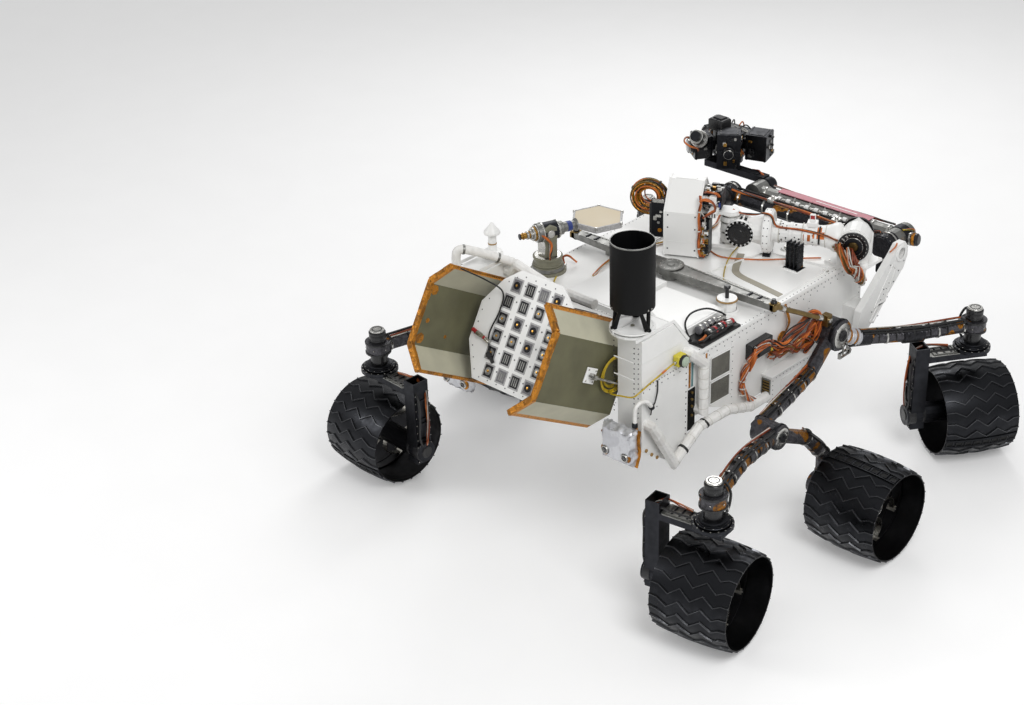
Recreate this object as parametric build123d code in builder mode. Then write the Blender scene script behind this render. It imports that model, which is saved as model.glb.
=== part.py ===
from build123d import *
import os
from math import atan2, cos, degrees, radians, sin

# Six-wheeled planetary rover, parked with its mast and arm stowed.
# Millimetres. +X forward, +Y left, +Z up, origin on the ground below the middle of the rover.

# Running clearances
FACE_GAP = 0.3  # between flat faces that turn on each other
RUN_GAP = 0.3  # radial, between a spindle and its bore
HOLD_GAP = 0.1  # radial, round a part that is clamped

# Sides of the prisms that stand for round sections, to keep the facets few
RIM_SIDES = 36
DRUM_SIDES = 18
TUBE_SIDES = 10
ROD_SIDES = 8

# Wheels
WHEEL_RADIUS = 250
WHEEL_WIDTH = 400
RIM_CROWN = 14  # the middle of the tread stands this far above its edges
RIM_SKIN = 6
HUB_FLATS = 132  # across the flats the spokes are bolted to
HUB_WIDTH = 70
HUB_OFFSET = 40  # outboard of the wheel's middle
HUB_WEB = 20  # left at the outboard end of the bore
SPINDLE_RADIUS = 28
SPINDLE_END_GAP = 4
SPOKES = 8
SPOKE_THICK = 7
SPOKE_WIDTH = 46
SPOKE_BOW = 58

# Wheel stations: x, distance from the centreline
FRONT_X, MIDDLE_X, REAR_X = 1102, -28, -1092
CORNER_Y, MIDDLE_Y = 1106, 1227
# Corner wheels: x, side, steer angle at rest
CORNERS = {
    "lf": (FRONT_X, 1, 50),
    "rf": (FRONT_X, -1, 55),
    "lr": (REAR_X, 1, -3),
    "rr": (REAR_X, -1, 9),
}

# Wheel struts and drives
FLANGE_Z = 2 * WHEEL_RADIUS + 132  # top of the steered flange
FLANGE_RADIUS = 98
FLANGE_THICK = 20
STRUT_TOP_THICK = 36
STRUT_WIDTH = 96
STRUT_REACH = WHEEL_WIDTH / 2 + 52  # inner face of the strut's leg, from the steering axis
LEG_THICK = 76
LEG_WALL = 7
LEG_ABOVE = 30  # the open box at the leg's head stands this far above the flange
STRUT_OVERHANG = 70
STRUT_FOOT = 68  # below the axle
DRIVE_RADIUS = 56
DRIVE_GAP = 2
DRIVE_BACK = 20  # behind the strut or leg

# Steering motors, clamped in the ends of the arms
MOTOR_RADIUS = 44
MOTOR_TOP_Z = FLANGE_Z + 206
MOTOR_CAP_RADIUS = MOTOR_RADIUS - 8
MOTOR_CAP_HEIGHT = 14
MOTOR_FOOT_RADIUS = 82
MOTOR_FOOT_THICK = 16
COLLAR_Z = FLANGE_Z + 120
COLLAR_HEIGHT = 66
COLLAR_WALL = 20

# Body and deck
BODY_REAR, BODY_FRONT = -650, 800
BODY_HALF = 596
BODY_FLOOR = 655
BODY_TAIL_Z = 760
BODY_TAIL_X = -480  # the floor rises behind this
DECK_TOP = 1108
DECK_THICK = 18
DECK_LIP = 6
BODY_TOP = DECK_TOP - DECK_THICK
LIFT_HOLE_RADIUS = 8
LIFT_SPACING_X, LIFT_SPACING_Y = 1120, 2 * BODY_HALF - 72
LIFT_X = -40

# Rocker and bogie arms, left side: the tubes' corners, out from each hub
ARM_TUBE_RADIUS = 38
ROCKER_HUB = (400, BODY_HALF + 104, 850)
ROCKER_HUB_RADIUS = 82
ROCKER_HUB_WIDTH = 120
ROCKER_SHAFT_RADIUS = 45
BOGIE_HUB = (-400, 935, 700)
BOGIE_HUB_RADIUS = 62
BOGIE_HUB_WIDTH = 84
BOGIE_CAP_WIDTH = 60
BOGIE_CAP_Y = BOGIE_HUB[1] - BOGIE_HUB_WIDTH / 2 - BOGIE_CAP_WIDTH - 2
MIDDLE_LEG_Y = MIDDLE_Y - WHEEL_WIDTH / 2 - 55
ROCKER_FRONT = [(560, 760, 772), (800, 925, COLLAR_Z), (FRONT_X, CORNER_Y, COLLAR_Z)]
ROCKER_REAR = [(120, 760, 746), (-140, 812, 740), (BOGIE_HUB[0], BOGIE_CAP_Y, BOGIE_HUB[2])]
BOGIE_REAR = [(-760, 1010, COLLAR_Z), (REAR_X, CORNER_Y, COLLAR_Z)]
BOGIE_LEG = [(-170, 960, 590), (MIDDLE_X, MIDDLE_LEG_Y, 430), (MIDDLE_X, MIDDLE_LEG_Y, WHEEL_RADIUS)]

# Differential bar across the deck
DIFF_X = -45
DIFF_HALF = ROCKER_HUB[1] - 60
DIFF_Z = DECK_TOP + 34
DIFF_THICK = 32
DIFF_ROOT, DIFF_TIP = 58, 26  # half widths
DIFF_DISC_RADIUS = 68
DIFF_POST_RADIUS = 44
LINK_HEAD = (52, 30, 32)
LINK_RADIUS = 13
LINK_LUG = (40, 40, 60)
LINK_FOOT_X = ROCKER_HUB[0] - 60

# Rear equipment boxes
REAR_BOX_OUT = BODY_HALF + 4
REAR_BOX_IN = REAR_BOX_OUT - 145
REAR_BOX_TAIL, REAR_BOX_TOP = BODY_REAR - 340, 1330

# Rear power unit, tilted down towards the front
TILT = 30.3
UNIT_ORIGIN = (BODY_REAR - 780, 0, 1326)
EXCHANGER_LENGTH = 600
EXCHANGER_THICK = 24
EXCHANGER_OUT = REAR_BOX_IN - 57  # middle panel, from the centreline
EXCHANGER_FACE = EXCHANGER_OUT + EXCHANGER_THICK / 2
PLATE_DEPTH = 300
PLATE_THICK = 14
GENERATOR_RADIUS = 133
GENERATOR_LENGTH = 350
FINS = 8
FIN_TIP = 270
FIN_ROOT = 10  # sunk into the generator
FIN_THICK = 8
FRAME_RADIUS = 13

# Short-range antenna on the right rear box
UHF_BASE = (REAR_BOX_TAIL + 70, -REAR_BOX_OUT + 115)
UHF_BOTTOM_Z, UHF_TOP_Z = REAR_BOX_TOP + 125, REAR_BOX_TOP + 455
UHF_RADIUS = 104
UHF_WALL = 5
UHF_FLOOR = 30
UHF_SIDES = 24
UHF_FOOT_RADIUS = 110
UHF_FOOT_THICK = 10
UHF_LEG_RADIUS = 8

# Low-gain antenna on the left rear box
LOW_GAIN_BASE = (BODY_REAR - 130, REAR_BOX_OUT - 55)

# Mast, folded across the deck
MAST_PIVOT = (BODY_FRONT - 100, -BODY_HALF - 14, DECK_TOP + 130)
MAST_LEAN = 116.7  # direction of the stowed mast in plan
KNUCKLE_RADIUS = 82
KNUCKLE_WIDTH = 112
EAR_THICK = 34
EAR_SPREAD = 80  # half width of an ear at its foot
MAST_FOOT_THICK = 16
MAST_TUBE_RADIUS = 54
COLLAR_AT = 430
COLLAR_LENGTH = 40
COLLAR_RADIUS = MAST_PIVOT[2] - DECK_TOP - 16
CONE_ROOT, CONE_TIP = 80, 50  # radii
CONE_END = 610
RING_AT = 590  # drive motor on the side of the cone
RING_RADIUS = 58
RING_REACH = 80
TILT_AT = 650
TILT_RADIUS = 52
TILT_HEIGHT = 170
HEAD_NEAR, HEAD_FAR = 789, 968
# Outline of the head across the mast: distance behind it, height above the mast's axis
HEAD_OUTLINE = [(160, -116), (160, 127), (20, 257), (-30, 257), (-120, 162), (-120, -116)]
HEAD_FRONT = 120
FORK_WIDTH = 90
FORK_THICK = 16

# Arm, folded across the front
SHOULDER = (BODY_FRONT + 130, 420)
SHOULDER_RADIUS = 70
SHOULDER_Z = 890
ARM_Z = 1100
ELBOW_Y = -610
WRIST_Y = 330
UPPER_X = SHOULDER[0] + 55
UPPER_RADIUS = 44
FORE_X = UPPER_X + 145
FORE_RADIUS = 38
DRUM_HALF = 50
ELBOW_RADIUS = 60
WRIST_RADIUS = 52
WRIST_HALF = 48
TURRET = (FORE_X + 205, 690)
TURRET_Z = 1122
TURRET_PLATE = 38
TURRET_BASE = TURRET_Z + TURRET_PLATE + FACE_GAP
HUB_RADIUS = 92
HUB_HEIGHT = 150
HUB_SIDES = 10

# High-gain antenna
HGA_BASE = (-385, BODY_HALF - 56)
HGA_Z = DECK_TOP + 222
HGA_REACH = 290
HGA_LEAN = -21.5
HGA_FLATS = 255
HGA_THICK = 26
HGA_FOOT_HEIGHT = 40
HGA_DRUM_HALF = 60


def save(part, label):
    part.label = label
    export_step(part, f"parts/{label}.step")


def tube(points, radius, sides=TUBE_SIDES):
    """A bar along straight runs, mitred at the corners."""
    with BuildPart() as bar:
        with BuildLine() as path:
            Polyline(*points)
        with BuildSketch(Plane(origin=points[0], z_dir=path.line % 0)):
            RegularPolygon(radius, sides)
        sweep(transition=Transition.RIGHT)
    return bar.part


def drum(plane, radius, length, sides=DRUM_SIDES):
    """A many-sided prism that stands on a plane."""
    with BuildPart() as prism:
        with BuildSketch(plane):
            RegularPolygon(radius, sides)
        extrude(amount=length)
    return prism.part


def shaft(plane, radius, length):
    """A true cylinder that stands on a plane."""
    with BuildPart() as cylinder:
        with BuildSketch(plane):
            Circle(radius)
        extrude(amount=length)
    return cylinder.part


def level(x, y, z):
    return Plane(origin=(x, y, z))


def block(low, high):
    """A box between two opposite corners."""
    size = [abs(b - a) for a, b in zip(low, high)]
    middle = tuple((a + b) / 2 for a, b in zip(low, high))
    with BuildPart() as box:
        with Locations(middle):
            Box(*size)
    return box.part


def left_right(side, point):
    return (point[0], side * point[1], point[2])


def along(origin, angle, distance, height):
    """A point at a distance from an origin along a direction in plan."""
    return (
        origin[0] + distance * cos(radians(angle)),
        origin[1] + distance * sin(radians(angle)),
        height,
    )


def make_wheel():
    """A wheel about the Z axis, outboard side up, its middle at the origin."""
    edge = WHEEL_RADIUS - RIM_CROWN
    half = WHEEL_WIDTH / 2
    inside = edge - RIM_SKIN
    hub = HUB_FLATS / 2
    with BuildPart() as spoke:
        with BuildSketch():
            with BuildLine():
                Polyline(
                    (hub - 3, 0),
                    (hub + (inside - hub) * 0.3, SPOKE_BOW),
                    (hub + (inside - hub) * 0.75, SPOKE_BOW),
                    (inside + 3, 0),
                )
            trace(line_width=SPOKE_THICK)
        extrude(amount=SPOKE_WIDTH / 2, both=True)
    with BuildPart() as wheel:
        with BuildSketch():
            RegularPolygon(WHEEL_RADIUS, RIM_SIDES)
        extrude(amount=half, both=True, taper=degrees(atan2(RIM_CROWN, half)))
        add(drum(Plane.XY.offset(-half), inside, WHEEL_WIDTH, RIM_SIDES), mode=Mode.SUBTRACT)
        with Locations((0, 0, HUB_OFFSET)):
            with PolarLocations(0, SPOKES):
                add(spoke.part)
        with BuildSketch(Plane.XY.offset(HUB_OFFSET - HUB_WIDTH / 2)):
            RegularPolygon(hub, SPOKES, major_radius=False, rotation=180 / SPOKES)
        extrude(amount=HUB_WIDTH)
        bore = Plane.XY.offset(HUB_OFFSET - HUB_WIDTH / 2)
        add(shaft(bore, SPINDLE_RADIUS + RUN_GAP, HUB_WIDTH - HUB_WEB), mode=Mode.SUBTRACT)
    return wheel.part


def drive(back):
    """A wheel's drive motor and spindle along Z, from a face behind the axle's middle to the hub."""
    face = HUB_OFFSET - HUB_WIDTH / 2 - DRIVE_GAP
    with BuildPart() as motor:
        add(drum(Plane.XY.offset(-back), DRIVE_RADIUS, back + face))
        length = DRIVE_GAP + HUB_WIDTH - HUB_WEB - SPINDLE_END_GAP
        add(shaft(Plane.XY.offset(face), SPINDLE_RADIUS, length))
    return motor.part


def wheel_plane(x, y, side, angle):
    """The wheel's own plane: its Z points outboard along the axle."""
    a = radians(angle)
    return Plane(
        origin=(x, y, WHEEL_RADIUS),
        x_dir=(cos(a), sin(a), 0),
        z_dir=(-side * sin(a), side * cos(a), 0),
    )


def make_strut():
    """A steered strut about a vertical steering axis, for a wheel outboard in +Y."""
    top = FLANGE_Z - FLANGE_THICK
    back = STRUT_REACH + LEG_THICK
    half = STRUT_WIDTH / 2
    foot = WHEEL_RADIUS - STRUT_FOOT
    head = FLANGE_Z + LEG_ABOVE
    with BuildPart() as strut:
        add(block((-half, -STRUT_REACH, top - STRUT_TOP_THICK), (half, STRUT_OVERHANG, top)))
        add(block((-half, -back, foot), (half, -STRUT_REACH, head)))
        inside = half - LEG_WALL
        low = (-inside, LEG_WALL - back, WHEEL_RADIUS + DRIVE_RADIUS + LEG_WALL)
        add(block(low, (inside, -STRUT_REACH - LEG_WALL, head)), mode=Mode.SUBTRACT)
        add(drum(Plane.XY.offset(top), FLANGE_RADIUS, FLANGE_THICK))
        add(wheel_plane(0, 0, 1, 0).location * drive(back + DRIVE_BACK))
    return strut.part


def collar(centre):
    """The clamp at an arm's end, round a steering motor."""
    x, y, z = centre
    return drum(level(x, y, z - COLLAR_HEIGHT / 2), MOTOR_RADIUS + COLLAR_WALL, COLLAR_HEIGHT)


def collar_bore(centre):
    x, y, z = centre
    return drum(level(x, y, z - COLLAR_HEIGHT), MOTOR_RADIUS + HOLD_GAP, 2 * COLLAR_HEIGHT)


def rocker_hub(side):
    outward = Plane(origin=left_right(side, ROCKER_HUB), z_dir=(0, side, 0))
    return drum(outward.offset(-ROCKER_HUB_WIDTH / 2), ROCKER_HUB_RADIUS, ROCKER_HUB_WIDTH)


def make_rockers():
    with BuildPart() as rockers:
        for side in (1, -1):
            hub = left_right(side, ROCKER_HUB)
            for run in (ROCKER_FRONT, ROCKER_REAR):
                add(tube([hub] + [left_right(side, point) for point in run], ARM_TUBE_RADIUS))
            add(rocker_hub(side))
            inward = Plane(origin=hub, z_dir=(0, -side, 0))
            add(drum(inward, ROCKER_SHAFT_RADIUS, ROCKER_HUB[1] - BODY_HALF))
            inward = Plane(origin=left_right(side, BOGIE_HUB), z_dir=(0, -side, 0))
            add(drum(inward.offset(BOGIE_HUB_WIDTH / 2), BOGIE_HUB_RADIUS, BOGIE_CAP_WIDTH))
            add(collar(left_right(side, ROCKER_FRONT[-1])))
            add(collar_bore(left_right(side, ROCKER_FRONT[-1])), mode=Mode.SUBTRACT)
    return rockers.part


def make_bogies():
    with BuildPart() as bogies:
        for side in (1, -1):
            hub = left_right(side, BOGIE_HUB)
            for run in (BOGIE_REAR, BOGIE_LEG):
                add(tube([hub] + [left_right(side, point) for point in run], ARM_TUBE_RADIUS))
            width = BOGIE_HUB_WIDTH - 2 * FACE_GAP
            outward = Plane(origin=hub, z_dir=(0, side, 0))
            add(drum(outward.offset(-width / 2), BOGIE_HUB_RADIUS, width))
            axle = wheel_plane(MIDDLE_X, side * MIDDLE_Y, side, 0)
            add(axle.location * drive(MIDDLE_Y - MIDDLE_LEG_Y + ARM_TUBE_RADIUS + DRIVE_BACK))
            add(collar(left_right(side, BOGIE_REAR[-1])))
            add(collar_bore(left_right(side, BOGIE_REAR[-1])), mode=Mode.SUBTRACT)
    return bogies.part


def make_steering_motors():
    foot = FLANGE_Z + FACE_GAP
    body = foot + MOTOR_FOOT_THICK
    with BuildPart() as motors:
        for x, side, _ in CORNERS.values():
            y = side * CORNER_Y
            add(drum(level(x, y, foot), MOTOR_FOOT_RADIUS, MOTOR_FOOT_THICK))
            add(drum(level(x, y, body), MOTOR_RADIUS, MOTOR_TOP_Z - body))
            add(drum(level(x, y, MOTOR_TOP_Z), MOTOR_CAP_RADIUS, MOTOR_CAP_HEIGHT, TUBE_SIDES))
    return motors.part


def make_body():
    with BuildPart() as body:
        with BuildSketch(Plane.XZ):
            with BuildLine():
                Polyline(
                    (BODY_REAR, BODY_TAIL_Z),
                    (BODY_TAIL_X, BODY_TAIL_Z),
                    (BODY_TAIL_X + 240, BODY_FLOOR),
                    (BODY_FRONT - 60, BODY_FLOOR),
                    (BODY_FRONT, BODY_FLOOR + 60),
                    (BODY_FRONT, BODY_TOP),
                    (BODY_REAR, BODY_TOP),
                    close=True,
                )
            make_face()
        extrude(amount=BODY_HALF, both=True)
    return body.part


def make_deck():
    low = (BODY_REAR, -BODY_HALF - DECK_LIP, BODY_TOP)
    high = (BODY_FRONT + DECK_LIP, BODY_HALF + DECK_LIP, DECK_TOP)
    with BuildPart() as deck:
        add(block(low, high))
        with Locations((LIFT_X, 0, DECK_TOP)):
            with GridLocations(LIFT_SPACING_X, LIFT_SPACING_Y, 2, 2):
                Hole(LIFT_HOLE_RADIUS, DECK_THICK)
    return deck.part


# Raised covers on the deck: opposite corners
COVERS = [
    ((-560, 126 - BODY_HALF, DECK_TOP), (-210, -100, DECK_TOP + 44)),
    ((-560, -60, DECK_TOP), (-150, 260, DECK_TOP + 36)),
    ((160, 330, DECK_TOP), (560, BODY_HALF - 40, DECK_TOP + 10)),
]
# Round fitting beside the differential bar: radius, bottom and top of each step
FITTING_XY = (-150, 156 - BODY_HALF)
FITTING = [(48, DECK_TOP, DECK_TOP + 70), (9, DECK_TOP + 70, DECK_TOP + 124)]


def make_deck_covers():
    with BuildPart() as covers:
        for low, high in COVERS:
            add(block(low, high))
        for radius, bottom, top in FITTING:
            add(drum(level(*FITTING_XY, bottom), radius, top - bottom, TUBE_SIDES))
    return covers.part


def make_differential():
    with BuildPart() as bar:
        with BuildSketch(Plane.XY.offset(DIFF_Z)):
            with BuildLine():
                Polyline(
                    (DIFF_X - DIFF_ROOT, 0),
                    (DIFF_X - DIFF_TIP, -DIFF_HALF),
                    (DIFF_X + DIFF_TIP, -DIFF_HALF),
                    (DIFF_X + DIFF_ROOT, 0),
                    (DIFF_X + DIFF_TIP, DIFF_HALF),
                    (DIFF_X - DIFF_TIP, DIFF_HALF),
                    close=True,
                )
            make_face()
            with Locations((DIFF_X, 0)):
                RegularPolygon(DIFF_DISC_RADIUS, DRUM_SIDES)
        extrude(amount=DIFF_THICK)
        add(drum(level(DIFF_X, 0, DECK_TOP), DIFF_POST_RADIUS, DIFF_Z - DECK_TOP))
    return bar.part


def make_links():
    """The rods from the differential bar's ends down to the rocker hubs."""
    head = (DIFF_X, DIFF_HALF + LINK_HEAD[1] / 2, DIFF_Z + DIFF_THICK / 2)
    foot = (LINK_FOOT_X, ROCKER_HUB[1], ROCKER_HUB[2] + ROCKER_HUB_RADIUS + LINK_LUG[2] / 4)
    with BuildPart() as links:
        for side in (1, -1):
            add(tube([left_right(side, head), left_right(side, foot)], LINK_RADIUS, ROD_SIDES))
            with Locations(left_right(side, head)):
                Box(*LINK_HEAD)
            with Locations(left_right(side, foot)):
                Box(*LINK_LUG)
            add(rocker_hub(side), mode=Mode.SUBTRACT)
    return links.part


# Profile of a heat exchanger across the tilted axis: distance out, distance down
EXCHANGER = [
    (EXCHANGER_OUT - 96, 260),
    (EXCHANGER_OUT, 162),
    (EXCHANGER_OUT, -152),
    (EXCHANGER_OUT - 100, -259),
]


def unit_plane(depth):
    """A plane across the tilted axis: its X points left, its Y up along the plates."""
    a = radians(TILT)
    axis = Vector(cos(a), 0, -sin(a))
    return Plane(origin=Vector(*UNIT_ORIGIN) + axis * depth, x_dir=(0, 1, 0), z_dir=axis)


def make_exchangers():
    with BuildPart() as exchangers:
        for side in (1, -1):
            with BuildSketch(unit_plane(0)):
                with BuildLine():
                    Polyline(*[(side * out, -down) for out, down in EXCHANGER])
                trace(line_width=EXCHANGER_THICK)
            extrude(amount=EXCHANGER_LENGTH)
    return exchangers.part


# End plate outline, left half: distance out, distance down
PLATE = [
    (EXCHANGER_OUT - 186, 222), (EXCHANGER_OUT - 98, 60), (EXCHANGER_OUT - 98, -130),
    (EXCHANGER_OUT - 184, -262), (130, -330),
]


def make_end_plate():
    with BuildPart() as plate:
        with BuildSketch(unit_plane(PLATE_DEPTH)):
            with BuildLine():
                half = [(out, -down) for out, down in PLATE]
                Polyline(*half, *[(-out, up) for out, up in reversed(half)], close=True)
            make_face()
        extrude(amount=PLATE_THICK)
    return plate.part


def make_generator():
    back = unit_plane(PLATE_DEPTH + PLATE_THICK)
    with BuildPart() as generator:
        add(drum(back, GENERATOR_RADIUS, GENERATOR_LENGTH))
        with BuildSketch(back):
            with PolarLocations((GENERATOR_RADIUS + FIN_TIP) / 2 - FIN_ROOT / 2, FINS, start_angle=180 / FINS):
                Rectangle(FIN_TIP - GENERATOR_RADIUS + FIN_ROOT, FIN_THICK)
        extrude(amount=GENERATOR_LENGTH)
    return generator.part


# Generator truss: where each bar meets the generator's end (out, up) and the body (y, z)
TRUSS = [
    ((80, 60), (BODY_HALF / 2, BODY_TOP - 40)),
    ((80, -60), (BODY_HALF / 2, BODY_TAIL_Z + 40)),
]
TRUSS_PLATE = 24


def make_unit_frame():
    """The bars that carry the generator on the body's rear face."""
    front = unit_plane(PLATE_DEPTH + PLATE_THICK + GENERATOR_LENGTH)
    with BuildPart() as frame:
        add(drum(front, GENERATOR_RADIUS - 8, TRUSS_PLATE))
        for side in (1, -1):
            for (out, up), (y, z) in TRUSS:
                root = front.offset(TRUSS_PLATE - 4).from_local_coords((side * out, up, 0))
                add(tube([root, (BODY_REAR + 30, side * y, z)], FRAME_RADIUS, ROD_SIDES))
        body = block((BODY_REAR, -BODY_HALF, BODY_TAIL_Z), (BODY_FRONT, BODY_HALF, BODY_TOP))
        add(body, mode=Mode.SUBTRACT)
    return frame.part


# Exchanger bracket on each side: centre on the exchanger, centre on the rear box (x, z)
BRACKET_OUT, BRACKET_IN = (BODY_REAR - 489, 1154), (BODY_REAR - 226, 989)
BRACKET_PLATE = 64
BRACKET_THICK = 6
ROD_RADIUS = 6
ROD_Y = REAR_BOX_IN - 8
COIL_CENTRE = (REAR_BOX_TAIL + 22, 1107)
COIL_OUT, COIL_IN = 100, 78
COIL_THICK = 18
COIL_Y = EXCHANGER_FACE + 8
PEG_Z = COIL_CENTRE[1] + COIL_IN - ROD_RADIUS - FACE_GAP  # the spare cable hangs on it


def make_exchanger_brackets():
    with BuildPart() as brackets:
        for side in (1, -1):
            low = side * EXCHANGER_FACE
            seat = Plane(
                origin=(BRACKET_OUT[0], low, BRACKET_OUT[1]),
                x_dir=(cos(radians(TILT)), 0, -sin(radians(TILT))),
                z_dir=(0, side, 0),
            )
            with BuildSketch(seat):
                Rectangle(BRACKET_PLATE, BRACKET_PLATE)
            extrude(amount=BRACKET_THICK)
            with BuildSketch(seat):
                Rectangle(BRACKET_PLATE / 3, BRACKET_PLATE / 3)
            extrude(amount=ROD_Y + ROD_RADIUS - EXCHANGER_FACE)
            x, z = BRACKET_IN
            rod = [(BRACKET_OUT[0], side * ROD_Y, BRACKET_OUT[1]), (x, side * ROD_Y, z)]
            add(tube(rod, ROD_RADIUS, ROD_SIDES))
            half = BRACKET_PLATE / 4
            low = (x - half, side * (ROD_Y - ROD_RADIUS), z - half)
            add(block(low, (x + half, side * REAR_BOX_IN, z + half)))
        peg = Plane(origin=(COIL_CENTRE[0], -REAR_BOX_IN, PEG_Z), z_dir=(0, 1, 0))
        add(drum(peg, ROD_RADIUS, REAR_BOX_IN - EXCHANGER_FACE - 4, ROD_SIDES))
    return brackets.part


# Side outline of a rear box: x, z
REAR_BOX = [
    (REAR_BOX_TAIL, REAR_BOX_TOP), (BODY_REAR - 110, REAR_BOX_TOP), (BODY_REAR, REAR_BOX_TOP - 140),
    (BODY_REAR, 590), (BODY_REAR - 120, 590), (REAR_BOX_TAIL, 745),
]


def make_rear_boxes():
    with BuildPart() as boxes:
        for side in (1, -1):
            with BuildSketch(Plane.XZ.offset(-side * REAR_BOX_IN)):
                with BuildLine():
                    Polyline(*REAR_BOX, close=True)
                make_face()
            extrude(amount=side * (REAR_BOX_IN - REAR_BOX_OUT))
        add(drum(level(*UHF_BASE, REAR_BOX_TOP), UHF_FOOT_RADIUS, UHF_FOOT_THICK))
    return boxes.part


def make_uhf():
    base = REAR_BOX_TOP + UHF_FOOT_THICK
    height = UHF_TOP_Z - UHF_BOTTOM_Z
    with BuildPart() as antenna:
        add(drum(level(*UHF_BASE, UHF_BOTTOM_Z), UHF_RADIUS, height, UHF_SIDES))
        floor = level(*UHF_BASE, UHF_BOTTOM_Z + UHF_FLOOR)
        add(drum(floor, UHF_RADIUS - UHF_WALL, height, UHF_SIDES), mode=Mode.SUBTRACT)
        for turn in (30, 150, 270):
            foot = along(UHF_BASE, turn, 92, base - 20)
            for spread in (-25, 25):
                head = along(UHF_BASE, turn + spread, 76, UHF_BOTTOM_Z + 10)
                add(tube([foot, head], UHF_LEG_RADIUS, ROD_SIDES))
        add(drum(level(*UHF_BASE, base - 60), 2 * UHF_RADIUS, 60), mode=Mode.SUBTRACT)
    return antenna.part


# Low-gain antenna: radius, bottom and top of each step above the box
LOW_GAIN = [(50, 0, 22), (20, 22, 118), (40, 118, 130)]
LOW_GAIN_TIP = 180
LOW_GAIN_TAPER = 36


def make_low_gain():
    x, y = LOW_GAIN_BASE
    with BuildPart() as post:
        for radius, bottom, top in LOW_GAIN:
            add(drum(level(x, y, REAR_BOX_TOP + bottom), radius, top - bottom, TUBE_SIDES))
        radius, _, bottom = LOW_GAIN[-1]
        with BuildSketch(level(x, y, REAR_BOX_TOP + bottom)):
            RegularPolygon(radius, TUBE_SIDES)
        extrude(amount=LOW_GAIN_TIP - bottom, taper=LOW_GAIN_TAPER)
    return post.part


PIPE_RADIUS = 26
PIPE_Y = REAR_BOX_OUT + 34
SIDE_BOX_LOW = (-55, BODY_HALF, 615)
SIDE_BOX_HIGH = (285, BODY_HALF + 64, 765)
# Insulated coolant pipes of the left side
PIPES = [
    [
        (BODY_REAR - 26, REAR_BOX_OUT, 1150),
        (BODY_REAR - 26, PIPE_Y, 1150),
        (BODY_REAR + 75, PIPE_Y, 1060),
        (BODY_REAR + 75, PIPE_Y, 800),
        (BODY_REAR + 75, BODY_HALF, 800),
    ],
    [
        (REAR_BOX_TAIL + 35, REAR_BOX_OUT, 880),
        (REAR_BOX_TAIL + 35, PIPE_Y, 880),
        (BODY_REAR - 140, PIPE_Y, 606),
        (-600, PIPE_Y, 722),
        (-380, PIPE_Y, 715),
        (-190, PIPE_Y, 650),
        (SIDE_BOX_LOW[0], PIPE_Y, 650),
    ],
]
# The pipe across the front of the generator, from the left rear box
CROSS_X = BODY_REAR - 130
CROSS_PIPE = [
    (CROSS_X, REAR_BOX_IN, 1285),
    (CROSS_X, REAR_BOX_IN - 35, 1285),
    (CROSS_X, REAR_BOX_IN - 75, 1335),
    (CROSS_X, 140, 1285),
    (CROSS_X, -130, 1285),
]


def make_pipes():
    with BuildPart() as pipes:
        for side in (1, -1):
            for run in PIPES:
                add(tube([left_right(side, point) for point in run], PIPE_RADIUS))
        add(tube(CROSS_PIPE, PIPE_RADIUS))
    return pipes.part


def make_side_boxes():
    with BuildPart() as boxes:
        for side in (1, -1):
            add(block(left_right(side, SIDE_BOX_LOW), left_right(side, SIDE_BOX_HIGH)))
    return boxes.part


SWITCH_SIZE = 60
SWITCH_DEPTH = 40
SWITCH = (BODY_REAR - 91, -REAR_BOX_OUT - SWITCH_DEPTH, 1145)  # centre of its face


def make_stop_switch():
    x, y, z = SWITCH
    half = SWITCH_SIZE / 2
    with BuildPart() as switch:
        add(block((x - half, y, z - half), (x + half, -REAR_BOX_OUT, z + half)))
        add(drum(Plane(origin=SWITCH, z_dir=(0, -1, 0)), 24, 26, TUBE_SIDES))
    return switch.part


CABLE_RADIUS = 4
CABLE_RUN = [
    (COIL_CENTRE[0] - 63, -COIL_Y - 9, 1044), (REAR_BOX_TAIL - 16, -REAR_BOX_IN - 15, 1040),
    (REAR_BOX_TAIL - 16, -REAR_BOX_OUT - 12, 1075), (REAR_BOX_TAIL + 90, -REAR_BOX_OUT - 14, 1105),
    (SWITCH[0] - 60, -REAR_BOX_OUT - 20, 1140), (SWITCH[0] - SWITCH_SIZE / 2, -REAR_BOX_OUT - 20, 1140),
]


def make_switch_cable():
    """The stop switch's spare cable, coiled on a peg, and its run to the switch."""
    with BuildPart() as cable:
        with BuildSketch(Plane(origin=(COIL_CENTRE[0], -COIL_Y, COIL_CENTRE[1]), z_dir=(0, -1, 0))):
            RegularPolygon(COIL_OUT, 12, major_radius=False, rotation=15)
            RegularPolygon(COIL_IN, 12, major_radius=False, rotation=15, mode=Mode.SUBTRACT)
        extrude(amount=COIL_THICK)
        add(tube(CABLE_RUN, CABLE_RADIUS, ROD_SIDES))
    return cable.part


BAG_REAR = REAR_BOX_TAIL - 66
BAG_LOW, BAG_HIGH = 700, 910


def make_insulation_bags():
    """The blankets round the rear cameras, on the tails of the rear boxes."""
    with BuildPart() as bags:
        for side in (1, -1):
            low = (BAG_REAR, side * (REAR_BOX_IN - 29), BAG_LOW)
            add(block(low, (REAR_BOX_TAIL, side * (REAR_BOX_OUT + 38), BAG_HIGH)))
        chamfer(bags.edges().filter_by(Axis.Y).group_by(Axis.X)[0], 24)
    return bags.part


TRAY_LOW, TRAY_HIGH = (-540, -BODY_HALF, DECK_TOP), (-240, 116 - BODY_HALF, DECK_TOP + 10)
PLUGS = [(-400, 30 - BODY_HALF), (-400, 84 - BODY_HALF)]
PLUG_HALF = 20
PLUG_LENGTH = 130


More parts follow.
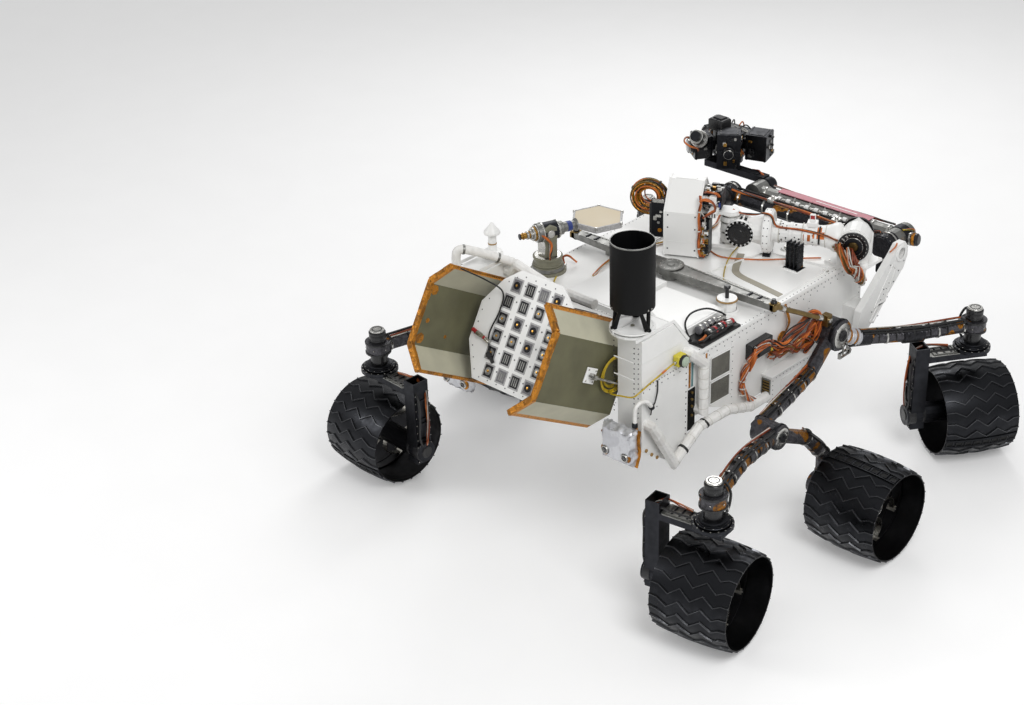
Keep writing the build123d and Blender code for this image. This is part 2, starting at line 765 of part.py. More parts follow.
def make_connector_tray():
    with BuildPart() as tray:
        add(block(TRAY_LOW, TRAY_HIGH))
        for x, y in PLUGS:
            low = (x - PLUG_LENGTH / 2, y - PLUG_HALF, TRAY_HIGH[2])
            high = (x + PLUG_LENGTH / 2, y + PLUG_HALF, TRAY_HIGH[2] + 2 * PLUG_HALF)
            add(block(low, high))
    return tray.part


REAR_LENSES = [REAR_BOX_IN + 15, REAR_BOX_OUT - 10]  # y


def make_hazard_cameras():
    """The paired cameras low on the body's front, and those in the rear blankets."""
    with BuildPart() as cameras:
        for side in (1, -1):
            for y in REAR_LENSES:
                lens = Plane(origin=(BAG_REAR, side * y, BAG_LOW + 60), z_dir=(-1, 0, 0))
                add(drum(lens, 20, 12, TUBE_SIDES))
        add(block((BODY_FRONT, -150, 730), (BODY_FRONT + 20, 150, 800)))
        for y in (-130, -78, 78, 130):
            add(block((BODY_FRONT + 20, y - 18, 740), (BODY_FRONT + 74, y + 18, 776)))
    return cameras.part


def mast_plane():
    """Across the stowed mast: X points behind it, Y up, Z from the pivot to the head."""
    a = radians(MAST_LEAN)
    return Plane(origin=MAST_PIVOT, x_dir=(-sin(a), cos(a), 0), z_dir=(cos(a), sin(a), 0))


def head_location(along_mast, behind, height):
    """A location turned with the stowed mast."""
    point = mast_plane().from_local_coords((behind, height - MAST_PIVOT[2], along_mast))
    return Location(point, (0, 0, MAST_LEAN))


def head_block(along_mast, behind, height):
    """A box turned with the stowed mast, from three pairs of limits."""
    near, far = along_mast
    front, back = behind
    bottom, top = height
    with BuildPart() as box:
        with Locations(head_location((near + far) / 2, (front + back) / 2, (bottom + top) / 2)):
            Box(far - near, back - front, top - bottom)
    return box.part


def knuckle_plane(offset):
    """Across the mast's pivot axle, which is level and square to the stowed mast."""
    a = radians(MAST_LEAN - 90)
    return Plane(origin=MAST_PIVOT, x_dir=(0, 0, 1), z_dir=(cos(a), sin(a), 0)).offset(offset)


# Opposite corners of the plate under the mast's ears
MAST_FOOT = (
    (MAST_PIVOT[0] - 110, MAST_PIVOT[1] - 102, DECK_TOP),
    (MAST_PIVOT[0] + 102, MAST_PIVOT[1] + 110, DECK_TOP + MAST_FOOT_THICK),
)


def make_mast_base():
    near = KNUCKLE_WIDTH / 2 + FACE_GAP
    floor = MAST_FOOT[1][2] - MAST_PIVOT[2]
    corner = KNUCKLE_RADIUS * 0.6
    with BuildPart() as base:
        add(block(*MAST_FOOT))
        for start in (near, -near - EAR_THICK):
            with BuildSketch(knuckle_plane(start)):
                with BuildLine():
                    Polyline(
                        (floor, -EAR_SPREAD), (0, -KNUCKLE_RADIUS), (corner, -corner), (KNUCKLE_RADIUS, 0),
                        (corner, corner), (0, KNUCKLE_RADIUS), (floor, EAR_SPREAD), close=True,
                    )
                make_face()
            extrude(amount=EAR_THICK)
    return base.part


def mast_cone(length):
    """The tapered part of the mast, up Z from its wide end."""
    with BuildPart() as cone:
        with BuildSketch():
            RegularPolygon(CONE_ROOT, DRUM_SIDES)
        extrude(amount=length, taper=degrees(atan2(CONE_ROOT - CONE_TIP, length)))
    return cone.part


def make_mast():
    plane = mast_plane()
    cone_start = COLLAR_AT + COLLAR_LENGTH
    with BuildPart() as mast:
        add(drum(knuckle_plane(-KNUCKLE_WIDTH / 2), KNUCKLE_RADIUS - 4, KNUCKLE_WIDTH))
        add(drum(plane, MAST_TUBE_RADIUS, COLLAR_AT + 10))
        add(drum(plane.offset(COLLAR_AT), COLLAR_RADIUS, COLLAR_LENGTH))
        add(plane.offset(cone_start).location * mast_cone(CONE_END - cone_start))
        foot = head_location(TILT_AT, 0, MAST_PIVOT[2] - TILT_HEIGHT / 2).position
        add(drum(Plane(origin=foot), TILT_RADIUS, TILT_HEIGHT))
        centre = head_location(RING_AT, 0, MAST_PIVOT[2]).position
        add(drum(Plane(origin=centre, z_dir=plane.x_dir), RING_RADIUS, RING_REACH))
    return mast.part


def make_mast_head():
    with BuildPart() as head:
        with BuildSketch(mast_plane().offset(HEAD_NEAR)):
            with BuildLine():
                Polyline(*HEAD_OUTLINE, close=True)
            make_face()
        extrude(amount=HEAD_FAR - HEAD_NEAR)
        reach = TILT_HEIGHT / 2 + FACE_GAP
        for z in (MAST_PIVOT[2] + reach, MAST_PIVOT[2] - reach - FORK_THICK):
            across = (-FORK_WIDTH / 2, FORK_WIDTH / 2)
            add(head_block((TILT_AT, HEAD_NEAR + 10), across, (z, z + FORK_THICK)))
            add(drum(Plane(origin=head_location(TILT_AT, 0, z).position), FORK_WIDTH / 2, FORK_THICK))
    return head.part


# Cameras on the head's front: height of the centre above the mast's axis, size
CAMERAS = [(-68, 70), (22, 60), (112, 84)]
CAMERA_DEPTH = 50


def make_mast_cameras():
    """The cameras on the head's face, which looks forward when stowed."""
    middle = (HEAD_NEAR + HEAD_FAR) / 2
    with BuildPart() as cameras:
        for up, size in CAMERAS:
            z = MAST_PIVOT[2] + up
            half = size / 2
            behind = (-HEAD_FRONT - CAMERA_DEPTH, -HEAD_FRONT)
            add(head_block((middle - half, middle + half), behind, (z - half, z + half)))
    return cameras.part


def make_head_electronics():
    axis = MAST_PIVOT[2]
    with BuildPart() as electronics:
        add(head_block((TILT_AT + 40, HEAD_NEAR), (-60, 60), (axis + 119, axis + 207)))
        add(head_block((TILT_AT + 85, HEAD_NEAR), (60, 150), (axis - 108, axis + 92)))
    return electronics.part


HARNESS_OUT, HARNESS_IN = 95, 52  # radii
HARNESS_THICK = 60


def make_head_harness():
    """The coiled harness beside the head and the plate that carries it."""
    axis = MAST_PIVOT[2]
    with BuildPart() as harness:
        add(head_block((HEAD_FAR, HEAD_FAR + 42), (20, 90), (axis + 2, axis + 162)))
        centre = head_location(HEAD_FAR + HARNESS_OUT + 15, 20, axis + 147).position
        with BuildSketch(Plane(origin=centre, z_dir=mast_plane().x_dir)):
            RegularPolygon(HARNESS_OUT, 12, major_radius=False)
            RegularPolygon(HARNESS_IN, 12, major_radius=False, mode=Mode.SUBTRACT)
        extrude(amount=HARNESS_THICK)
    return harness.part


REST_FINS = 4
REST_FIN_THICK = 6
REST_FIN_PITCH = 24


def make_mast_rest():
    """The finned bracket beside the stowed mast, and the pad below the mast's collar."""
    x, y = MAST_PIVOT[0] - 262, 176 - BODY_HALF
    with BuildPart() as rest:
        add(block((x - 30, y - 45, DECK_TOP), (x + 30, y + 45, DECK_TOP + 10)))
        with Locations((x, y, DECK_TOP)):
            with GridLocations(0, REST_FIN_PITCH, 1, REST_FINS):
                Box(44, REST_FIN_THICK, 150, align=(Align.CENTER, Align.CENTER, Align.MIN))
        floor = MAST_PIVOT[2] - COLLAR_RADIUS - FACE_GAP
        add(head_block((COLLAR_AT, COLLAR_AT + COLLAR_LENGTH), (-50, 50), (DECK_TOP, floor)))
    return rest.part


# Side outline of the elbow rest: x ahead of the body's front, z
ELBOW_REST = [
    (-200, 770), (-110, 750), (200, 1000), (230, 1060), (230, 1110), (200, 1150),
    (140, 1150), (100, 1110), (-180, 880),
]
REST_HOLE = (166, 1094)
REST_HOLE_RADIUS = 30
REST_INNER, REST_OUTER = ELBOW_Y - ELBOW_RADIUS - 12, ELBOW_Y - ELBOW_RADIUS - 52


def make_elbow_rest():
    """The bracket that reaches forward from the front right corner and carries the elbow."""
    with BuildPart() as bracket:
        plane = Plane(origin=(BODY_FRONT, REST_INNER, 0), x_dir=(1, 0, 0), z_dir=(0, -1, 0))
        with BuildSketch(plane):
            with BuildLine():
                Polyline(*ELBOW_REST, close=True)
            make_face()
            with Locations(REST_HOLE):
                RegularPolygon(REST_HOLE_RADIUS, TUBE_SIDES, mode=Mode.SUBTRACT)
        extrude(amount=REST_INNER - REST_OUTER)
        add(block((BODY_FRONT - 160, REST_INNER, 780), (BODY_FRONT - 40, -BODY_HALF, 880)))
        seat = ARM_Z - ELBOW_RADIUS - FACE_GAP
        add(block((UPPER_X - 40, REST_INNER, seat - 40), (UPPER_X + 36, ELBOW_Y + 40, seat)))
    return bracket.part


def make_arm_base():
    x, y = SHOULDER
    with BuildPart() as base:
        add(block((BODY_FRONT, y - 65, SHOULDER_Z - 120), (x, y + 65, SHOULDER_Z)))
        add(drum(level(x, y, SHOULDER_Z - 140), SHOULDER_RADIUS, 140))
    return base.part


def cross_drum(x0, x1, y, radius):
    """A drum along X between two stations, at the stowed arm's height."""
    return drum(Plane(origin=(x0, y, ARM_Z), z_dir=(1, 0, 0)), radius, x1 - x0)


def make_arm_turntable():
    x, y = SHOULDER
    low = SHOULDER_Z + FACE_GAP
    far = UPPER_X - DRUM_HALF - FACE_GAP
    with BuildPart() as turntable:
        add(drum(level(x, y, low), SHOULDER_RADIUS, 80))
        add(block((far - 60, y - 55, low), (far, y + 55, ARM_Z)))
        add(cross_drum(far - 60, far, y, ELBOW_RADIUS))
    return turntable.part


def make_upper_arm():
    near, far = UPPER_X - DRUM_HALF, UPPER_X + DRUM_HALF
    with BuildPart() as arm:
        add(cross_drum(near, far, SHOULDER[1], ELBOW_RADIUS + 2))
        add(cross_drum(near, far, ELBOW_Y, ELBOW_RADIUS))
        add(tube([(UPPER_X, SHOULDER[1], ARM_Z), (UPPER_X, ELBOW_Y, ARM_Z)], UPPER_RADIUS))
    return arm.part


def make_forearm():
    near = UPPER_X + DRUM_HALF + FACE_GAP
    with BuildPart() as arm:
        add(cross_drum(near, FORE_X + 60, ELBOW_Y, ELBOW_RADIUS - 2))
        add(cross_drum(FORE_X - WRIST_HALF, FORE_X + WRIST_HALF, WRIST_Y, WRIST_RADIUS))
        add(tube([(FORE_X, ELBOW_Y, ARM_Z), (FORE_X, WRIST_Y, ARM_Z)], FORE_RADIUS))
    return arm.part


def make_wrist():
    near = FORE_X + WRIST_HALF + FACE_GAP
    x, y = TURRET
    with BuildPart() as wrist:
        add(cross_drum(near, near + 60, WRIST_Y, WRIST_RADIUS - 2))
        add(block((near, WRIST_Y, TURRET_Z), (near + 60, y, TURRET_Z + TURRET_PLATE)))
        add(block((near, y - 60, TURRET_Z), (x, y + 60, TURRET_Z + TURRET_PLATE)))
        add(drum(level(x, y, TURRET_Z), 80, TURRET_PLATE))
    return wrist.part


def make_turret_hub():
    with BuildPart() as hub:
        with BuildSketch(Plane(origin=(*TURRET, TURRET_BASE))):
            RegularPolygon(HUB_RADIUS, HUB_SIDES, major_radius=False, rotation=180 / HUB_SIDES)
        extrude(amount=HUB_HEIGHT)
    return hub.part


# Instruments on the turret's sides: side number, length, width, bottom, top, nose radius, nose length
INSTRUMENTS = {
    "drill": (6, 150, 130, 8, 210, 26, 44),
    "sample_box": (8, 150, 130, 8, 160, 0, 0),
    "spectrometer": (4, 130, 110, 8, 140, 40, 30),
    "brush_tool": (2, 110, 90, 8, 120, 30, 50),
    "hand_lens_camera": (0, 100, 84, 8, 100, 30, 30),
}


def make_instrument(flat, length, width, bottom, top, nose_radius, nose_length):
    angle = 360 / HUB_SIDES * flat
    height = (bottom + top) / 2
    face = Plane(
        origin=along(TURRET, angle, HUB_RADIUS, TURRET_BASE + height),
        x_dir=(-sin(radians(angle)), cos(radians(angle)), 0),
        z_dir=(cos(radians(angle)), sin(radians(angle)), 0),
    )
    with BuildPart() as tool:
        with BuildSketch(face.offset(24)):
            Rectangle(width, top - bottom)
        extrude(amount=length - 24)
        with BuildSketch(face):
            Rectangle(46, 60)
        extrude(amount=30)
        if nose_length:
            add(drum(face.offset(length), nose_radius, nose_length, TUBE_SIDES))
    return tool.part


def make_hga_turntable():
    x, y = HGA_BASE
    low = DECK_TOP + HGA_FOOT_HEIGHT + FACE_GAP
    with BuildPart() as turntable:
        add(drum(level(x, y, low), 70, 50))
        with Locations((x, y, (low + HGA_Z) / 2)):
            Box(60, 80, HGA_Z - low)
        add(drum(hga_plane(-HGA_DRUM_HALF), 48, 2 * HGA_DRUM_HALF))
    return turntable.part


def hga_plane(distance):
    """Across the antenna's elevation axis, at a distance from its turntable's axis."""
    a = radians(HGA_LEAN)
    return Plane(origin=(*HGA_BASE, HGA_Z), z_dir=(cos(a), sin(a), 0)).offset(distance)


def make_hga_base():
    with BuildPart() as base:
        add(drum(level(*HGA_BASE, DECK_TOP), 82, HGA_FOOT_HEIGHT))
    return base.part


def make_hga_dish():
    a = radians(HGA_LEAN)
    centre = along(HGA_BASE, HGA_LEAN, HGA_REACH, HGA_Z)
    near = HGA_DRUM_HALF + FACE_GAP
    with BuildPart() as dish:
        with BuildSketch(Plane(origin=centre, x_dir=(cos(a), sin(a), 0))):
            RegularPolygon(HGA_FLATS / 2, 6, major_radius=False)
        extrude(amount=HGA_THICK / 2, both=True)
        add(drum(hga_plane(near), 24, HGA_REACH - near - HGA_FLATS / 2 + 10, TUBE_SIDES))
    return dish.part


def main():
    os.makedirs("parts", exist_ok=True)
    wheel = make_wheel()
    strut = make_strut()
    for name, (x, side, angle) in CORNERS.items():
        save(wheel_plane(x, side * CORNER_Y, side, angle).location * wheel, f"wheel_{name}")
        shape = strut if side > 0 else mirror(strut, about=Plane.XZ)
        save(Location((x, side * CORNER_Y, 0), (0, 0, angle)) * shape, f"wheel_strut_{name}")
    for name, side in (("lm", 1), ("rm", -1)):
        save(wheel_plane(MIDDLE_X, side * MIDDLE_Y, side, 0).location * wheel, f"wheel_{name}")
    save(make_rockers(), "rockers")
    save(make_bogies(), "bogies")
    save(make_steering_motors(), "steering_motors")
    save(make_body(), "body_box")
    save(make_deck(), "deck")
    save(make_deck_covers(), "deck_covers")
    save(make_differential(), "differential_bar")
    save(make_links(), "differential_links")
    save(make_exchangers(), "heat_exchangers")
    save(make_end_plate(), "end_plate")
    save(make_generator(), "generator")
    save(make_unit_frame(), "unit_frame")
    save(make_exchanger_brackets(), "exchanger_brackets")
    save(make_rear_boxes(), "rear_boxes")
    save(make_uhf(), "uhf_antenna")
    save(make_low_gain(), "low_gain_antenna")
    save(make_pipes(), "coolant_pipes")
    save(make_side_boxes(), "side_boxes")
    save(make_stop_switch(), "stop_switch")
    save(make_switch_cable(), "switch_cable")
    save(make_insulation_bags(), "insulation_bags")
    save(make_connector_tray(), "connector_tray")
    save(make_hazard_cameras(), "hazard_cameras")
    save(make_mast_base(), "mast_base")
    save(make_mast(), "mast_tube")
    save(make_mast_head(), "mast_head")
    save(make_mast_cameras(), "mast_cameras")
    save(make_head_electronics(), "head_electronics")
    save(make_head_harness(), "head_harness")
    save(make_mast_rest(), "mast_rest")
    save(make_elbow_rest(), "elbow_rest")
    save(make_arm_base(), "arm_base")
    save(make_arm_turntable(), "arm_turntable")
    save(make_upper_arm(), "upper_arm")
    save(make_forearm(), "forearm")
    save(make_wrist(), "wrist")
    save(make_turret_hub(), "turret_hub")
    for name, sizes in INSTRUMENTS.items():
        save(make_instrument(*sizes), name)
    save(make_hga_base(), "hga_base")
    save(make_hga_turntable(), "hga_turntable")
    save(make_hga_dish(), "hga_dish")


main()
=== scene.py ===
"""Looks for the six-wheeled rover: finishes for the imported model's parts, and the detail on them."""

import random
from math import cos, pi, radians, sin

import bmesh
import bpy
from bpy.props import FloatProperty, FloatVectorProperty, IntProperty, PointerProperty
from mathutils import Matrix, Vector


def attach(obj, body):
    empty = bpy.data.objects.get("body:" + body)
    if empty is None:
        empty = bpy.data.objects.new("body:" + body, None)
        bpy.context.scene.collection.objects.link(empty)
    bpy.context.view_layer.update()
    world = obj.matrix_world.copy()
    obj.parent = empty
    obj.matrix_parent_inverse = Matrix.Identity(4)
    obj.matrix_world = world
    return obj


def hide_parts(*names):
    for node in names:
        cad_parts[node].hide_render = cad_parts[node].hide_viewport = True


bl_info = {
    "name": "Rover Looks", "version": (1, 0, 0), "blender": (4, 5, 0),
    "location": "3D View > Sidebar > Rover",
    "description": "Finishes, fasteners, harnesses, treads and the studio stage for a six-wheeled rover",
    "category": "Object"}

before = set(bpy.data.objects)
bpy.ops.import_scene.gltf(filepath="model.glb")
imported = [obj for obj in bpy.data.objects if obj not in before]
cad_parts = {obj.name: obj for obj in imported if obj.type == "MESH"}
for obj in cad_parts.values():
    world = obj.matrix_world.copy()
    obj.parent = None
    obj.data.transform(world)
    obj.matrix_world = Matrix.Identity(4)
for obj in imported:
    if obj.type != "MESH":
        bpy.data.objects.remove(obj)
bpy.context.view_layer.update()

MM = 0.001
X, Y, Z = Vector((1, 0, 0)), Vector((0, 1, 0)), Vector((0, 0, 1))


def linear(code):
    """A colour written as an sRGB hex code, as linear red, green, blue and alpha."""
    parts = [int(code[i:i + 2], 16) / 255 for i in (1, 3, 5)]
    return tuple(c / 12.92 if c <= 0.04045 else ((c + 0.055) / 1.055) ** 2.4 for c in parts) + (1.0,)


def add(tree, kind, inputs=None, **settings):
    """Adds one node: settings are its own properties, inputs its sockets' values or what feeds them."""
    made = tree.nodes.new(kind)
    for name, value in settings.items():
        setattr(made, name, value)
    for name, value in (inputs or {}).items():
        if isinstance(value, bpy.types.NodeSocket):
            tree.links.new(value, made.inputs[name])
        else:
            made.inputs[name].default_value = value
    return made


def colour_setting(name, description, code):
    """A colour in the sidebar."""
    return FloatVectorProperty(
        name=name, description=description, subtype="COLOR", size=4, min=0, max=1, default=linear(code))


def length_setting(name, description, default, low, high):
    """A length in the sidebar, in metres."""
    return FloatProperty(
        name=name, description=description, subtype="DISTANCE", unit="LENGTH", default=default, min=low,
        max=high)


class RoverLook(bpy.types.PropertyGroup):
    """Colours and sizes of the rover's finishes and small parts."""

    white_paint: colour_setting("White paint", "Thermal paint on the body, deck and mast", "#ebebe9")
    wheel_black: colour_setting("Wheel anodise", "Black anodised skin of the wheels", "#2f3033")
    panel_olive: colour_setting("Panel olive", "Coating on the heat exchangers' large faces", "#66644a")
    panel_cream: colour_setting("Panel cream", "Coating on the heat exchangers' slanted faces", "#bdbaa4")
    film_amber: colour_setting("Amber film", "Polyimide film on edges and arm joints", "#c07d1f")
    harness_orange: colour_setting("Harness orange", "Jacket of the orange wiring", "#d0702c")
    grousers: IntProperty(
        name="Grousers", description="Zigzag treads round each wheel", default=24, min=12, max=48)
    grouser_height: length_setting(
        "Grouser height", "How far a tread stands above the wheel's skin", 0.0075, 0.003, 0.012)
    rivet_pitch: length_setting(
        "Rivet pitch", "Distance between rivets along the body's seams", 0.030, 0.015, 0.08)
    rivet_head: length_setting("Rivet head", "Diameter of a rivet's head", 0.008, 0.003, 0.02)


class RoverStage(bpy.types.PropertyGroup):
    """The floor, the lamps and the lens."""

    backdrop: colour_setting("Backdrop", "Colour of the floor and of what is behind it", "#eeeeee")
    key_power: FloatProperty(
        name="Key lamp", description="Power of the large overhead lamp", unit="POWER", default=230.0, min=0.0)
    fill: FloatProperty(
        name="Fill", description="Strength of the even light from all round", default=0.5, min=0.0, max=4.0)
    lens: FloatProperty(
        name="Lens", description="Focal length of the camera, on a 36 mm sensor", default=64.77, min=10.0,
        max=300.0)


# Patterns that the finishes share

def rounded(tree, radius):
    """A normal that turns softly over each edge, so machined and sprayed edges catch the light."""
    return add(tree, "ShaderNodeBevel", {"Radius": radius * MM}, samples=4).outputs["Normal"]


def patched(tree, value, start, end, low, high):
    """Goes from the colour low to the colour high where a value runs from start to end."""
    step = add(tree, "ShaderNodeMapRange", {"Value": value, "From Min": start, "From Max": end})
    return add(tree, "ShaderNodeMix", {
        0: step.outputs["Result"], 6: low, 7: high}, data_type="RGBA").outputs[2]


def darker(colour, amount):
    """The same colour with its light taken down by a share."""
    return tuple(c * (1 - amount) for c in colour[:3]) + (1.0,)


def along(tree, origin, axis):
    """How far a point of the surface lies along an axis from an origin, in metres."""
    where = add(tree, "ShaderNodeTexCoord").outputs["Object"]
    step = add(tree, "ShaderNodeVectorMath", {0: where, 1: origin}, operation="SUBTRACT").outputs[0]
    return add(tree, "ShaderNodeVectorMath", {0: step, 1: axis}, operation="DOT_PRODUCT").outputs["Value"]


def noise(tree, where, grain, detail):
    """Noise between 0 and 1 whose grains are about so many millimetres wide."""
    return add(tree, "ShaderNodeTexNoise", {
        "Vector": where, "Scale": 1 / (grain * MM), "Detail": detail}).outputs["Fac"]


def worked(tree, operation, *values):
    """The result of one step of arithmetic on values or sockets."""
    return add(tree, "ShaderNodeMath", dict(enumerate(values)), operation=operation).outputs[0]


def emboss(tree, shader, strength, distance, height, edge=None):
    """Raises the surface by a pattern, over edges softened by so many millimetres where that is given."""
    inputs = {"Strength": strength, "Distance": distance, "Height": height}
    if edge is not None:
        inputs["Normal"] = rounded(tree, edge)
    bump = add(tree, "ShaderNodeBump", inputs)
    tree.links.new(bump.outputs["Normal"], shader.inputs["Normal"])


def start_finish(name, rough, metallic):
    """A new finish: the material, its tree, its shader and its place on the piece."""
    material = bpy.data.materials.new(name)
    material.use_nodes = True
    tree = material.node_tree
    shader = tree.nodes["Principled BSDF"]
    shader.inputs["Roughness"].default_value = rough
    shader.inputs["Metallic"].default_value = metallic
    return material, tree, shader, add(tree, "ShaderNodeTexCoord").outputs["Object"]


def coat(name, colour, rough, blotch, tint, peel, edge=1.5):
    """Sprayed paint or moulded plastic: faint cloudy tint, orange peel, scuffed spots, soft edges."""
    material, tree, shader, where = start_finish(name, rough, 0.0)
    cloud = noise(tree, where, blotch, 4.0)
    base = patched(tree, cloud, 0.35, 0.68, darker(colour, tint), colour)
    spot = add(tree, "ShaderNodeTexNoise", {
        "Vector": where, "Scale": 1 / (9 * MM), "Detail": 6.0, "Roughness": 0.7})
    worn = patched(tree, spot.outputs["Fac"], 0.66, 0.74, base, darker(colour, 0.35 * min(1, tint * 6)))
    tree.links.new(worn, shader.inputs["Base Color"])
    sheen = add(tree, "ShaderNodeMapRange", {
        "Value": cloud, "From Min": 0.3, "From Max": 0.7, "To Min": rough - 0.08, "To Max": rough + 0.08})
    tree.links.new(sheen.outputs["Result"], shader.inputs["Roughness"])
    skin = noise(tree, where, 2.2, 2.0)
    emboss(tree, shader, peel, 0.0006, skin, edge)
    return material


def metal(name, colour, rough, grain, streak, edge=1.2):
    """Machined or plated metal: tool marks that run one way, and smudges that dull the shine."""
    material, tree, shader, where = start_finish(name, rough, 1.0)
    marks = add(tree, "ShaderNodeMapping", {"Vector": where, "Scale": (
        1 / (grain * MM), 1 / (grain * MM), streak / MM)})
    lines = add(tree, "ShaderNodeTexNoise", {
        "Vector": marks.outputs[0], "Scale": 1.0, "Detail": 3.0}).outputs["Fac"]
    smudge = noise(tree, where, 35, 3.0)
    tone = patched(tree, smudge, 0.3, 0.7, darker(colour, 0.22), colour)
    tree.links.new(tone, shader.inputs["Base Color"])
    dull = add(tree, "ShaderNodeMapRange", {
        "Value": smudge, "From Min": 0.3, "From Max": 0.7, "To Min": rough + 0.12, "To Max": rough - 0.06})
    tree.links.new(dull.outputs["Result"], shader.inputs["Roughness"])
    emboss(tree, shader, 0.25, 0.0004, lines, edge)
    return material


def film(name, colour, other, share, metallic, rough, crinkle, fold, soil=0.6):
    """Thin film laid by hand: sharp crinkles, and patches of a second film taped over the first."""
    material, tree, shader, where = start_finish(name, rough, metallic)
    area = noise(tree, where, 90, 1.0)
    base = patched(tree, area, 0.62 - share, 0.64 - share, colour, other)
    stain = noise(tree, where, 25, 4.0)
    deep = patched(tree, stain, 0.46, 0.72, base, darker(colour, soil))
    tree.links.new(deep, shader.inputs["Base Color"])
    cells = add(tree, "ShaderNodeTexVoronoi", {
        "Vector": where, "Scale": 1 / (crinkle * MM)}).outputs["Distance"]
    drape = noise(tree, where, 3 * crinkle, 5.0)
    creased = worked(tree, "ADD", cells, drape)
    emboss(tree, shader, fold, 0.003, creased, 2.0)
    return material


def jacket(name, colour, rough, lay):
    """A wire's jacket: a fine twisted rib, lighter and darker lengths, and a waxy shine."""
    material, tree, shader, where = start_finish(name, rough, 0.0)
    rib = add(tree, "ShaderNodeTexWave", {
        "Vector": where, "Scale": 1 / (lay * MM), "Distortion": 2.0,
        "Detail": 1.0}, bands_direction="DIAGONAL")
    shade = noise(tree, where, 40, 3.0)
    tree.links.new(patched(tree, shade, 0.35, 0.65, darker(colour, 0.4), colour), shader.inputs["Base Color"])
    emboss(tree, shader, 0.4, 0.0004, rib.outputs["Fac"])
    return material


def unit_point(depth, left, up):
    """A point on the tilted power unit, in metres: along its axis, to the left, and up across it."""
    tilt = radians(UNIT_TILT)
    axis = Vector((cos(tilt), 0, -sin(tilt)))
    rise = Vector((sin(tilt), 0, cos(tilt)))
    return (Vector(UNIT_ORIGIN) + depth * axis + left * Y + up * rise) * MM


def exchanger_finish(name, olive, cream, amber):
    """Olive faces, paler slanted faces, and a taped amber border along every free edge."""
    material, tree, shader, where = start_finish(name, 0.55, 0.0)
    tilt = radians(UNIT_TILT)
    depth = along(tree, unit_point(0, 0, 0), (cos(tilt), 0, -sin(tilt)))
    rise = along(tree, unit_point(0, 0, 0), (sin(tilt), 0, cos(tilt)))
    normal = add(tree, "ShaderNodeNewGeometry").outputs["True Normal"]
    flat = add(tree, "ShaderNodeVectorMath", {0: normal, 1: Y}, operation="DOT_PRODUCT").outputs["Value"]
    square = worked(tree, "ABSOLUTE", flat)
    cloud = noise(tree, where, 120, 5.0)
    low = patched(tree, cloud, 0.3, 0.7, darker(olive, 0.3), olive)
    pale = patched(tree, cloud, 0.3, 0.7, darker(cream, 0.18), cream)
    face = patched(tree, square, 0.93, 0.90, low, pale)
    stain = noise(tree, where, 11, 4.0)
    tape = patched(tree, stain, 0.5, 0.66, amber, darker(amber, 0.55))
    front = worked(tree, "LESS_THAN", depth, EXCHANGER_EDGE * MM)
    height = worked(tree, "ABSOLUTE", rise)
    ends = worked(tree, "GREATER_THAN", height, (EXCHANGER_TIP - EXCHANGER_EDGE) * MM)
    taped = worked(tree, "MAXIMUM", front, ends)
    tree.links.new(patched(tree, taped, 0.4, 0.6, face, tape), shader.inputs["Base Color"])
    skin = noise(tree, where, 5, 3.0)
    emboss(tree, shader, 0.3, 0.001, skin, 1.5)
    return material


def glass_finish(name, colour):
    """Dark coated optical glass: nearly black, with a sharp reflection and a faint violet sheen."""
    material, tree, shader, where = start_finish(name, 0.05, 0.0)
    haze = noise(tree, where, 30, 2.0)
    tree.links.new(patched(tree, haze, 0.3, 0.7, darker(colour, 0.5), colour), shader.inputs["Base Color"])
    shader.inputs["Coat Weight"].default_value = 1.0
    shader.inputs["Coat Roughness"].default_value = 0.03
    return material


def mesh_finish(name, dark, light, pitch):
    """Woven wire mesh: light threads crossing at a fine pitch, over a dark colour painted as the shade of the
    opening behind them.
    """
    material, tree, shader, where = start_finish(name, 0.5, 0.3)
    threads = []
    for direction in ("X", "Z"):
        wave = add(
            tree, "ShaderNodeTexWave", {"Vector": where, "Scale": 0.3 / (pitch * MM)},
            bands_direction=direction)
        threads.append(wave.outputs["Fac"])
    weave = worked(tree, "MAXIMUM", threads[0], threads[1])
    cloud = noise(tree, where, 60, 3.0)
    thread = patched(tree, cloud, 0.3, 0.7, darker(light, 0.4), light)
    tree.links.new(patched(tree, weave, 0.45, 0.95, dark, thread), shader.inputs["Base Color"])
    emboss(tree, shader, 0.5, 0.0008, weave)
    return material


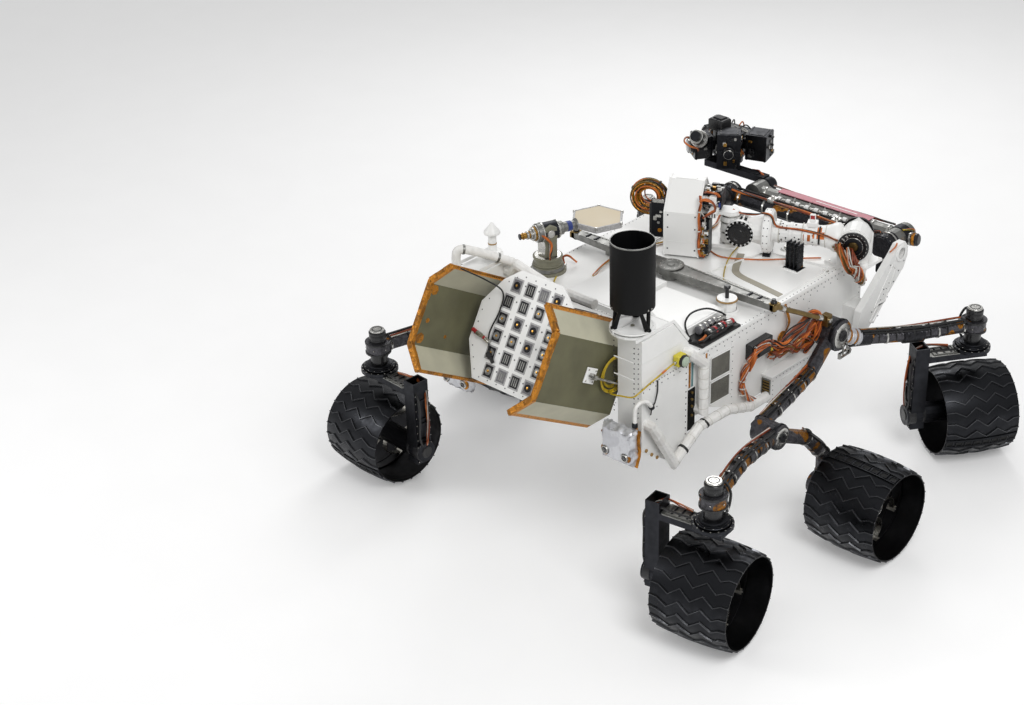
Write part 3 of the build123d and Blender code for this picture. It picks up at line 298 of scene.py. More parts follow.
def make_finishes(look):
    """Every finish on the rover by its short name. Sizes are in millimetres."""
    white, amber = tuple(look.white_paint), tuple(look.film_amber)
    grey = linear("#8f8f8c")
    made = {
        # sprayed white with a faint grey cloud, so broad faces aren't flat
        "white": coat("aluminium_sprayed_white_paint", white, 0.42, 160, 0.07, 0.25),
        # cleaner and smoother than the body, as the top cover is
        "cover": coat("composite_sprayed_white_paint", linear("#f0f0ee"), 0.36, 260, 0.04, 0.15),
        # white cloth wrap, soft and slightly rough
        "pipe_wrap": film(
            "pipe_white_cloth_wrap", linear("#ebeae7"), linear("#dfddd9"), 0.1, 0.0, 0.6, 30, 0.25, 0.12
        ),
        # black anodise that keeps a satin line of light on each edge
        "wheel": metal("aluminium_machined_black_anodised", tuple(look.wheel_black), 0.30, 3, 0.02, 1.5),
        # the treads' tops, lighter than the skin: partly rubbed by the ground, partly a painted highlight on
        # their edges
        "tread": metal("aluminium_tread_anodised_rubbed_and_painted_highlight", linear("#56575a"), 0.30, 3, 0.02, 1.5),
        # the inside of a wheel, duller than its skin
        "wheel_inside": metal("aluminium_turned_black_anodised", linear("#2a2a2c"), 0.42, 2, 0.5, 1.0),
        # bright bent strips
        "spring": metal("titanium_strip_bent_bare", linear("#c2bfb6"), 0.26, 2, 0.05, 1.0),
        # dark machined frames and arm housings
        "dark": metal("aluminium_milled_dark_anodised", linear("#35363a"), 0.38, 2, 0.04),
        # mid grey machined plates
        "grey": metal("aluminium_milled_clear_anodised", grey, 0.40, 2, 0.04),
        # bright turned rings and clamps
        "silver": metal("aluminium_turned_bare", linear("#c9c8c4"), 0.24, 2, 0.3),
        # small screws
        "screw": metal("steel_screw_plated", linear("#a9a7a2"), 0.28, 1, 0.5, 0.3),
        # rivets that read as dark dots on the white skin; the same dark finish is also the painted shade of
        # the mast tube's holes
        "rivet": metal("rivet_pressed_dark_anodised_and_painted_hole_shade", linear("#4a4b50"), 0.42, 1, 0.5, 0.3),
        # rivets on grey metal, a little lighter than it
        "pale_rivet": metal("rivet_pressed_bare", linear("#d6d4ce"), 0.30, 1, 0.5, 0.3),
        # golden connectors and bushes
        "brass": metal("brass_turned_bare", linear("#b58a45"), 0.26, 1, 0.5, 0.8),
        # warm clevises and fittings
        "bronze": metal("bronze_milled_bare", linear("#8a7449"), 0.36, 2, 0.1),
        # smooth black motors and caps
        "black": coat("steel_motor_black_oxide", linear("#1b1b1d"), 0.30, 60, 0.2, 0.12),
        # flat black tube of the upright aerial
        "flat_black": coat("composite_tube_flat_black", linear("#060607"), 0.50, 90, 0.2, 0.3),
        # soft black boots and cable sleeves
        "rubber": coat("rubber_sleeve_moulded_black", linear("#191919"), 0.55, 30, 0.2, 0.5),
        # grey film over the suspension tubes, with amber patches
        "wrap": film("tube_grey_film_wrap", linear("#504f53"), darker(amber, 0.4), 0.03, 0.75, 0.34, 9, 0.8),
        # darker film over the joints of the arms
        "dark_wrap": film(
            "tube_dark_film_wrap", linear("#2b2b2f"), darker(amber, 0.4), 0.0, 0.7, 0.36, 9, 0.7
        ),
        # amber film by itself
        "amber": film("polyimide_film_hand_laid", amber, darker(amber, 0.45), 0.12, 0.55, 0.28, 7, 0.8),
        # silver crumpled blanket
        "blanket": film(
            "blanket_aluminised_cloth_crumpled", linear("#d0d1d5"), linear("#c2c3c8"), 0.1, 0.45, 0.34, 26,
            1.0, 0.2
        ),
        # pale ribbed tubes and cable ties
        "tie": coat("nylon_tie_moulded_white", linear("#d2d0c8"), 0.45, 20, 0.08, 0.2),
        "orange": jacket("wire_jacket_orange_extruded", tuple(look.harness_orange), 0.42, 5),
        "rust": jacket("wire_jacket_rust_extruded", linear("#8c3d1b"), 0.45, 5),
        "yellow": jacket("wire_jacket_yellow_extruded", linear("#c9ab1e"), 0.40, 6),
        "blue": jacket("wire_jacket_blue_extruded", linear("#27408f"), 0.42, 5),
        "black_wire": jacket("wire_jacket_black_extruded", linear("#161617"), 0.40, 6),
        "white_wire": jacket("wire_jacket_white_extruded", linear("#cfccc4"), 0.45, 6),
        # cream face of the flat aerial
        "radome": coat("radome_moulded_cream", linear("#cdbfa3"), 0.50, 110, 0.06, 0.1),
        # tan gaskets
        "gasket": coat("gasket_cut_tan_cork", linear("#a78550"), 0.70, 12, 0.3, 0.8),
        # flat grey-tan band taped to the deck
        "band": coat("deck_band_tape_tan", linear("#a39d8d"), 0.50, 40, 0.15, 0.2),
        # grey-green drum under the flat aerial
        "drum": coat("aluminium_sprayed_grey_green_paint", linear("#7d7b69"), 0.45, 50, 0.2, 0.25),
        # pink cover plate along the forearm
        "pink": coat("plate_sprayed_pink_primer", linear("#c98791"), 0.55, 70, 0.12, 0.3),
        "red": coat("connector_ring_red_anodised", linear("#a3282a"), 0.35, 30, 0.15, 0.1),
        "teal": coat("strip_teal_film", linear("#5f8487"), 0.35, 60, 0.12, 0.1),
        "switch_yellow": coat("switch_box_moulded_yellow", linear("#d3c437"), 0.38, 40, 0.08, 0.2),
        "switch_cap": coat("push_button_moulded_pale_green", linear("#a9b8a4"), 0.30, 30, 0.08, 0.05),
        # black squares on the end plate
        "pad": coat("heater_pad_laminated_black", linear("#222226"), 0.40, 8, 0.5, 0.5),
        "pad_grey": coat("heater_pad_laminated_grey", linear("#77767a"), 0.45, 7, 0.5, 0.5),
        # silvery shadow round each pad
        "halo": coat("foil_tape_burnished_and_painted_pad_shadow", linear("#b2b1b1"), 0.35, 10, 0.3, 0.4),
        # wire mesh windows: the dark between the threads is painted shade of the opening behind
        "grille": mesh_finish("wire_mesh_woven_grey", linear("#3b3a35"), linear("#8b8a80"), 2.4),
        "exchanger": exchanger_finish(
            "panel_sprayed_olive_taped_edges", tuple(look.panel_olive), tuple(look.panel_cream), amber
        ),
        "glass": glass_finish("lens_glass_coated", linear("#141018")),
    }
    # a weak reflection keeps the tube and the end plate's squares a deep black
    for name in ("flat_black", "pad"):
        made[name].node_tree.nodes["Principled BSDF"].inputs["Specular IOR Level"].default_value = 0.2
    return made


FINISH = {}  # every finish by its short name, filled by the operator rover.finishes

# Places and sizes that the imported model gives, in millimetres; the tilt is in degrees
UNIT_ORIGIN, UNIT_TILT = (-1430, 0, 1326), 30.3
EXCHANGER_EDGE, EXCHANGER_TIP = 16, 266
EXCHANGER_LINE = [(302, 260), (398, 162), (398, -152), (298, -259)]
PLATE_LINE = [(212, -222), (300, -60), (300, 130), (214, 262), (130, 330)]
BODY_REAR, BODY_FRONT, BODY_SIDE, BODY_FLOOR = -650, 800, 596, 655
REAR_TAIL, REAR_IN, REAR_OUT, REAR_TOP = -1030, 455, 600, 1340
DECK_TOP = 1108
BAR_X, BAR_TOP = -45, 1174
TALL_AERIAL, ROUND_FITTING, DISH_BASE, DISH_AXIS = (-920, -485), (-150, -440), (-385, 540), 1330
SHOULDER, UPPER_X, FORE_X, ELBOW_Y, ARM_Z = (930, 420), 985, 1130, -610, 1100
TURRET = (1335, 690)
WHEEL_RADIUS = 250
FRONT_AXLE, MIDDLE_AXLE, REAR_AXLE = 1102, -28, -1092
KNUCKLE_Y, MIDDLE_Y = 1106, 1227
ROCKER_PIVOT, BOGIE_PIVOT = (400, 700, 850), (-400, 935, 700)
MEETS = 0.01  # a path whose ends are nearer than this is a closed one

# Wheels and struts: name, side (left is 1), station along the rover, steering angle in degrees
WHEELS = [
    ("lf", 1, FRONT_AXLE, 50), ("rf", -1, FRONT_AXLE, 55), ("lm", 1, MIDDLE_AXLE, 0),
    ("rm", -1, MIDDLE_AXLE, 0), ("lr", 1, REAR_AXLE, -3), ("rr", -1, REAR_AXLE, 9)]


def smoothed(points, steps=6):
    """Points on an even curve through the given ones, for wires and bent tubes."""
    points = [Vector(p) for p in points]
    ends = [points[0] * 2 - points[1]] + points + [points[-1] * 2 - points[-2]]
    line = []
    for a, b, c, d in zip(ends, ends[1:], ends[2:], ends[3:]):
        for step in range(steps):
            t = step / steps
            line.append(0.5 * (
                2 * b + (c - a) * t + (2 * a - 5 * b + 4 * c - d) * t * t + (3 * b - a - 3 * c + d) * t ** 3))
    return line + [points[-1]]


def facing(origin, axis, across=None):
    """A frame whose Z runs along axis and whose X is as near to across as it can be."""
    z = Vector(axis).normalized()
    x = Vector(across) if across else (X if abs(z.x) < 0.9 else Y)
    x = (x - z * x.dot(z)).normalized()
    y = z.cross(x)
    turn = Matrix((x, y, z)).transposed().to_4x4()
    return Matrix.Translation(Vector(origin)) @ turn


def raised(at, height):
    """A frame moved along its own Z."""
    return at @ Matrix.Translation((0, 0, height))


def aimed(at, way):
    """A direction given in a frame, in the rover's own frame."""
    return at.to_3x3() @ Vector(way)


def placed(at, points):
    """Points given in a frame, in the rover's own frame."""
    return [at @ Vector(p) for p in points]


class Piece:
    """One mesh in the making, in millimetres in the rover's frame, with a finish on every face."""

    def __init__(self):
        self.points, self.faces, self.finishes, self.face_finish = [], [], [], []

    def patch(self, finish, points, faces, at=None):
        """Adds a shape's points and faces, placed by a frame."""
        base = len(self.points)
        self.points += [(at @ Vector(p)) if at else Vector(p) for p in points]
        self.faces += [tuple(base + i for i in face) for face in faces]
        if finish not in self.finishes:
            self.finishes.append(finish)
        self.face_finish += [self.finishes.index(finish)] * len(faces)

    def box(self, finish, low, high, at=None, edge=1.5):
        """A block with chamfered edges."""
        half = [(h - l) / 2 for l, h in zip(low, high)]
        mid = [(h + l) / 2 for l, h in zip(low, high)]
        edge = min(edge, *(h * 0.45 for h in half))
        points, index = [], {}
        for sx in (-1, 1):
            for sy in (-1, 1):
                for sz in (-1, 1):
                    for face in range(3):
                        signs = (sx, sy, sz)
                        spot = [
                            s * (h if axis == face else h - edge)
                            for axis, (s, h) in enumerate(zip(signs, half))]
                        index[signs, face] = len(points)
                        points.append([m + s for m, s in zip(mid, spot)])
        faces = []
        for axis in range(3):
            u, v = [a for a in range(3) if a != axis]
            for s in (-1, 1):
                ring = []
                for su, sv in ((-1, -1), (1, -1), (1, 1), (-1, 1)):
                    signs = [0, 0, 0]
                    signs[axis], signs[u], signs[v] = s, su, sv
                    ring.append(index[tuple(signs), axis])
                faces.append(ring)
            for su in (-1, 1):
                for sv in (-1, 1):
                    ring = []
                    for s, which in ((-1, u), (1, u), (1, v), (-1, v)):
                        signs = [0, 0, 0]
                        signs[axis], signs[u], signs[v] = s, su, sv
                        ring.append(index[tuple(signs), which])
                    faces.append(ring)
        for sx in (-1, 1):
            for sy in (-1, 1):
                for sz in (-1, 1):
                    faces.append([index[(sx, sy, sz), face] for face in range(3)])
        self.patch(finish, points, faces, at)

    def turn(self, finish, profile, at=None, sides=32, start=0.0, sweep=360.0):
        """A profile of (radius, height) turned about the frame's Z."""
        whole = sweep >= 360
        count = sides if whole else sides + 1
        points, rows = [], []
        for radius, height in profile:
            if radius == 0:
                rows.append([len(points)] * count)
                points.append((0, 0, height))
                continue
            rows.append(list(range(len(points), len(points) + count)))
            for i in range(count):
                angle = radians(start + sweep * i / sides)
                points.append((radius * cos(angle), radius * sin(angle), height))
        faces = []
        for low, high in zip(rows, rows[1:]):
            for i in range(sides):
                j = (i + 1) % count
                ring = [low[i], low[j], high[j], high[i]]
                ring = [k for n, k in enumerate(ring) if k not in ring[:n]]
                if len(ring) > 2:
                    faces.append(ring)
        self.patch(finish, points, faces, at)

    def band(self, finish, inner, outer, low, high, at, sides):
        """A ring that sits on a shaft, both its outer edges broken by 1 mm."""
        self.turn(finish, [(inner, low), (outer, low + 1), (outer, high - 1), (inner, high)], at, sides)

    def hoop(self, finish, inner, outer, half, at, sides):
        """A flat ring with an inside too, such as a cable tie, half as wide each way from its middle."""
        self.turn(finish, [
            (inner, -half), (outer, -half), (outer, half), (inner, half), (inner, -half)], at, sides)

    def drum(self, finish, radius, low, high, edge, at, sides):
        """A closed drum with both edges broken."""
        self.turn(finish, [
            (0, low), (radius - edge, low), (radius, low + edge), (radius, high - edge),
            (radius - edge, high), (0, high)], at, sides)

    def stud(self, finish, radius, foot, rim, top, at, sides):
        """A rod or disc whose middle may stand above its rim."""
        self.turn(finish, [(0, foot), (radius, foot), (radius, rim), (0, top)], at, sides)

    def plug(self, finish, wide, narrow, heights, at, sides):
        """A round plug that narrows over its shoulder. heights: of its foot, its shoulder and its top."""
        foot, shoulder, top = heights
        self.turn(finish, [(0, foot), (wide, foot), (wide, shoulder), (narrow, top), (0, top)], at, sides)

    def plate(self, finish, outline, low, high, at=None, edge=1.0):
        """An outline in the frame's XY, thick from low to high, its upper edge chamfered."""
        spots = [Vector(p) for p in outline]
        area = sum(a.x * b.y - b.x * a.y for a, b in zip(spots, spots[1:] + spots[:1]))
        if area < 0:
            spots.reverse()
        inner = []
        for before, here, after in zip(spots[-1:] + spots[:-1], spots, spots[1:] + spots[:1]):
            a, b = (here - before).normalized(), (after - here).normalized()
            inward = Vector((-a.y - b.y, a.x + b.x)).normalized()
            inner.append(here + inward * edge / max(0.3, inward.dot(Vector((-a.y, a.x)))))
        count = len(spots)
        points = [(p.x, p.y, low) for p in spots] + [(p.x, p.y, high - edge) for p in spots]
        points += [(p.x, p.y, high) for p in inner]
        faces = [list(range(count))[::-1], [2 * count + i for i in range(count)]]
        for i in range(count):
            j = (i + 1) % count
            faces.append([i, j, count + j, count + i])
            faces.append([count + i, count + j, 2 * count + j, 2 * count + i])
        self.patch(finish, points, faces, at)

    def ring(self, finish, outline, width, low, high, at=None):
        """A flat frame inside a convex outline, as round a window."""
        spots = [Vector(p) for p in outline]
        centre = sum(spots, Vector((0, 0))) / len(spots)
        inner = [p - (p - centre).normalized() * width * 1.3 for p in spots]
        count = len(spots)
        points = [(p.x, p.y, z) for z in (low, high) for p in spots]
        points += [(p.x, p.y, z) for z in (low, high) for p in inner]
        faces = []
        for i in range(count):
            j = (i + 1) % count
            faces.append([i, j, count + j, count + i])
            faces.append([count + i, count + j, 3 * count + j, 3 * count + i])
            faces.append([3 * count + i, 3 * count + j, 2 * count + j, 2 * count + i])
            faces.append([2 * count + i, 2 * count + j, j, i])
        self.patch(finish, points, faces, at)

    def sweep(self, finish, path, radius, sides=10, section=None, at=None, across=None):
        """A round or given section carried along a path without twist; a closed path has no end caps."""
        path = [Vector(p) for p in path]
        closed = (path[0] - path[-1]).length < MEETS
        if closed:
            path.pop()
        loop = section or [(
            radius * cos(2 * pi * i / sides), radius * sin(2 * pi * i / sides)) for i in range(sides)]
        count, last = len(loop), len(path) - 1
        points, faces = [], []
        for n, spot in enumerate(path):
            before = path[n - 1 if closed else max(n - 1, 0)]
            after = path[(n + 1) % len(path) if closed else min(n + 1, last)]
            ahead = (after - before).normalized()
            if across is None:
                across = X if abs(ahead.x) < 0.8 else Z
            across = (across - ahead * across.dot(ahead)).normalized()
            up = ahead.cross(across)
            points += [spot + across * u + up * v for u, v in loop]
        for n in range(len(path) if closed else last):
            follow = (n + 1) % len(path)
            for i in range(count):
                j = (i + 1) % count
                faces.append([n * count + i, n * count + j, follow * count + j, follow * count + i])
        if not closed:
            faces.append(list(range(count))[::-1])
            faces.append([last * count + i for i in range(count)])
        self.patch(finish, points, faces, at)

    def wire(self, finish, points, radius=3.5, steps=5, sides=7):
        """A wire that bends evenly through its points."""
        self.sweep(finish, smoothed(points, steps), radius, sides)

    def bundle(self, finishes, points, count, spread, radius, seed=1, steps=4):
        """Loose wires side by side that cross over each other along one path."""
        chance = random.Random(seed)
        line = smoothed(points, steps)
        for strand in range(count):
            turn, pitch = chance.uniform(0, 2 * pi), chance.uniform(0.15, 0.5)
            reach = spread * chance.uniform(0.3, 1.0)
            path = []
            for n, spot in enumerate(line):
                ahead = (line[min(n + 1, len(line) - 1)] - line[max(n - 1, 0)]).normalized()
                side = ahead.cross(Z if abs(ahead.z) < 0.9 else X).normalized()
                angle = turn + pitch * n
                path.append(spot + reach * (side * cos(angle) + ahead.cross(side) * sin(angle)))
            self.sweep(finishes[strand % len(finishes)], path, radius, 6)

    def bare(self):
        """The shape so far as a mesh in metres, for a tree to copy."""
        mesh = bpy.data.meshes.new("source")
        mesh.from_pydata([tuple(p * MM) for p in self.points], [], self.faces)
        return mesh

    def finish(self, name, body, *replaced, smooth=32.0):
        """Makes the object, with its faces outward, and hands it to the frame."""
        mesh = bpy.data.meshes.new(name)
        mesh.from_pydata([tuple(p * MM) for p in self.points], [], self.faces)
        for finish in self.finishes:
            mesh.materials.append(FINISH[finish])
        mesh.polygons.foreach_set("material_index", self.face_finish)
        shape = bmesh.new()
        shape.from_mesh(mesh)
        bmesh.ops.remove_doubles(shape, verts=shape.verts, dist=0.00002)
        bmesh.ops.recalc_face_normals(shape, faces=shape.faces)
        shape.to_mesh(mesh)
        shape.free()
        return settle(mesh, name, body, replaced, smooth)


def settle(mesh, name, body, replaced=(), smooth=32.0):
    """Puts a finished mesh in the scene at the origin, shades it and ties it to its body."""
    mesh.polygons.foreach_set("use_smooth", [True] * len(mesh.polygons))
    mesh.set_sharp_from_angle(angle=radians(smooth))
    made = bpy.data.objects.new(name, mesh)
    bpy.context.scene.collection.objects.link(made)
    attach(made, body)
    if replaced:
        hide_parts(*replaced)
    return made


def rectangle(x0, y0, x1, y1):
    """Corners of a rectangle between two opposite corners, in order round it."""
    return [(x0, y0), (x1, y0), (x1, y1), (x0, y1)]


def circle(radius, sides, start=0.0):
    """Corners of a regular outline."""
    return [(
        radius * cos(radians(start) + 2 * pi * i / sides),
        radius * sin(radians(start) + 2 * pi * i / sides)) for i in range(sides)]


# Geometry Nodes trees for what repeats

def start_tree(name, inputs):
    """A new tree with its named inputs: returns the tree, its input node and the sockets' identifiers."""
    tree = bpy.data.node_groups.new(name, "GeometryNodeTree")
    tree.interface.new_socket("Geometry", in_out="INPUT", socket_type="NodeSocketGeometry")
    sockets = {}
    for label, kind, value in inputs:
        socket = tree.interface.new_socket(label, in_out="INPUT", socket_type=kind)
        if value is not None:
            socket.default_value = value
        sockets[label] = socket.identifier
    tree.interface.new_socket("Geometry", in_out="OUTPUT", socket_type="NodeSocketGeometry")
    return tree, add(tree, "NodeGroupInput"), sockets


def end_tree(tree, entry, instances):
    """Ends a tree: the instances are made real and get their finish."""
    real = add(tree, "GeometryNodeRealizeInstances", {"Geometry": instances}).outputs[0]
    dressed = add(tree, "GeometryNodeSetMaterial", {
        "Geometry": real, "Material": entry.outputs["Finish"]}).outputs[0]
    add(tree, "NodeGroupOutput", {"Geometry": dressed})


def fastener_tree():
    """A low domed head on every point, square to the point's own direction and as wide as its size."""
    tree, entry, sockets = start_tree("Fasteners", [
        ("Finish", "NodeSocketMaterial", None), ("Sides", "NodeSocketInt", 8),
        ("Height", "NodeSocketFloat", 0.45)])
    head = add(tree, "GeometryNodeMeshCone", {
        "Vertices": entry.outputs["Sides"], "Radius Top": 0.62, "Radius Bottom": 1.0,
        "Depth": entry.outputs["Height"]})
    way = add(
        tree, "GeometryNodeInputNamedAttribute", {"Name": "way"},
        data_type="FLOAT_VECTOR").outputs["Attribute"]
    size = add(
        tree, "GeometryNodeInputNamedAttribute", {"Name": "size"}, data_type="FLOAT").outputs["Attribute"]
    turn = add(tree, "FunctionNodeAlignRotationToVector", {"Vector": way}, axis="Z").outputs["Rotation"]
    heads = add(tree, "GeometryNodeInstanceOnPoints", {
        "Points": entry.outputs["Geometry"], "Instance": head.outputs["Mesh"], "Rotation": turn,
        "Scale": size})
    end_tree(tree, entry, heads.outputs["Instances"])
    return tree, sockets


def round_tree():
    """Copies of a shape turned about Z at even steps, such as treads on a rim or fins on a case."""
    tree, entry, sockets = start_tree("Round", [
        ("Finish", "NodeSocketMaterial", None), ("Count", "NodeSocketInt", 8),
        ("Step", "NodeSocketFloat", 0.785)])
    line = add(tree, "GeometryNodeMeshLine", {
        "Count": entry.outputs["Count"], "Offset": (0, 0, 0)}).outputs["Mesh"]
    index = add(tree, "GeometryNodeInputIndex").outputs[0]
    angle = worked(tree, "MULTIPLY", index, entry.outputs["Step"])
    turn = add(tree, "ShaderNodeCombineXYZ", {"Z": angle}).outputs[0]
    copies = add(tree, "GeometryNodeInstanceOnPoints", {
        "Points": line, "Instance": entry.outputs["Geometry"], "Rotation": turn})
    end_tree(tree, entry, copies.outputs["Instances"])
    return tree, sockets


def row_tree():
    """Copies of a shape in one row at even steps, such as the slats of a vent."""
    tree, entry, sockets = start_tree("Rows", [
        ("Finish", "NodeSocketMaterial", None), ("Count", "NodeSocketInt", 8),
        ("Step", "NodeSocketVector", (0, 0, 0))])
    line = add(tree, "GeometryNodeMeshLine", {
        "Count": entry.outputs["Count"], "Offset": entry.outputs["Step"]}).outputs["Mesh"]
    copies = add(tree, "GeometryNodeInstanceOnPoints", {
        "Points": line, "Instance": entry.outputs["Geometry"]})
    end_tree(tree, entry, copies.outputs["Instances"])
    return tree, sockets


def clamp_tree():
    """Rings at even spacing along a path, square to it, such as clamps and ties on a tube."""
    tree, entry, sockets = start_tree("Clamps", [
        ("Finish", "NodeSocketMaterial", None), ("Spacing", "NodeSocketFloat", 0.1),
        ("Radius", "NodeSocketFloat", 0.04), ("Width", "NodeSocketFloat", 0.012)])
    path = add(tree, "GeometryNodeMeshToCurve", {"Mesh": entry.outputs["Geometry"]}).outputs["Curve"]
    spots = add(
        tree, "GeometryNodeCurveToPoints", {"Curve": path, "Length": entry.outputs["Spacing"]}, mode="LENGTH")
    band = add(tree, "GeometryNodeMeshCylinder", {
        "Vertices": 24, "Radius": entry.outputs["Radius"], "Depth": entry.outputs["Width"]}).outputs["Mesh"]
    rings = add(tree, "GeometryNodeInstanceOnPoints", {
        "Points": spots.outputs["Points"], "Instance": band, "Rotation": spots.outputs["Rotation"]})
    end_tree(tree, entry, rings.outputs["Instances"])
    return tree, sockets


TREES = {}  # the trees by name, filled by the operator rover.finishes


def grown(name, source, kind, finish, **values):
    """Runs a tree on a source mesh and returns the plain mesh it makes."""
    tree, sockets = TREES[kind]
    holder = bpy.data.objects.new(name, source)
    bpy.context.scene.collection.objects.link(holder)
    modifier = holder.modifiers.new(kind, "NODES")
    modifier.node_group = tree
    modifier[sockets["Finish"]] = FINISH[finish]
    for label, value in values.items():
        modifier[sockets[label]] = value
    graph = bpy.context.evaluated_depsgraph_get()
    mesh = bpy.data.meshes.new_from_object(holder.evaluated_get(graph))
    bpy.data.objects.remove(holder)
    mesh.name = name
    return mesh


def fasteners(name, body, finish, heads, sides=8, height=0.45):
    """Screws or rivets on one body, or flat dark discs painted as the shade of holes. heads: place in mm, the
    way it faces, radius in mm.
    """
    source = bpy.data.meshes.new(name)
    source.from_pydata([tuple(Vector(place) * MM) for place, way, size in heads], [], [])
    ways = source.attributes.new("way", "FLOAT_VECTOR", "POINT")
    ways.data.foreach_set("vector", [c for place, way, size in heads for c in way])
    sizes = source.attributes.new("size", "FLOAT", "POINT")
    sizes.data.foreach_set("value", [size * MM for place, way, size in heads])
    mesh = grown(name, source, "fasteners", finish, Sides=sides, Height=height)
    return settle(mesh, name, body, smooth=25.0)


def rivet_sizes(look):
    """The rivets' pitch and the radius of their heads, in mm."""
    return look.rivet_pitch / MM, look.rivet_head / MM / 2


def seam(start, end, way, pitch, radius):
    """Heads in a straight row from start to end."""
    start, end = Vector(start), Vector(end)
    count = max(1, round((end - start).length / pitch))
    return [(start + (end - start) * (i + 0.5) / count, way, radius) for i in range(count)]


def head_round(at, ring, angle, height, radius):
    """One head on a cylinder round a frame's Z, square to its side."""
    out = (cos(angle), sin(angle), 0)
    return at @ Vector((ring * out[0], ring * out[1], height)), aimed(at, out), radius


def circle_of_heads(at, ring, count, radius, start=0.0):
    """Heads in a circle round a frame's Z, which is also the way they face."""
    way = aimed(at, Z).normalized()
    return [(at @ Vector((x, y, 0)), way, radius) for x, y in circle(ring, count, start)]


def clamps(name, body, finish, path, radius, spacing, width):
    """Clamps along a path of points in mm."""
    source = bpy.data.meshes.new(name)
    spots = [tuple(Vector(p) * MM) for p in path]
    source.from_pydata(spots, [(i, i + 1) for i in range(len(spots) - 1)], [])
    mesh = grown(name, source, "clamps", finish, Spacing=spacing * MM, Radius=radius * MM, Width=width * MM)
    return settle(mesh, name, body)


# The rolling gear

WHEEL_SKIN = 243.0
WHEEL_HALF = 200  # half the wheel's width
CROWN = 14.0  # how much lower the skin is at the wheel's sides
BAND_ANGLE = {"lf": 60, "rf": 200, "lm": 90, "rm": 100, "lr": 150, "rr": 20}
HUB_RADIUS, RIM_INSIDE = 58, 236  # where a flexure starts and ends
FLEXURE_BOW, FLEXURE_LEAN = 0.42, 0.10  # how far it swings out between them and by its end, in radians
ZIGZAG = [
    (-200, -6), (-156, -6), (-100, 21), (-44, -21), (16, 21), (74, -21), (130, 16), (164, -2), (200, -2)]


def wheel_place(side, station, angle, middle):
    """The wheel's own frame: Z outboard along the axle, X along the wheel's heading."""
    a = radians(angle)
    y = side * (MIDDLE_Y if middle else KNUCKLE_Y)
    outboard = Vector((-side * sin(a), side * cos(a), 0))
    return facing((station, y, WHEEL_RADIUS), outboard, (cos(a), sin(a), 0))


def on_rim(radius, z, shift, angle=0.0):
    """A point on the wheel's crowned skin, shift mm round it from an angle."""
    here = radius - CROWN * (z / WHEEL_HALF) ** 2
    turn = radians(angle) + shift / WHEEL_SKIN
    return Vector((here * cos(turn), here * sin(turn), z))


def grouser_mesh(height):
    """One zigzag tread on the skin at angle 0, in metres."""
    line = []
    for (z0, s0), (z1, s1) in zip(ZIGZAG, ZIGZAG[1:]):
        for step in range(3):
            t = step / 3
            line.append((z0 + (z1 - z0) * t, s0 + (s1 - s0) * t))
    line.append(ZIGZAG[-1])
    points, faces = [], []
    for z, shift in line:
        for radius, off in (
                (WHEEL_SKIN - 2, -4.5), (WHEEL_SKIN + height, -2), (WHEEL_SKIN + height, 2),
                (WHEEL_SKIN - 2, 4.5)):
            points.append(tuple(on_rim(radius, z, shift + off) * MM))
    for n in range(len(line) - 1):
        for i in range(3):
            a, b = 4 * n + i, 4 * n + i + 1
            faces.append((a, a + 4, b + 4, b))
    faces += [(0, 1, 2, 3), tuple(4 * len(line) - 1 - i for i in range(4))]
    mesh = bpy.data.meshes.new("grouser")
    mesh.from_pydata(points, [], faces)
    return mesh


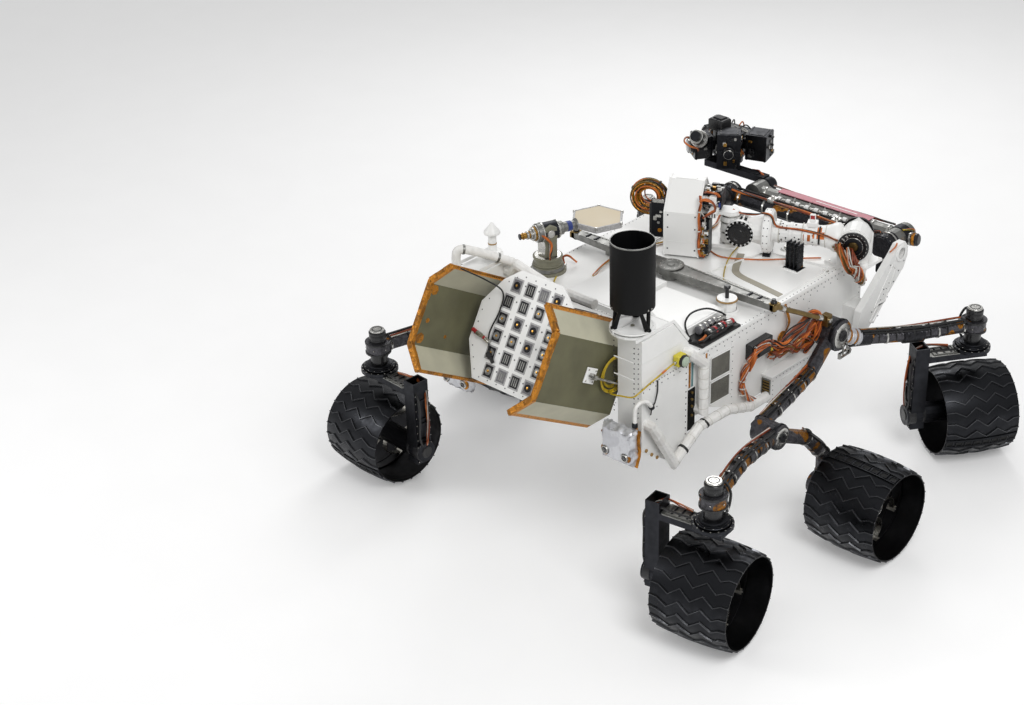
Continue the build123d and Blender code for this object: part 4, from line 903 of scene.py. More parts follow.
def make_wheel(name, side, station, angle, look):
    """One wheel: skin, lips, marker band with windows, flexures, hub, and its treads."""
    middle = name in ("lm", "rm")
    at = wheel_place(side, station, angle, middle)
    wheel = Piece()
    outer = [(WHEEL_SKIN - CROWN * (z / WHEEL_HALF) ** 2, z) for z in range(-WHEEL_HALF, WHEEL_HALF + 1, 25)]
    inner = [(r - 3.5, z) for r, z in reversed(outer)]
    edge = outer[0][0]
    # the crowned skin, its lips, and the channel inside it that the flexures end in
    wheel.turn("wheel", outer + [(edge + 1.5, WHEEL_HALF)], at, 96)
    lining = [(edge + 1.5, WHEEL_HALF), (edge - 5, WHEEL_HALF), (edge - 5, WHEEL_HALF - 10)]
    lining += inner[1:-1]
    lining += [(edge - 5, 10 - WHEEL_HALF), (edge - 5, -WHEEL_HALF), (edge, -WHEEL_HALF)]
    wheel.turn("wheel_inside", lining, at, 96)
    wheel.turn("wheel_inside", [
        (239, 2), (231, 2), (231, 8), (234, 8), (234, 56), (231, 56), (231, 62), (239, 62)], at, 72)
    # the marker band: two ribs and eight windows between them, each window a flat black plate painted as the
    # shade inside the hole
    band = BAND_ANGLE[name]
    for shift in (-25, 25):
        rib = [tuple(on_rim(WHEEL_SKIN + 3, z, shift, band)) for z in range(-198, 199, 22)]
        wheel.sweep("wheel", placed(at, rib), 0, section=rectangle(-3, -4.5, 3, 3.5))
    for n in range(8):
        z = -175 + 50 * n
        spot = on_rim(WHEEL_SKIN, z, 0, band)
        window = at @ facing(spot, (spot.x, spot.y, 0), Z)
        wheel.plate("flat_black", rectangle(-17, -13, 17, 13), -1, 1.6, window, 0.4)
        wheel.ring("wheel", rectangle(-20, -17, 20, 17), 3.4, -1, 4.2, window)
    # eight bowed flexures from the hub to the rim
    for n in range(8):
        root = radians(45 * n + 10)
        path = []
        for step in range(11):
            t = step / 10
            radius = HUB_RADIUS + (RIM_INSIDE - HUB_RADIUS) * t
            lean = root + FLEXURE_BOW * sin(pi * t) + FLEXURE_LEAN * t
            path.append(at @ Vector((radius * cos(lean), radius * sin(lean), 32)))
        wheel.sweep("spring", path, 0, section=rectangle(-15, -2.2, 15, 2.2), across=aimed(at, Z))
        end = root + FLEXURE_LEAN
        foot = at @ facing(at.inverted() @ path[-1], (cos(end), sin(end), 0), Z)
        wheel.box("spring", (-26, -16, -3), (26, 16, 3), foot, 1.5)
    hub = [
        (0, 5), (62, 5), (66, 9), (66, 58), (60, 62), (60, 68), (48, 75), (30, 78), (30, 72), (12, 72),
        (12, 80), (0, 82)]
    wheel.turn("dark", hub, at, 40)
    wheel.turn("silver", [(51, 70), (51, 74.6), (44, 77.5), (44, 72)], at, 40)
    wheel.finish("wheel_" + name + "_looks", "wheel_" + name, "wheel_" + name)
    heads = circle_of_heads(raised(at, 68), 55, 8, 4.2)
    for n in range(8):
        turn = radians(45 * n + 16)
        spot = at @ Vector((223 * cos(turn), 223 * sin(turn), 60))
        heads.append((spot, aimed(at, Z), 5))
    fasteners("hub_screws_" + name, "wheel_" + name, "screw", heads, 6)
    # treads all round but for one place, which the marker band takes
    step = 2 * pi / look.grousers
    # the treads take the lighter tread finish, which holds a painted highlight on their edges as well as wear
    mesh = grown(
        "treads_" + name, grouser_mesh(look.grouser_height / MM), "round", "tread", Count=look.grousers - 1,
        Step=step)
    to_wheel = at.copy()
    to_wheel.translation = at.translation * MM
    mesh.transform(to_wheel @ Matrix.Rotation(radians(band) + step, 4, "Z"))
    settle(mesh, "treads_" + name, "wheel_" + name, smooth=40)


class ROVER_OT_wheels(bpy.types.Operator):
    """Make the six wheels: crowned skins, zigzag treads, windows, flexures and hubs"""

    bl_idname = "rover.wheels"
    bl_label = "Wheels"

    def execute(self, context):
        look = context.scene.rover_look
        for name, side, station, angle in WHEELS:
            make_wheel(name, side, station, angle, look)
        return {"FINISHED"}


def strut_place(side, station, angle):
    """The wheel strut's frame at ground level: X along the wheel's heading, Y outboard."""
    turn = Matrix.Rotation(radians(angle), 4, "Z")
    return Matrix.Translation((station, side * KNUCKLE_Y, 0)) @ turn @ Matrix.Diagonal((1, side, 1, 1))


class ROVER_OT_struts(bpy.types.Operator):
    """Make the steering motors and the detail on the wheel struts and their drives"""

    bl_idname = "rover.struts"
    bl_label = "Steering and struts"

    def execute(self, context):
        motors, motor_heads = Piece(), []
        for name, side, station, angle in WHEELS:
            if name in ("lm", "rm"):
                continue
            at = strut_place(side, station, angle)
            body = "steer_" + name
            strut, heads = Piece(), []
            # stepped flange under the steering motor, and its screws
            for z, radius in ((613, 97), (620, 92), (627, 86)):
                strut.turn("dark", [
                    (60, z), (radius, z), (radius + 1, z + 1), (radius + 1, z + 4), (radius, z + 5),
                    (60, z + 5)], at, 48)
            heads += circle_of_heads(raised(at, 632), 91, 16, 4.0)
            # cover over the strut's upper arm: its frame, ribs and screws
            slab = [(-50, -70), (50, -70), (50, -236), (40, -250), (-40, -250), (-50, -236)]
            strut.plate("grey", slab, 611, 615, at, 1.2)
            strut.ring("grey", rectangle(-40, -96, 40, -226), 7, 614, 621, at)
            for y in (-120, -160, -200):
                strut.box("dark", (-34, y - 4, 614), (34, y + 4, 620), at)
            for x in (-44, 44):
                heads += seam(at @ Vector((x, -78, 615)), at @ Vector((x, -240, 615)), Z, 27, 3.2)
            # frames and screws down the leg
            leg = at @ Matrix.Translation((0, -329, 0)) @ Matrix.Rotation(radians(90), 4, "X")
            for low, high in ((190, 300), (320, 420), (440, 560)):
                strut.ring("dark", rectangle(-42, low, 42, high), 8, -2, 5, leg)
            for x in (-44, 44):
                heads += [(at @ Vector((x, -334, z)), aimed(at, -Y), 3.4) for z in range(200, 600, 44)]
            # the wheel's drive, and the wiring that runs down to it
            strut.turn("black", [
                (0, -352), (30, -352), (34, -346), (50, -346), (58, -338), (58, -300), (54, -296), (54, -262),
                (57, -258), (57, -246), (0, -246)], at @ facing((0, 0, 250), Y, X), 36)
            strut.bundle(["orange", "rust", "white_wire"], placed(at, (
                (30, -120, 626), (38, -200, 634), (40, -262, 636), (34, -322, 600), (24, -340, 520),
                (28, -342, 420), (12, -346, 330), (4, -344, 290))), 5, 7, 3, seed=station)
            strut.wire("black_wire", placed(at, (
                (-28, -96, 630), (-40, -170, 640), (-36, -268, 636), (-34, -338, 590), (-30, -344, 470),
                (-36, -342, 350), (-22, -344, 292))), 6)
            strut.finish("strut_detail_" + name, body)
            fasteners("strut_screws_" + name, body, "screw", heads)
            # the steering motor: flange, case, cap and cable
            spot = Matrix.Translation((
                station, side * KNUCKLE_Y, 0)) @ Matrix.Rotation(radians(angle), 4, "Z")
            motors.turn("dark", [
                (45, 632.3), (81, 632.3), (82, 634), (82, 639), (80, 641), (74, 641), (74, 647), (66, 648),
                (66, 656), (58, 660), (45, 660)], spot, 48)
            motors.turn("black", [
                (44, 650), (44, 716), (44, 790), (47, 792), (47, 802), (44, 804), (44, 822),
                (41, 828)], spot, 40)
            motors.turn("black", [(41, 826), (45, 828), (45, 838), (40, 842), (37, 842), (37, 846)], spot, 40)
            motors.turn("silver", [
                (37, 845), (39, 846), (39, 850), (36, 853), (14, 853), (12, 851), (0, 851)], spot, 40)
            motors.turn("black", [(28, 852.6), (28, 853.8), (22, 853.8), (22, 852.6)], spot, 36)
            motor_heads += circle_of_heads(raised(spot, 641), 77.5, 12, 3.2)
            motor_heads += circle_of_heads(raised(spot, 852), 26, 6, 2.4)
            motor_heads += circle_of_heads(raised(spot, 838), 41, 8, 2.0)
            way = side * (1 if station < 0 else -1)
            loop = [
                (20, way * 10, 838), (58, way * 26, 820), (84, way * 40, 760), (90, way * 36, 700),
                (78, way * 30, 655), (52, way * 24, 640)]
            motors.wire("black_wire", placed(spot, loop), 7)
            motors.turn(
                "silver", [(11, 0), (11, 16), (8, 16), (8, 20), (0, 20)],
                spot @ facing((78, way * 30, 664), (-0.25, 0, 1), Y), 16)
        motors.finish("steering_motor_cases", "chassis", "steering_motors")
        fasteners("steering_motor_screws", "chassis", "screw", motor_heads)
        return {"FINISHED"}


# Tubes of the left rocker and bogie: name and the points that each runs through, as (x, y, z)
ARM_RUNS = [
    ("front", [(560, 760, 772), (800, 925, 752), (1040, 1072, 752)]),
    ("rear", [(120, 760, 746), (-140, 812, 740), (-360, 830, 705)]),
    ("tail", [(-440, 945, 704), (-760, 1010, 752), (-1030, 1088, 752)]),
    ("drop", [(-190, 966, 600), (-40, 972, 446), (-28, 972, 330)])]


class ROVER_OT_suspension(bpy.types.Operator):
    """Dress the rocker and bogie arms: wrapped tubes, clamps, wiring, hub rings and bolts"""

    bl_idname = "rover.suspension"
    bl_label = "Suspension"

    def execute(self, context):
        detail, heads = Piece(), []
        chance = random.Random(21)
        for side in (1, -1):
            # crumpled silver and amber film round the arm in front of the pivot, and a bright bracket below
            cuff = facing((508, side * 740.5, 797), (0.851, side * 0.319, -0.415), Z)
            for n in range(8):
                low, radius = 14 * n - 60, chance.uniform(41, 46)
                detail.turn(("blanket", "blanket", "amber")[n % 3], [
                    (38, low - 3), (radius, low), (radius + 2, low + 6), (radius - 1, low + 12),
                    (38, low + 16)], cuff, 28)
            bracket = facing((424, side * 766, 742), (0, side, 0), X)
            detail.ring("silver", [(-52, -16), (44, -16), (52, 0), (44, 16), (-52, 16)], 9, -7, 7, bracket)
            for x in (-20, 14):
                low, high = sorted((5 * side, -52 * side))
                detail.box("silver", (x, low, -5), (x + 12, high, 2), bracket, 1)
            # clamps, ties and wiring along each tube
            for number, (name, run) in enumerate(ARM_RUNS):
                path = [Vector((x, side * y, z)) for x, y, z in run]
                label = name + ("_left" if side > 0 else "_right")
                clamps("clamps_" + label, "chassis", "silver", path, 40.5, 118, 9)
                clamps("ties_" + label, "chassis", "rubber", [p + Vector((0, 0, 8)) for p in path], 41, 91, 5)
                over = [p + Vector((0, -side * 14, 46)) for p in path]
                detail.bundle(
                    ["rust", "orange", "bronze", "rust", "white_wire"], over, 5, 8, 3.2, seed=number + 7,
                    steps=7)
                detail.wire("black_wire", [p + Vector((0, side * 16, 44)) for p in path], 7, 7)
                detail.wire("black_wire", [p + Vector((0, side * 30, 34)) for p in path], 5, 7)
            # the caps of both pivots
            for (x, y, z), radius, width in ((ROCKER_PIVOT, 82, 120), (BOGIE_PIVOT, 62, 84)):
                at = facing((x, side * y, z), (0, side, 0), X)
                face = width / 2
                detail.turn("dark", rectangle(radius, face - 26, radius + 5, face - 12), at, 40)
                detail.turn("silver", [
                    (0, face - 2), (radius * 0.82, face - 2), (radius * 0.82, face + 3),
                    (radius * 0.72, face + 5), (radius * 0.5, face + 5), (radius * 0.46, face + 2),
                    (0, face + 2)], at, 40)
                detail.turn("black", [
                    (0, face + 1), (radius * 0.4, face + 1), (radius * 0.36, face + 11),
                    (0, face + 12)], at, 32)
                heads += circle_of_heads(raised(at, face + 4.5), radius * 0.62, 10, 4)
            # sleeves over the joints of the front tube
            for x, y, z in ((560, 760, 772), (800, 925, 752)):
                detail.turn(
                    "dark_wrap", [(39, -60), (43, -56), (43, 56), (39, 60)],
                    facing((x, side * y, z), (0.85, side * 0.52, -0.05), Z), 28)
            # bands and bolts round the housing below each steering motor
            for x in (REAR_AXLE, FRONT_AXLE):
                at = Matrix.Translation((x, side * KNUCKLE_Y, 752))
                for z in (-28, 28):
                    detail.band("black", 65, 68, z - 5, z + 5, at, 40)
                heads += [head_round(at, 66, a, 0, 4) for a in (0.3, 1.3, 2.5, 3.6, 4.6, 5.6)]
            # the axle housing beside each middle wheel
            axle = facing((MIDDLE_AXLE, side * 972, WHEEL_RADIUS), (0, side, 0), X)
            detail.turn("black", [(0, -58), (32, -58), (36, -50), (54, -46), (54, -30), (50, -26)], axle, 32)
            heads += circle_of_heads(raised(axle, -46), 45, 8, 3.2)
        detail.finish("suspension_detail", "chassis")
        fasteners("suspension_screws", "chassis", "screw", heads)
        return {"FINISHED"}


# The body, its deck and what is fixed to them


class ROVER_OT_body(bpy.types.Operator):
    """Detail the body's walls: rivets, mesh windows, strips, plugs, side boxes and front wall"""

    bl_idname = "rover.body"
    bl_label = "Body walls"

    def execute(self, context):
        pitch, head = rivet_sizes(context.scene.rover_look)
        detail, rivets, screws = Piece(), [], []
        for side in (1, -1):
            out = (0, side, 0)
            y = side * (BODY_SIDE + 0.5)
            for z in (1078, 1052):
                rivets += seam(
                    (BODY_REAR + 20, y, z), (BODY_FRONT - 20, y, z), out, pitch * (1 if z > 1060 else 2),
                    head * 0.8)
            rivets += seam((BODY_FRONT - 16, y, 700), (BODY_FRONT - 16, y, 1060), out, pitch, head * 0.8)
            rivets += seam((-180, y, 800), (-180, y, 1040), out, pitch * 2, head * 0.7)
            at = facing((0, side * BODY_SIDE, 0), (0, side, 0), (-side, 0, 0))
            # two mesh windows, one over the other, in a thin white frame
            for low, high in ((900, 1025), (768, 890)):
                box = [(-side * x, z) for x, z in (
                    (-478, low), (-318, low - 6), (-318, high - 4), (-478, high + 4))]
                detail.plate("grille", box, 0, 1.6, at, 0.4)
                detail.ring("white", box, 6, 0, 5, at)
                for x, z in box:
                    screws.append((at @ Vector((x + (6 if x * side > 0 else -6), z, 4)), out, 2.4))
            # thin seams between the wall's sheets
            for x in (-492, -300, 330):
                detail.box(
                    "white", (x - 12, side * BODY_SIDE - 1, 665), (x + 12, side * BODY_SIDE + 1.6, 1046),
                    None, 0.8)
                rivets += seam(
                    (x, side * (BODY_SIDE + 1.8), 680), (x, side * (BODY_SIDE + 1.8), 1040), out, pitch * 1.3,
                    head * 0.7)
            # ribbon of amber film that hangs from the deck's edge, with a disc at its end
            ribbon = smoothed([
                (112, side * 600, 1096), (122, side * 612, 1046), (134, side * 618, 984),
                (118, side * 608, 930)], 5)
            detail.sweep("amber", ribbon, 0, section=rectangle(-9, -0.8, 9, 0.8), across=X)
            detail.turn(
                "amber", [(0, 0), (34, 0), (36, 2), (34, 4), (0, 4)],
                facing((100, side * (BODY_SIDE + 3), 908), out, X), 32)
            # amber, teal and black strips in the gap beside the rear box, and four plugs
            for low, high, z0, z1, finish in (
                    (-640, -626, 935, 1072, "amber"), (-620, -606, 935, 1080, "teal"),
                    (-512, -500, 940, 1070, "amber"), (-646, -590, 700, 925, "flat_black"),
                    (-514, -498, 760, 930, "flat_black")):
                detail.box(
                    finish, (low, side * BODY_SIDE - 2, z0), (high, side * BODY_SIDE + 2, z1), None, 0.6)
            for z in (905, 868, 830, 780):
                detail.plug("bronze", 7, 4, (0, 9, 12), facing((-618, side * BODY_SIDE, z), out, Z), 12)
        # plug cluster on the right wall with its orange loops
        y = -BODY_SIDE
        detail.box("black", (-196, y - 44, 905), (-30, y + 1, 990), None, 3)
        detail.box("rubber", (-150, y - 58, 918), (-60, y - 40, 975), None, 4)
        detail.plug("yellow", 9, 6, (0, 5, 8), facing((-44, y - 44, 916), (0, -1, 0), X), 14)
        for row in range(4):
            z = 925 + 17 * row
            detail.plug("silver", 8, 6, (0, 14, 16), facing((-190 + 6 * row, y - 40, z), (0, -1, 0), X), 14)
            for turn in range(3):
                bow = 26 + 9 * turn
                detail.wire(("orange", "rust", "orange")[turn], [
                    (-188 + 10 * turn, y - 50, z), (-200 - bow * 0.3, y - 52 - 0.4 * bow, z - 8),
                    (-215, y - 34 - 0.3 * bow, z - 42 - 0.4 * bow),
                    (-205 + 8 * turn, y - 26, 850 + 8 * row)], 3.4)
        detail.bundle(["orange", "rust", "orange", "white_wire"], [
            (-60, y - 52, 960), (-110, y - 66, 985), (-180, y - 58, 965), (-222, y - 36, 900),
            (-236, y - 22, 830), (-240, y - 20, 770), (-206, y - 24, 706), (-160, y - 26, 668),
            (-110, y - 40, 648)], 15, 17, 3.4, seed=3)
        detail.bundle(["orange", "rust", "orange", "black_wire"], [
            (-20, y - 34, 930), (40, y - 42, 900), (110, y - 46, 930), (190, y - 60, 960),
            (250, y - 70, 1000), (300, y - 74, 980), (316, y - 66, 900), (300, y - 50, 820),
            (240, y - 40, 790)], 20, 26, 3.8, seed=9)
        detail.bundle(["orange", "rust"], [
            (180, y - 30, 840), (236, y - 60, 900), (276, y - 70, 948), (300, y - 76, 930),
            (310, y - 70, 860)], 9, 16, 4, seed=4)
        detail.bundle(["rust", "orange", "rust", "bronze"], [
            (-40, y - 44, 880), (20, y - 40, 850), (90, y - 44, 868), (150, y - 50, 840), (220, y - 52, 870),
            (280, y - 56, 850)], 14, 24, 3.6, seed=6)
        for z in (812, 770, 735):
            detail.hoop("tie", 16, 18, 3, facing((-238, y - 21, z), Z, X), 16)
        # the side boxes: louvred rear ends, lids with rolled edges, riveted corners
        for side in (1, -1):
            low, high = -55, 285
            inner, outer = side * BODY_SIDE, side * 660
            detail.box(
                "white", (low - 4, min(inner, outer + side * 5), 757),
                (high + 4, max(inner, outer + side * 5), 768), None, 2)
            detail.box(
                "white", (low - 3, min(inner, outer + side * 3), 612),
                (high + 3, max(inner, outer + side * 3), 622), None, 2)
            at = facing((low, side * 628, 0), -X, -Y)
            detail.ring("grey", rectangle(-26, 640, 26, 748), 6, -1, 5, at)
            for n in range(6):
                detail.box("bronze", (-20, 648 + 16 * n, -1), (20, 656 + 16 * n, 4), at, 1)
            # a flat black plate behind the slats: painted shade in the louvre's opening
            detail.plate("flat_black", rectangle(-22, 644, 22, 744), -1, 0.8, at, 0.2)
            for x in (low + 10, high - 10):
                rivets += seam(
                    (x, outer + side, 625), (x, outer + side, 754), (0, side, 0), pitch * 0.8, head * 0.7)
            for z in (632, 748):
                rivets += seam(
                    (low + 24, outer + side, z), (high - 24, outer + side, z), (0, side, 0), pitch,
                    head * 0.7)
            window = facing((115, outer, 690), (0, side, 0), (-side, 0, 0))
            detail.ring("white", rectangle(-90, -36, 90, 36), 7, -1, 4, window)
            detail.plate("white", rectangle(-80, -28, 80, 28), -1, 1.6, window, 0.5)
        # the front wall: three frames, rivets and the cameras' lenses
        x = BODY_FRONT
        front = facing((x, 0, 0), X, Y)
        for low, high in ((-560, -220), (-190, 190), (220, 330)):
            detail.ring("white", rectangle(low, 840, high, 1060), 10, -1, 3, front)
            rivets += seam((x + 3, low, 1072), (x + 3, high, 1072), X, pitch, head * 0.7)
        rivets += seam((x + 0.5, -580, 690), (x + 0.5, 580, 690), X, pitch * 1.2, head * 0.7)
        for y in (-130, -78, 78, 130):
            lens = facing((x + 74, y, 758), X, Y)
            detail.turn("dark", [(15, -2), (16, 0), (16, 6), (12, 7), (12, 1), (0, 1)], lens, 28)
            detail.turn("glass", [(12, 1), (8, 3), (0, 4)], lens, 24)
        # rear wall between the rear boxes: rivets and an access cover's frame
        back = BODY_REAR - 0.5
        for z in (1070, 690):
            rivets += seam((back, -430, z), (back, 430, z), (-1, 0, 0), pitch, head * 0.8)
        rear = facing((BODY_REAR, 0, 0), -X, -Y)
        detail.ring("white", rectangle(-150, 800, 150, 1000), 9, -1, 3, rear)
        # belly: a frame, rivets and five round caps
        belly = facing((0, 0, BODY_FLOOR), -Z, X)
        detail.ring("white", rectangle(-560, -480, 700, 480), 14, -1, 3, belly)
        low = BODY_FLOOR - 0.5
        for y in (-540, 540):
            rivets += seam((-600, y, low), (760, y, low), (0, 0, -1), pitch * 1.5, head * 0.8)
        for x, y in ((-300, -200), (-300, 200), (150, -200), (150, 200), (500, 0)):
            spot = facing((x, y, BODY_FLOOR), -Z, X)
            detail.turn("silver", [(30, -1), (30, 4), (26, 6), (22, 6), (20, 3), (0, 3)], spot, 28)
        detail.finish("body_detail", "chassis")
        fasteners("body_rivets", "chassis", "rivet", rivets)
        fasteners("body_screws", "chassis", "screw", screws, 6)
        return {"FINISHED"}


class ROVER_OT_deck(bpy.types.Operator):
    """Detail the deck: riveted edges, covers with gaskets, fitting, brackets and wiring"""

    bl_idname = "rover.deck"
    bl_label = "Deck"

    def execute(self, context):
        pitch, head = rivet_sizes(context.scene.rover_look)
        detail, rivets, pale = Piece(), [], []
        top = DECK_TOP + 0.4
        for y in (-590, 590):
            rivets += seam((-630, y, top), (790, y, top), Z, pitch, head * 0.75)
        for x in (-640, 796):
            rivets += seam((x, -560, top), (x, 560, top), Z, pitch, head * 0.75)
        for (x0, y0), (x1, y1), z in (
                ((-560, -470), (-210, -100), 1152), ((-560, -60), (-150, 260), 1144),
                ((160, 330), (560, 556), 1118)):
            detail.box("cover", (x0 + 10, y0 + 10, z - 2), (x1 - 10, y1 - 10, z + 3), None, 3)
            detail.box("cover", (x0 - 9, y0 - 9, DECK_TOP - 1), (x1 + 9, y1 + 9, DECK_TOP + 4), None, 1.5)
            for a, b in (
                    ((x0, y0), (x1, y0)), ((x0, y1), (x1, y1)), ((x0, y0), (x0, y1)), ((x1, y0), (x1, y1))):
                way = Vector((b[0] - a[0], b[1] - a[1], 0)).normalized().cross(Z)
                shift = way * (5 if way.dot(Vector((
                    (x0 + x1) / 2 - a[0], (y0 + y1) / 2 - a[1], 0))) < 0 else -5)
                rivets += seam(
                    (a[0] + shift.x, a[1] + shift.y, DECK_TOP + 4.3),
                    (b[0] + shift.x, b[1] + shift.y, DECK_TOP + 4.3), Z, pitch, head * 0.6)
        # white round fitting with its tan ring, and the black post with a knob
        fitting = Matrix.Translation((*ROUND_FITTING, 0))
        detail.turn("gasket", [(48, 1166), (54, 1168), (54, 1173), (48, 1176)], fitting, 40)
        detail.turn("cover", [
            (0, 1177), (30, 1177), (42, 1180), (50, 1179), (50, 1176), (46, 1174)], fitting, 40)
        detail.turn("cover", [
            (50, DECK_TOP), (60, DECK_TOP), (60, DECK_TOP + 6), (50, DECK_TOP + 10)], fitting, 40)
        detail.turn("black", [
            (10, 1178), (10, 1226), (15, 1228), (17, 1234), (17, 1240), (13, 1245), (0, 1246)], fitting, 24)
        rivets += circle_of_heads(raised(fitting, DECK_TOP + 6), 55, 8, 3)
        # white tray with raised sides ahead of the differential, and a flat tan band bent round a corner
        recess = [(80, -560), (560, -560), (500, -200), (120, -120)]
        detail.plate("cover", recess, DECK_TOP - 1, DECK_TOP + 1.5, None, 0.5)
        detail.ring("cover", [
            (72, -568), (568, -568), (506, -192), (114, -110)], 9, DECK_TOP - 1, DECK_TOP + 9)
        band = [(x, y, DECK_TOP + 2.5) for x, y in (
            (143, -556), (168, -400), (184, -290), (204, -232), (250, -190), (400, -110))]
        detail.sweep("band", smoothed(band, 5), 0, section=rectangle(-1, -19, 1.5, 19), across=Z)
        # grid of a vent, and flat brackets with dark bolts
        slat = Piece()
        slat.box("grey", (-60, 330, DECK_TOP), (-54, 430, DECK_TOP + 22))
        settle(grown(
            "deck_vent", slat.bare(), "rows", "grey", Count=6, Step=(0.024, 0, 0)), "deck_vent", "chassis")
        for x, y in ((600, -250), (640, 60), (70, 420), (-620, 0), (360, 280), (720, 300)):
            detail.box("cover", (x - 26, y - 18, DECK_TOP - 1), (x + 26, y + 18, DECK_TOP + 7), None, 2)
            detail.box("silver", (x - 10, y - 8, DECK_TOP + 6), (x + 10, y + 8, DECK_TOP + 18), None, 2)
            rivets += [((x + dx, y + dy, DECK_TOP + 7.4), Z, 3.4) for dx in (-20, 20) for dy in (-12, 12)]
        # lifting points: washers round the four holes
        for x in (-600, 520):
            for y in (-560, 560):
                spot = Matrix.Translation((x, y, 0))
                detail.turn("silver", [
                    (9, DECK_TOP), (9, DECK_TOP + 3), (16, DECK_TOP + 3), (17, DECK_TOP)], spot, 28)
        # wiring that crosses the deck, tied down
        detail.bundle(["orange", "yellow", "white_wire", "rust"], [
            (-300, 300, 1118), (-160, 340, 1122), (20, 360, 1118), (200, 300, 1116), (380, 240, 1116),
            (560, 200, 1118), (700, 260, 1118)], 6, 7, 3.2, seed=21)
        detail.wire("yellow", [(-600, 330, 1114), (-520, 380, 1116), (-470, 420, 1114), (-430, 440, 1118)], 4)
        detail.wire("orange", [
            (620, -460, 1114), (560, -400, 1116), (470, -330, 1122), (380, -210, 1116), (300, -60, 1114),
            (330, 60, 1114)], 4)
        detail.wire("yellow", [
            (-120, -380, 1113), (0, -300, 1113), (180, -170, 1114), (330, -90, 1114), (480, -40, 1113)], 3.2)
        for x, y in ((-60, 350), (110, 336), (300, 268), (480, 222)):
            detail.box("tie", (x - 5, y - 12, DECK_TOP), (x + 5, y + 12, DECK_TOP + 18), None, 2)
        # differential bar: riveted rims, the pivot's disc, and its end fittings
        for side in (1, -1):
            for edge in (-1, 1):
                start, end = Vector((BAR_X + edge * 44, side * 80, BAR_TOP)), Vector((
                    BAR_X + edge * 21, side * 600, BAR_TOP))
                detail.sweep("grey", [start, end], 0, section=rectangle(-5, -2, 5, 3), across=X)
                pale += seam(start + Vector((0, 0, 3.4)), end + Vector((0, 0, 3.4)), Z, 26, 3.2)
            block = Matrix.Translation((BAR_X, side * 646, BAR_TOP - 16))
            detail.box("bronze", (-26, -18, -19), (26, 18, 19), block, 4)
            detail.turn("black", [(0, 18), (17, 18), (17, 24), (11, 30), (11, 38), (0, 40)], block, 24)
            detail.plug("black", 17, 9, (-18, -26, -30), block, 24)
            for y in (560, 500):
                detail.box(
                    "dark", (BAR_X - 22, side * y - 6, BAR_TOP - 2), (BAR_X + 22, side * y + 6, BAR_TOP + 6),
                    None, 2)
        pivot = Matrix.Translation((BAR_X, 0, BAR_TOP))
        detail.turn("grey", [
            (0, 0), (66, 0), (68, 3), (68, 8), (64, 10), (40, 10), (38, 7), (20, 7), (18, 12),
            (0, 13)], pivot, 48)
        pale += circle_of_heads(raised(pivot, 10.5), 53, 12, 3.6)
        for side in (1, -1):
            head, foot = Vector((BAR_X, side * 655, BAR_TOP - 16)), Vector((340, side * 700, 947))
            along_link = (foot - head).normalized()
            for distance in (60, 380):
                detail.turn(
                    "silver", [(12, -14), (17, -12), (17, 12), (12, 14)],
                    facing(head + along_link * distance, along_link, Y), 20)
            lug = facing(foot, (0, side, 0), X)
            detail.plug("silver", 14, 10, (20, 28, 32), lug, 20)
        detail.finish("deck_detail", "chassis")
        fasteners("deck_rivets", "chassis", "rivet", rivets)
        fasteners("bar_rivets", "chassis", "pale_rivet", pale)
        return {"FINISHED"}


# The power unit, the rear boxes, the aerials and the pipes

def unit_frame_at(depth=0.0):
    """The power unit's frame: X left, Y up across its tilt, Z along it towards the body, in mm."""
    tilt = radians(UNIT_TILT)
    axis = Vector((cos(tilt), 0, -sin(tilt)))
    rise = Vector((sin(tilt), 0, cos(tilt)))
    turn = Matrix((Y, rise, axis)).transposed().to_4x4()
    return Matrix.Translation(Vector(UNIT_ORIGIN) + axis * depth) @ turn


DOTS_IN = 0.955  # share of the end plate's outline that its row of dots follows


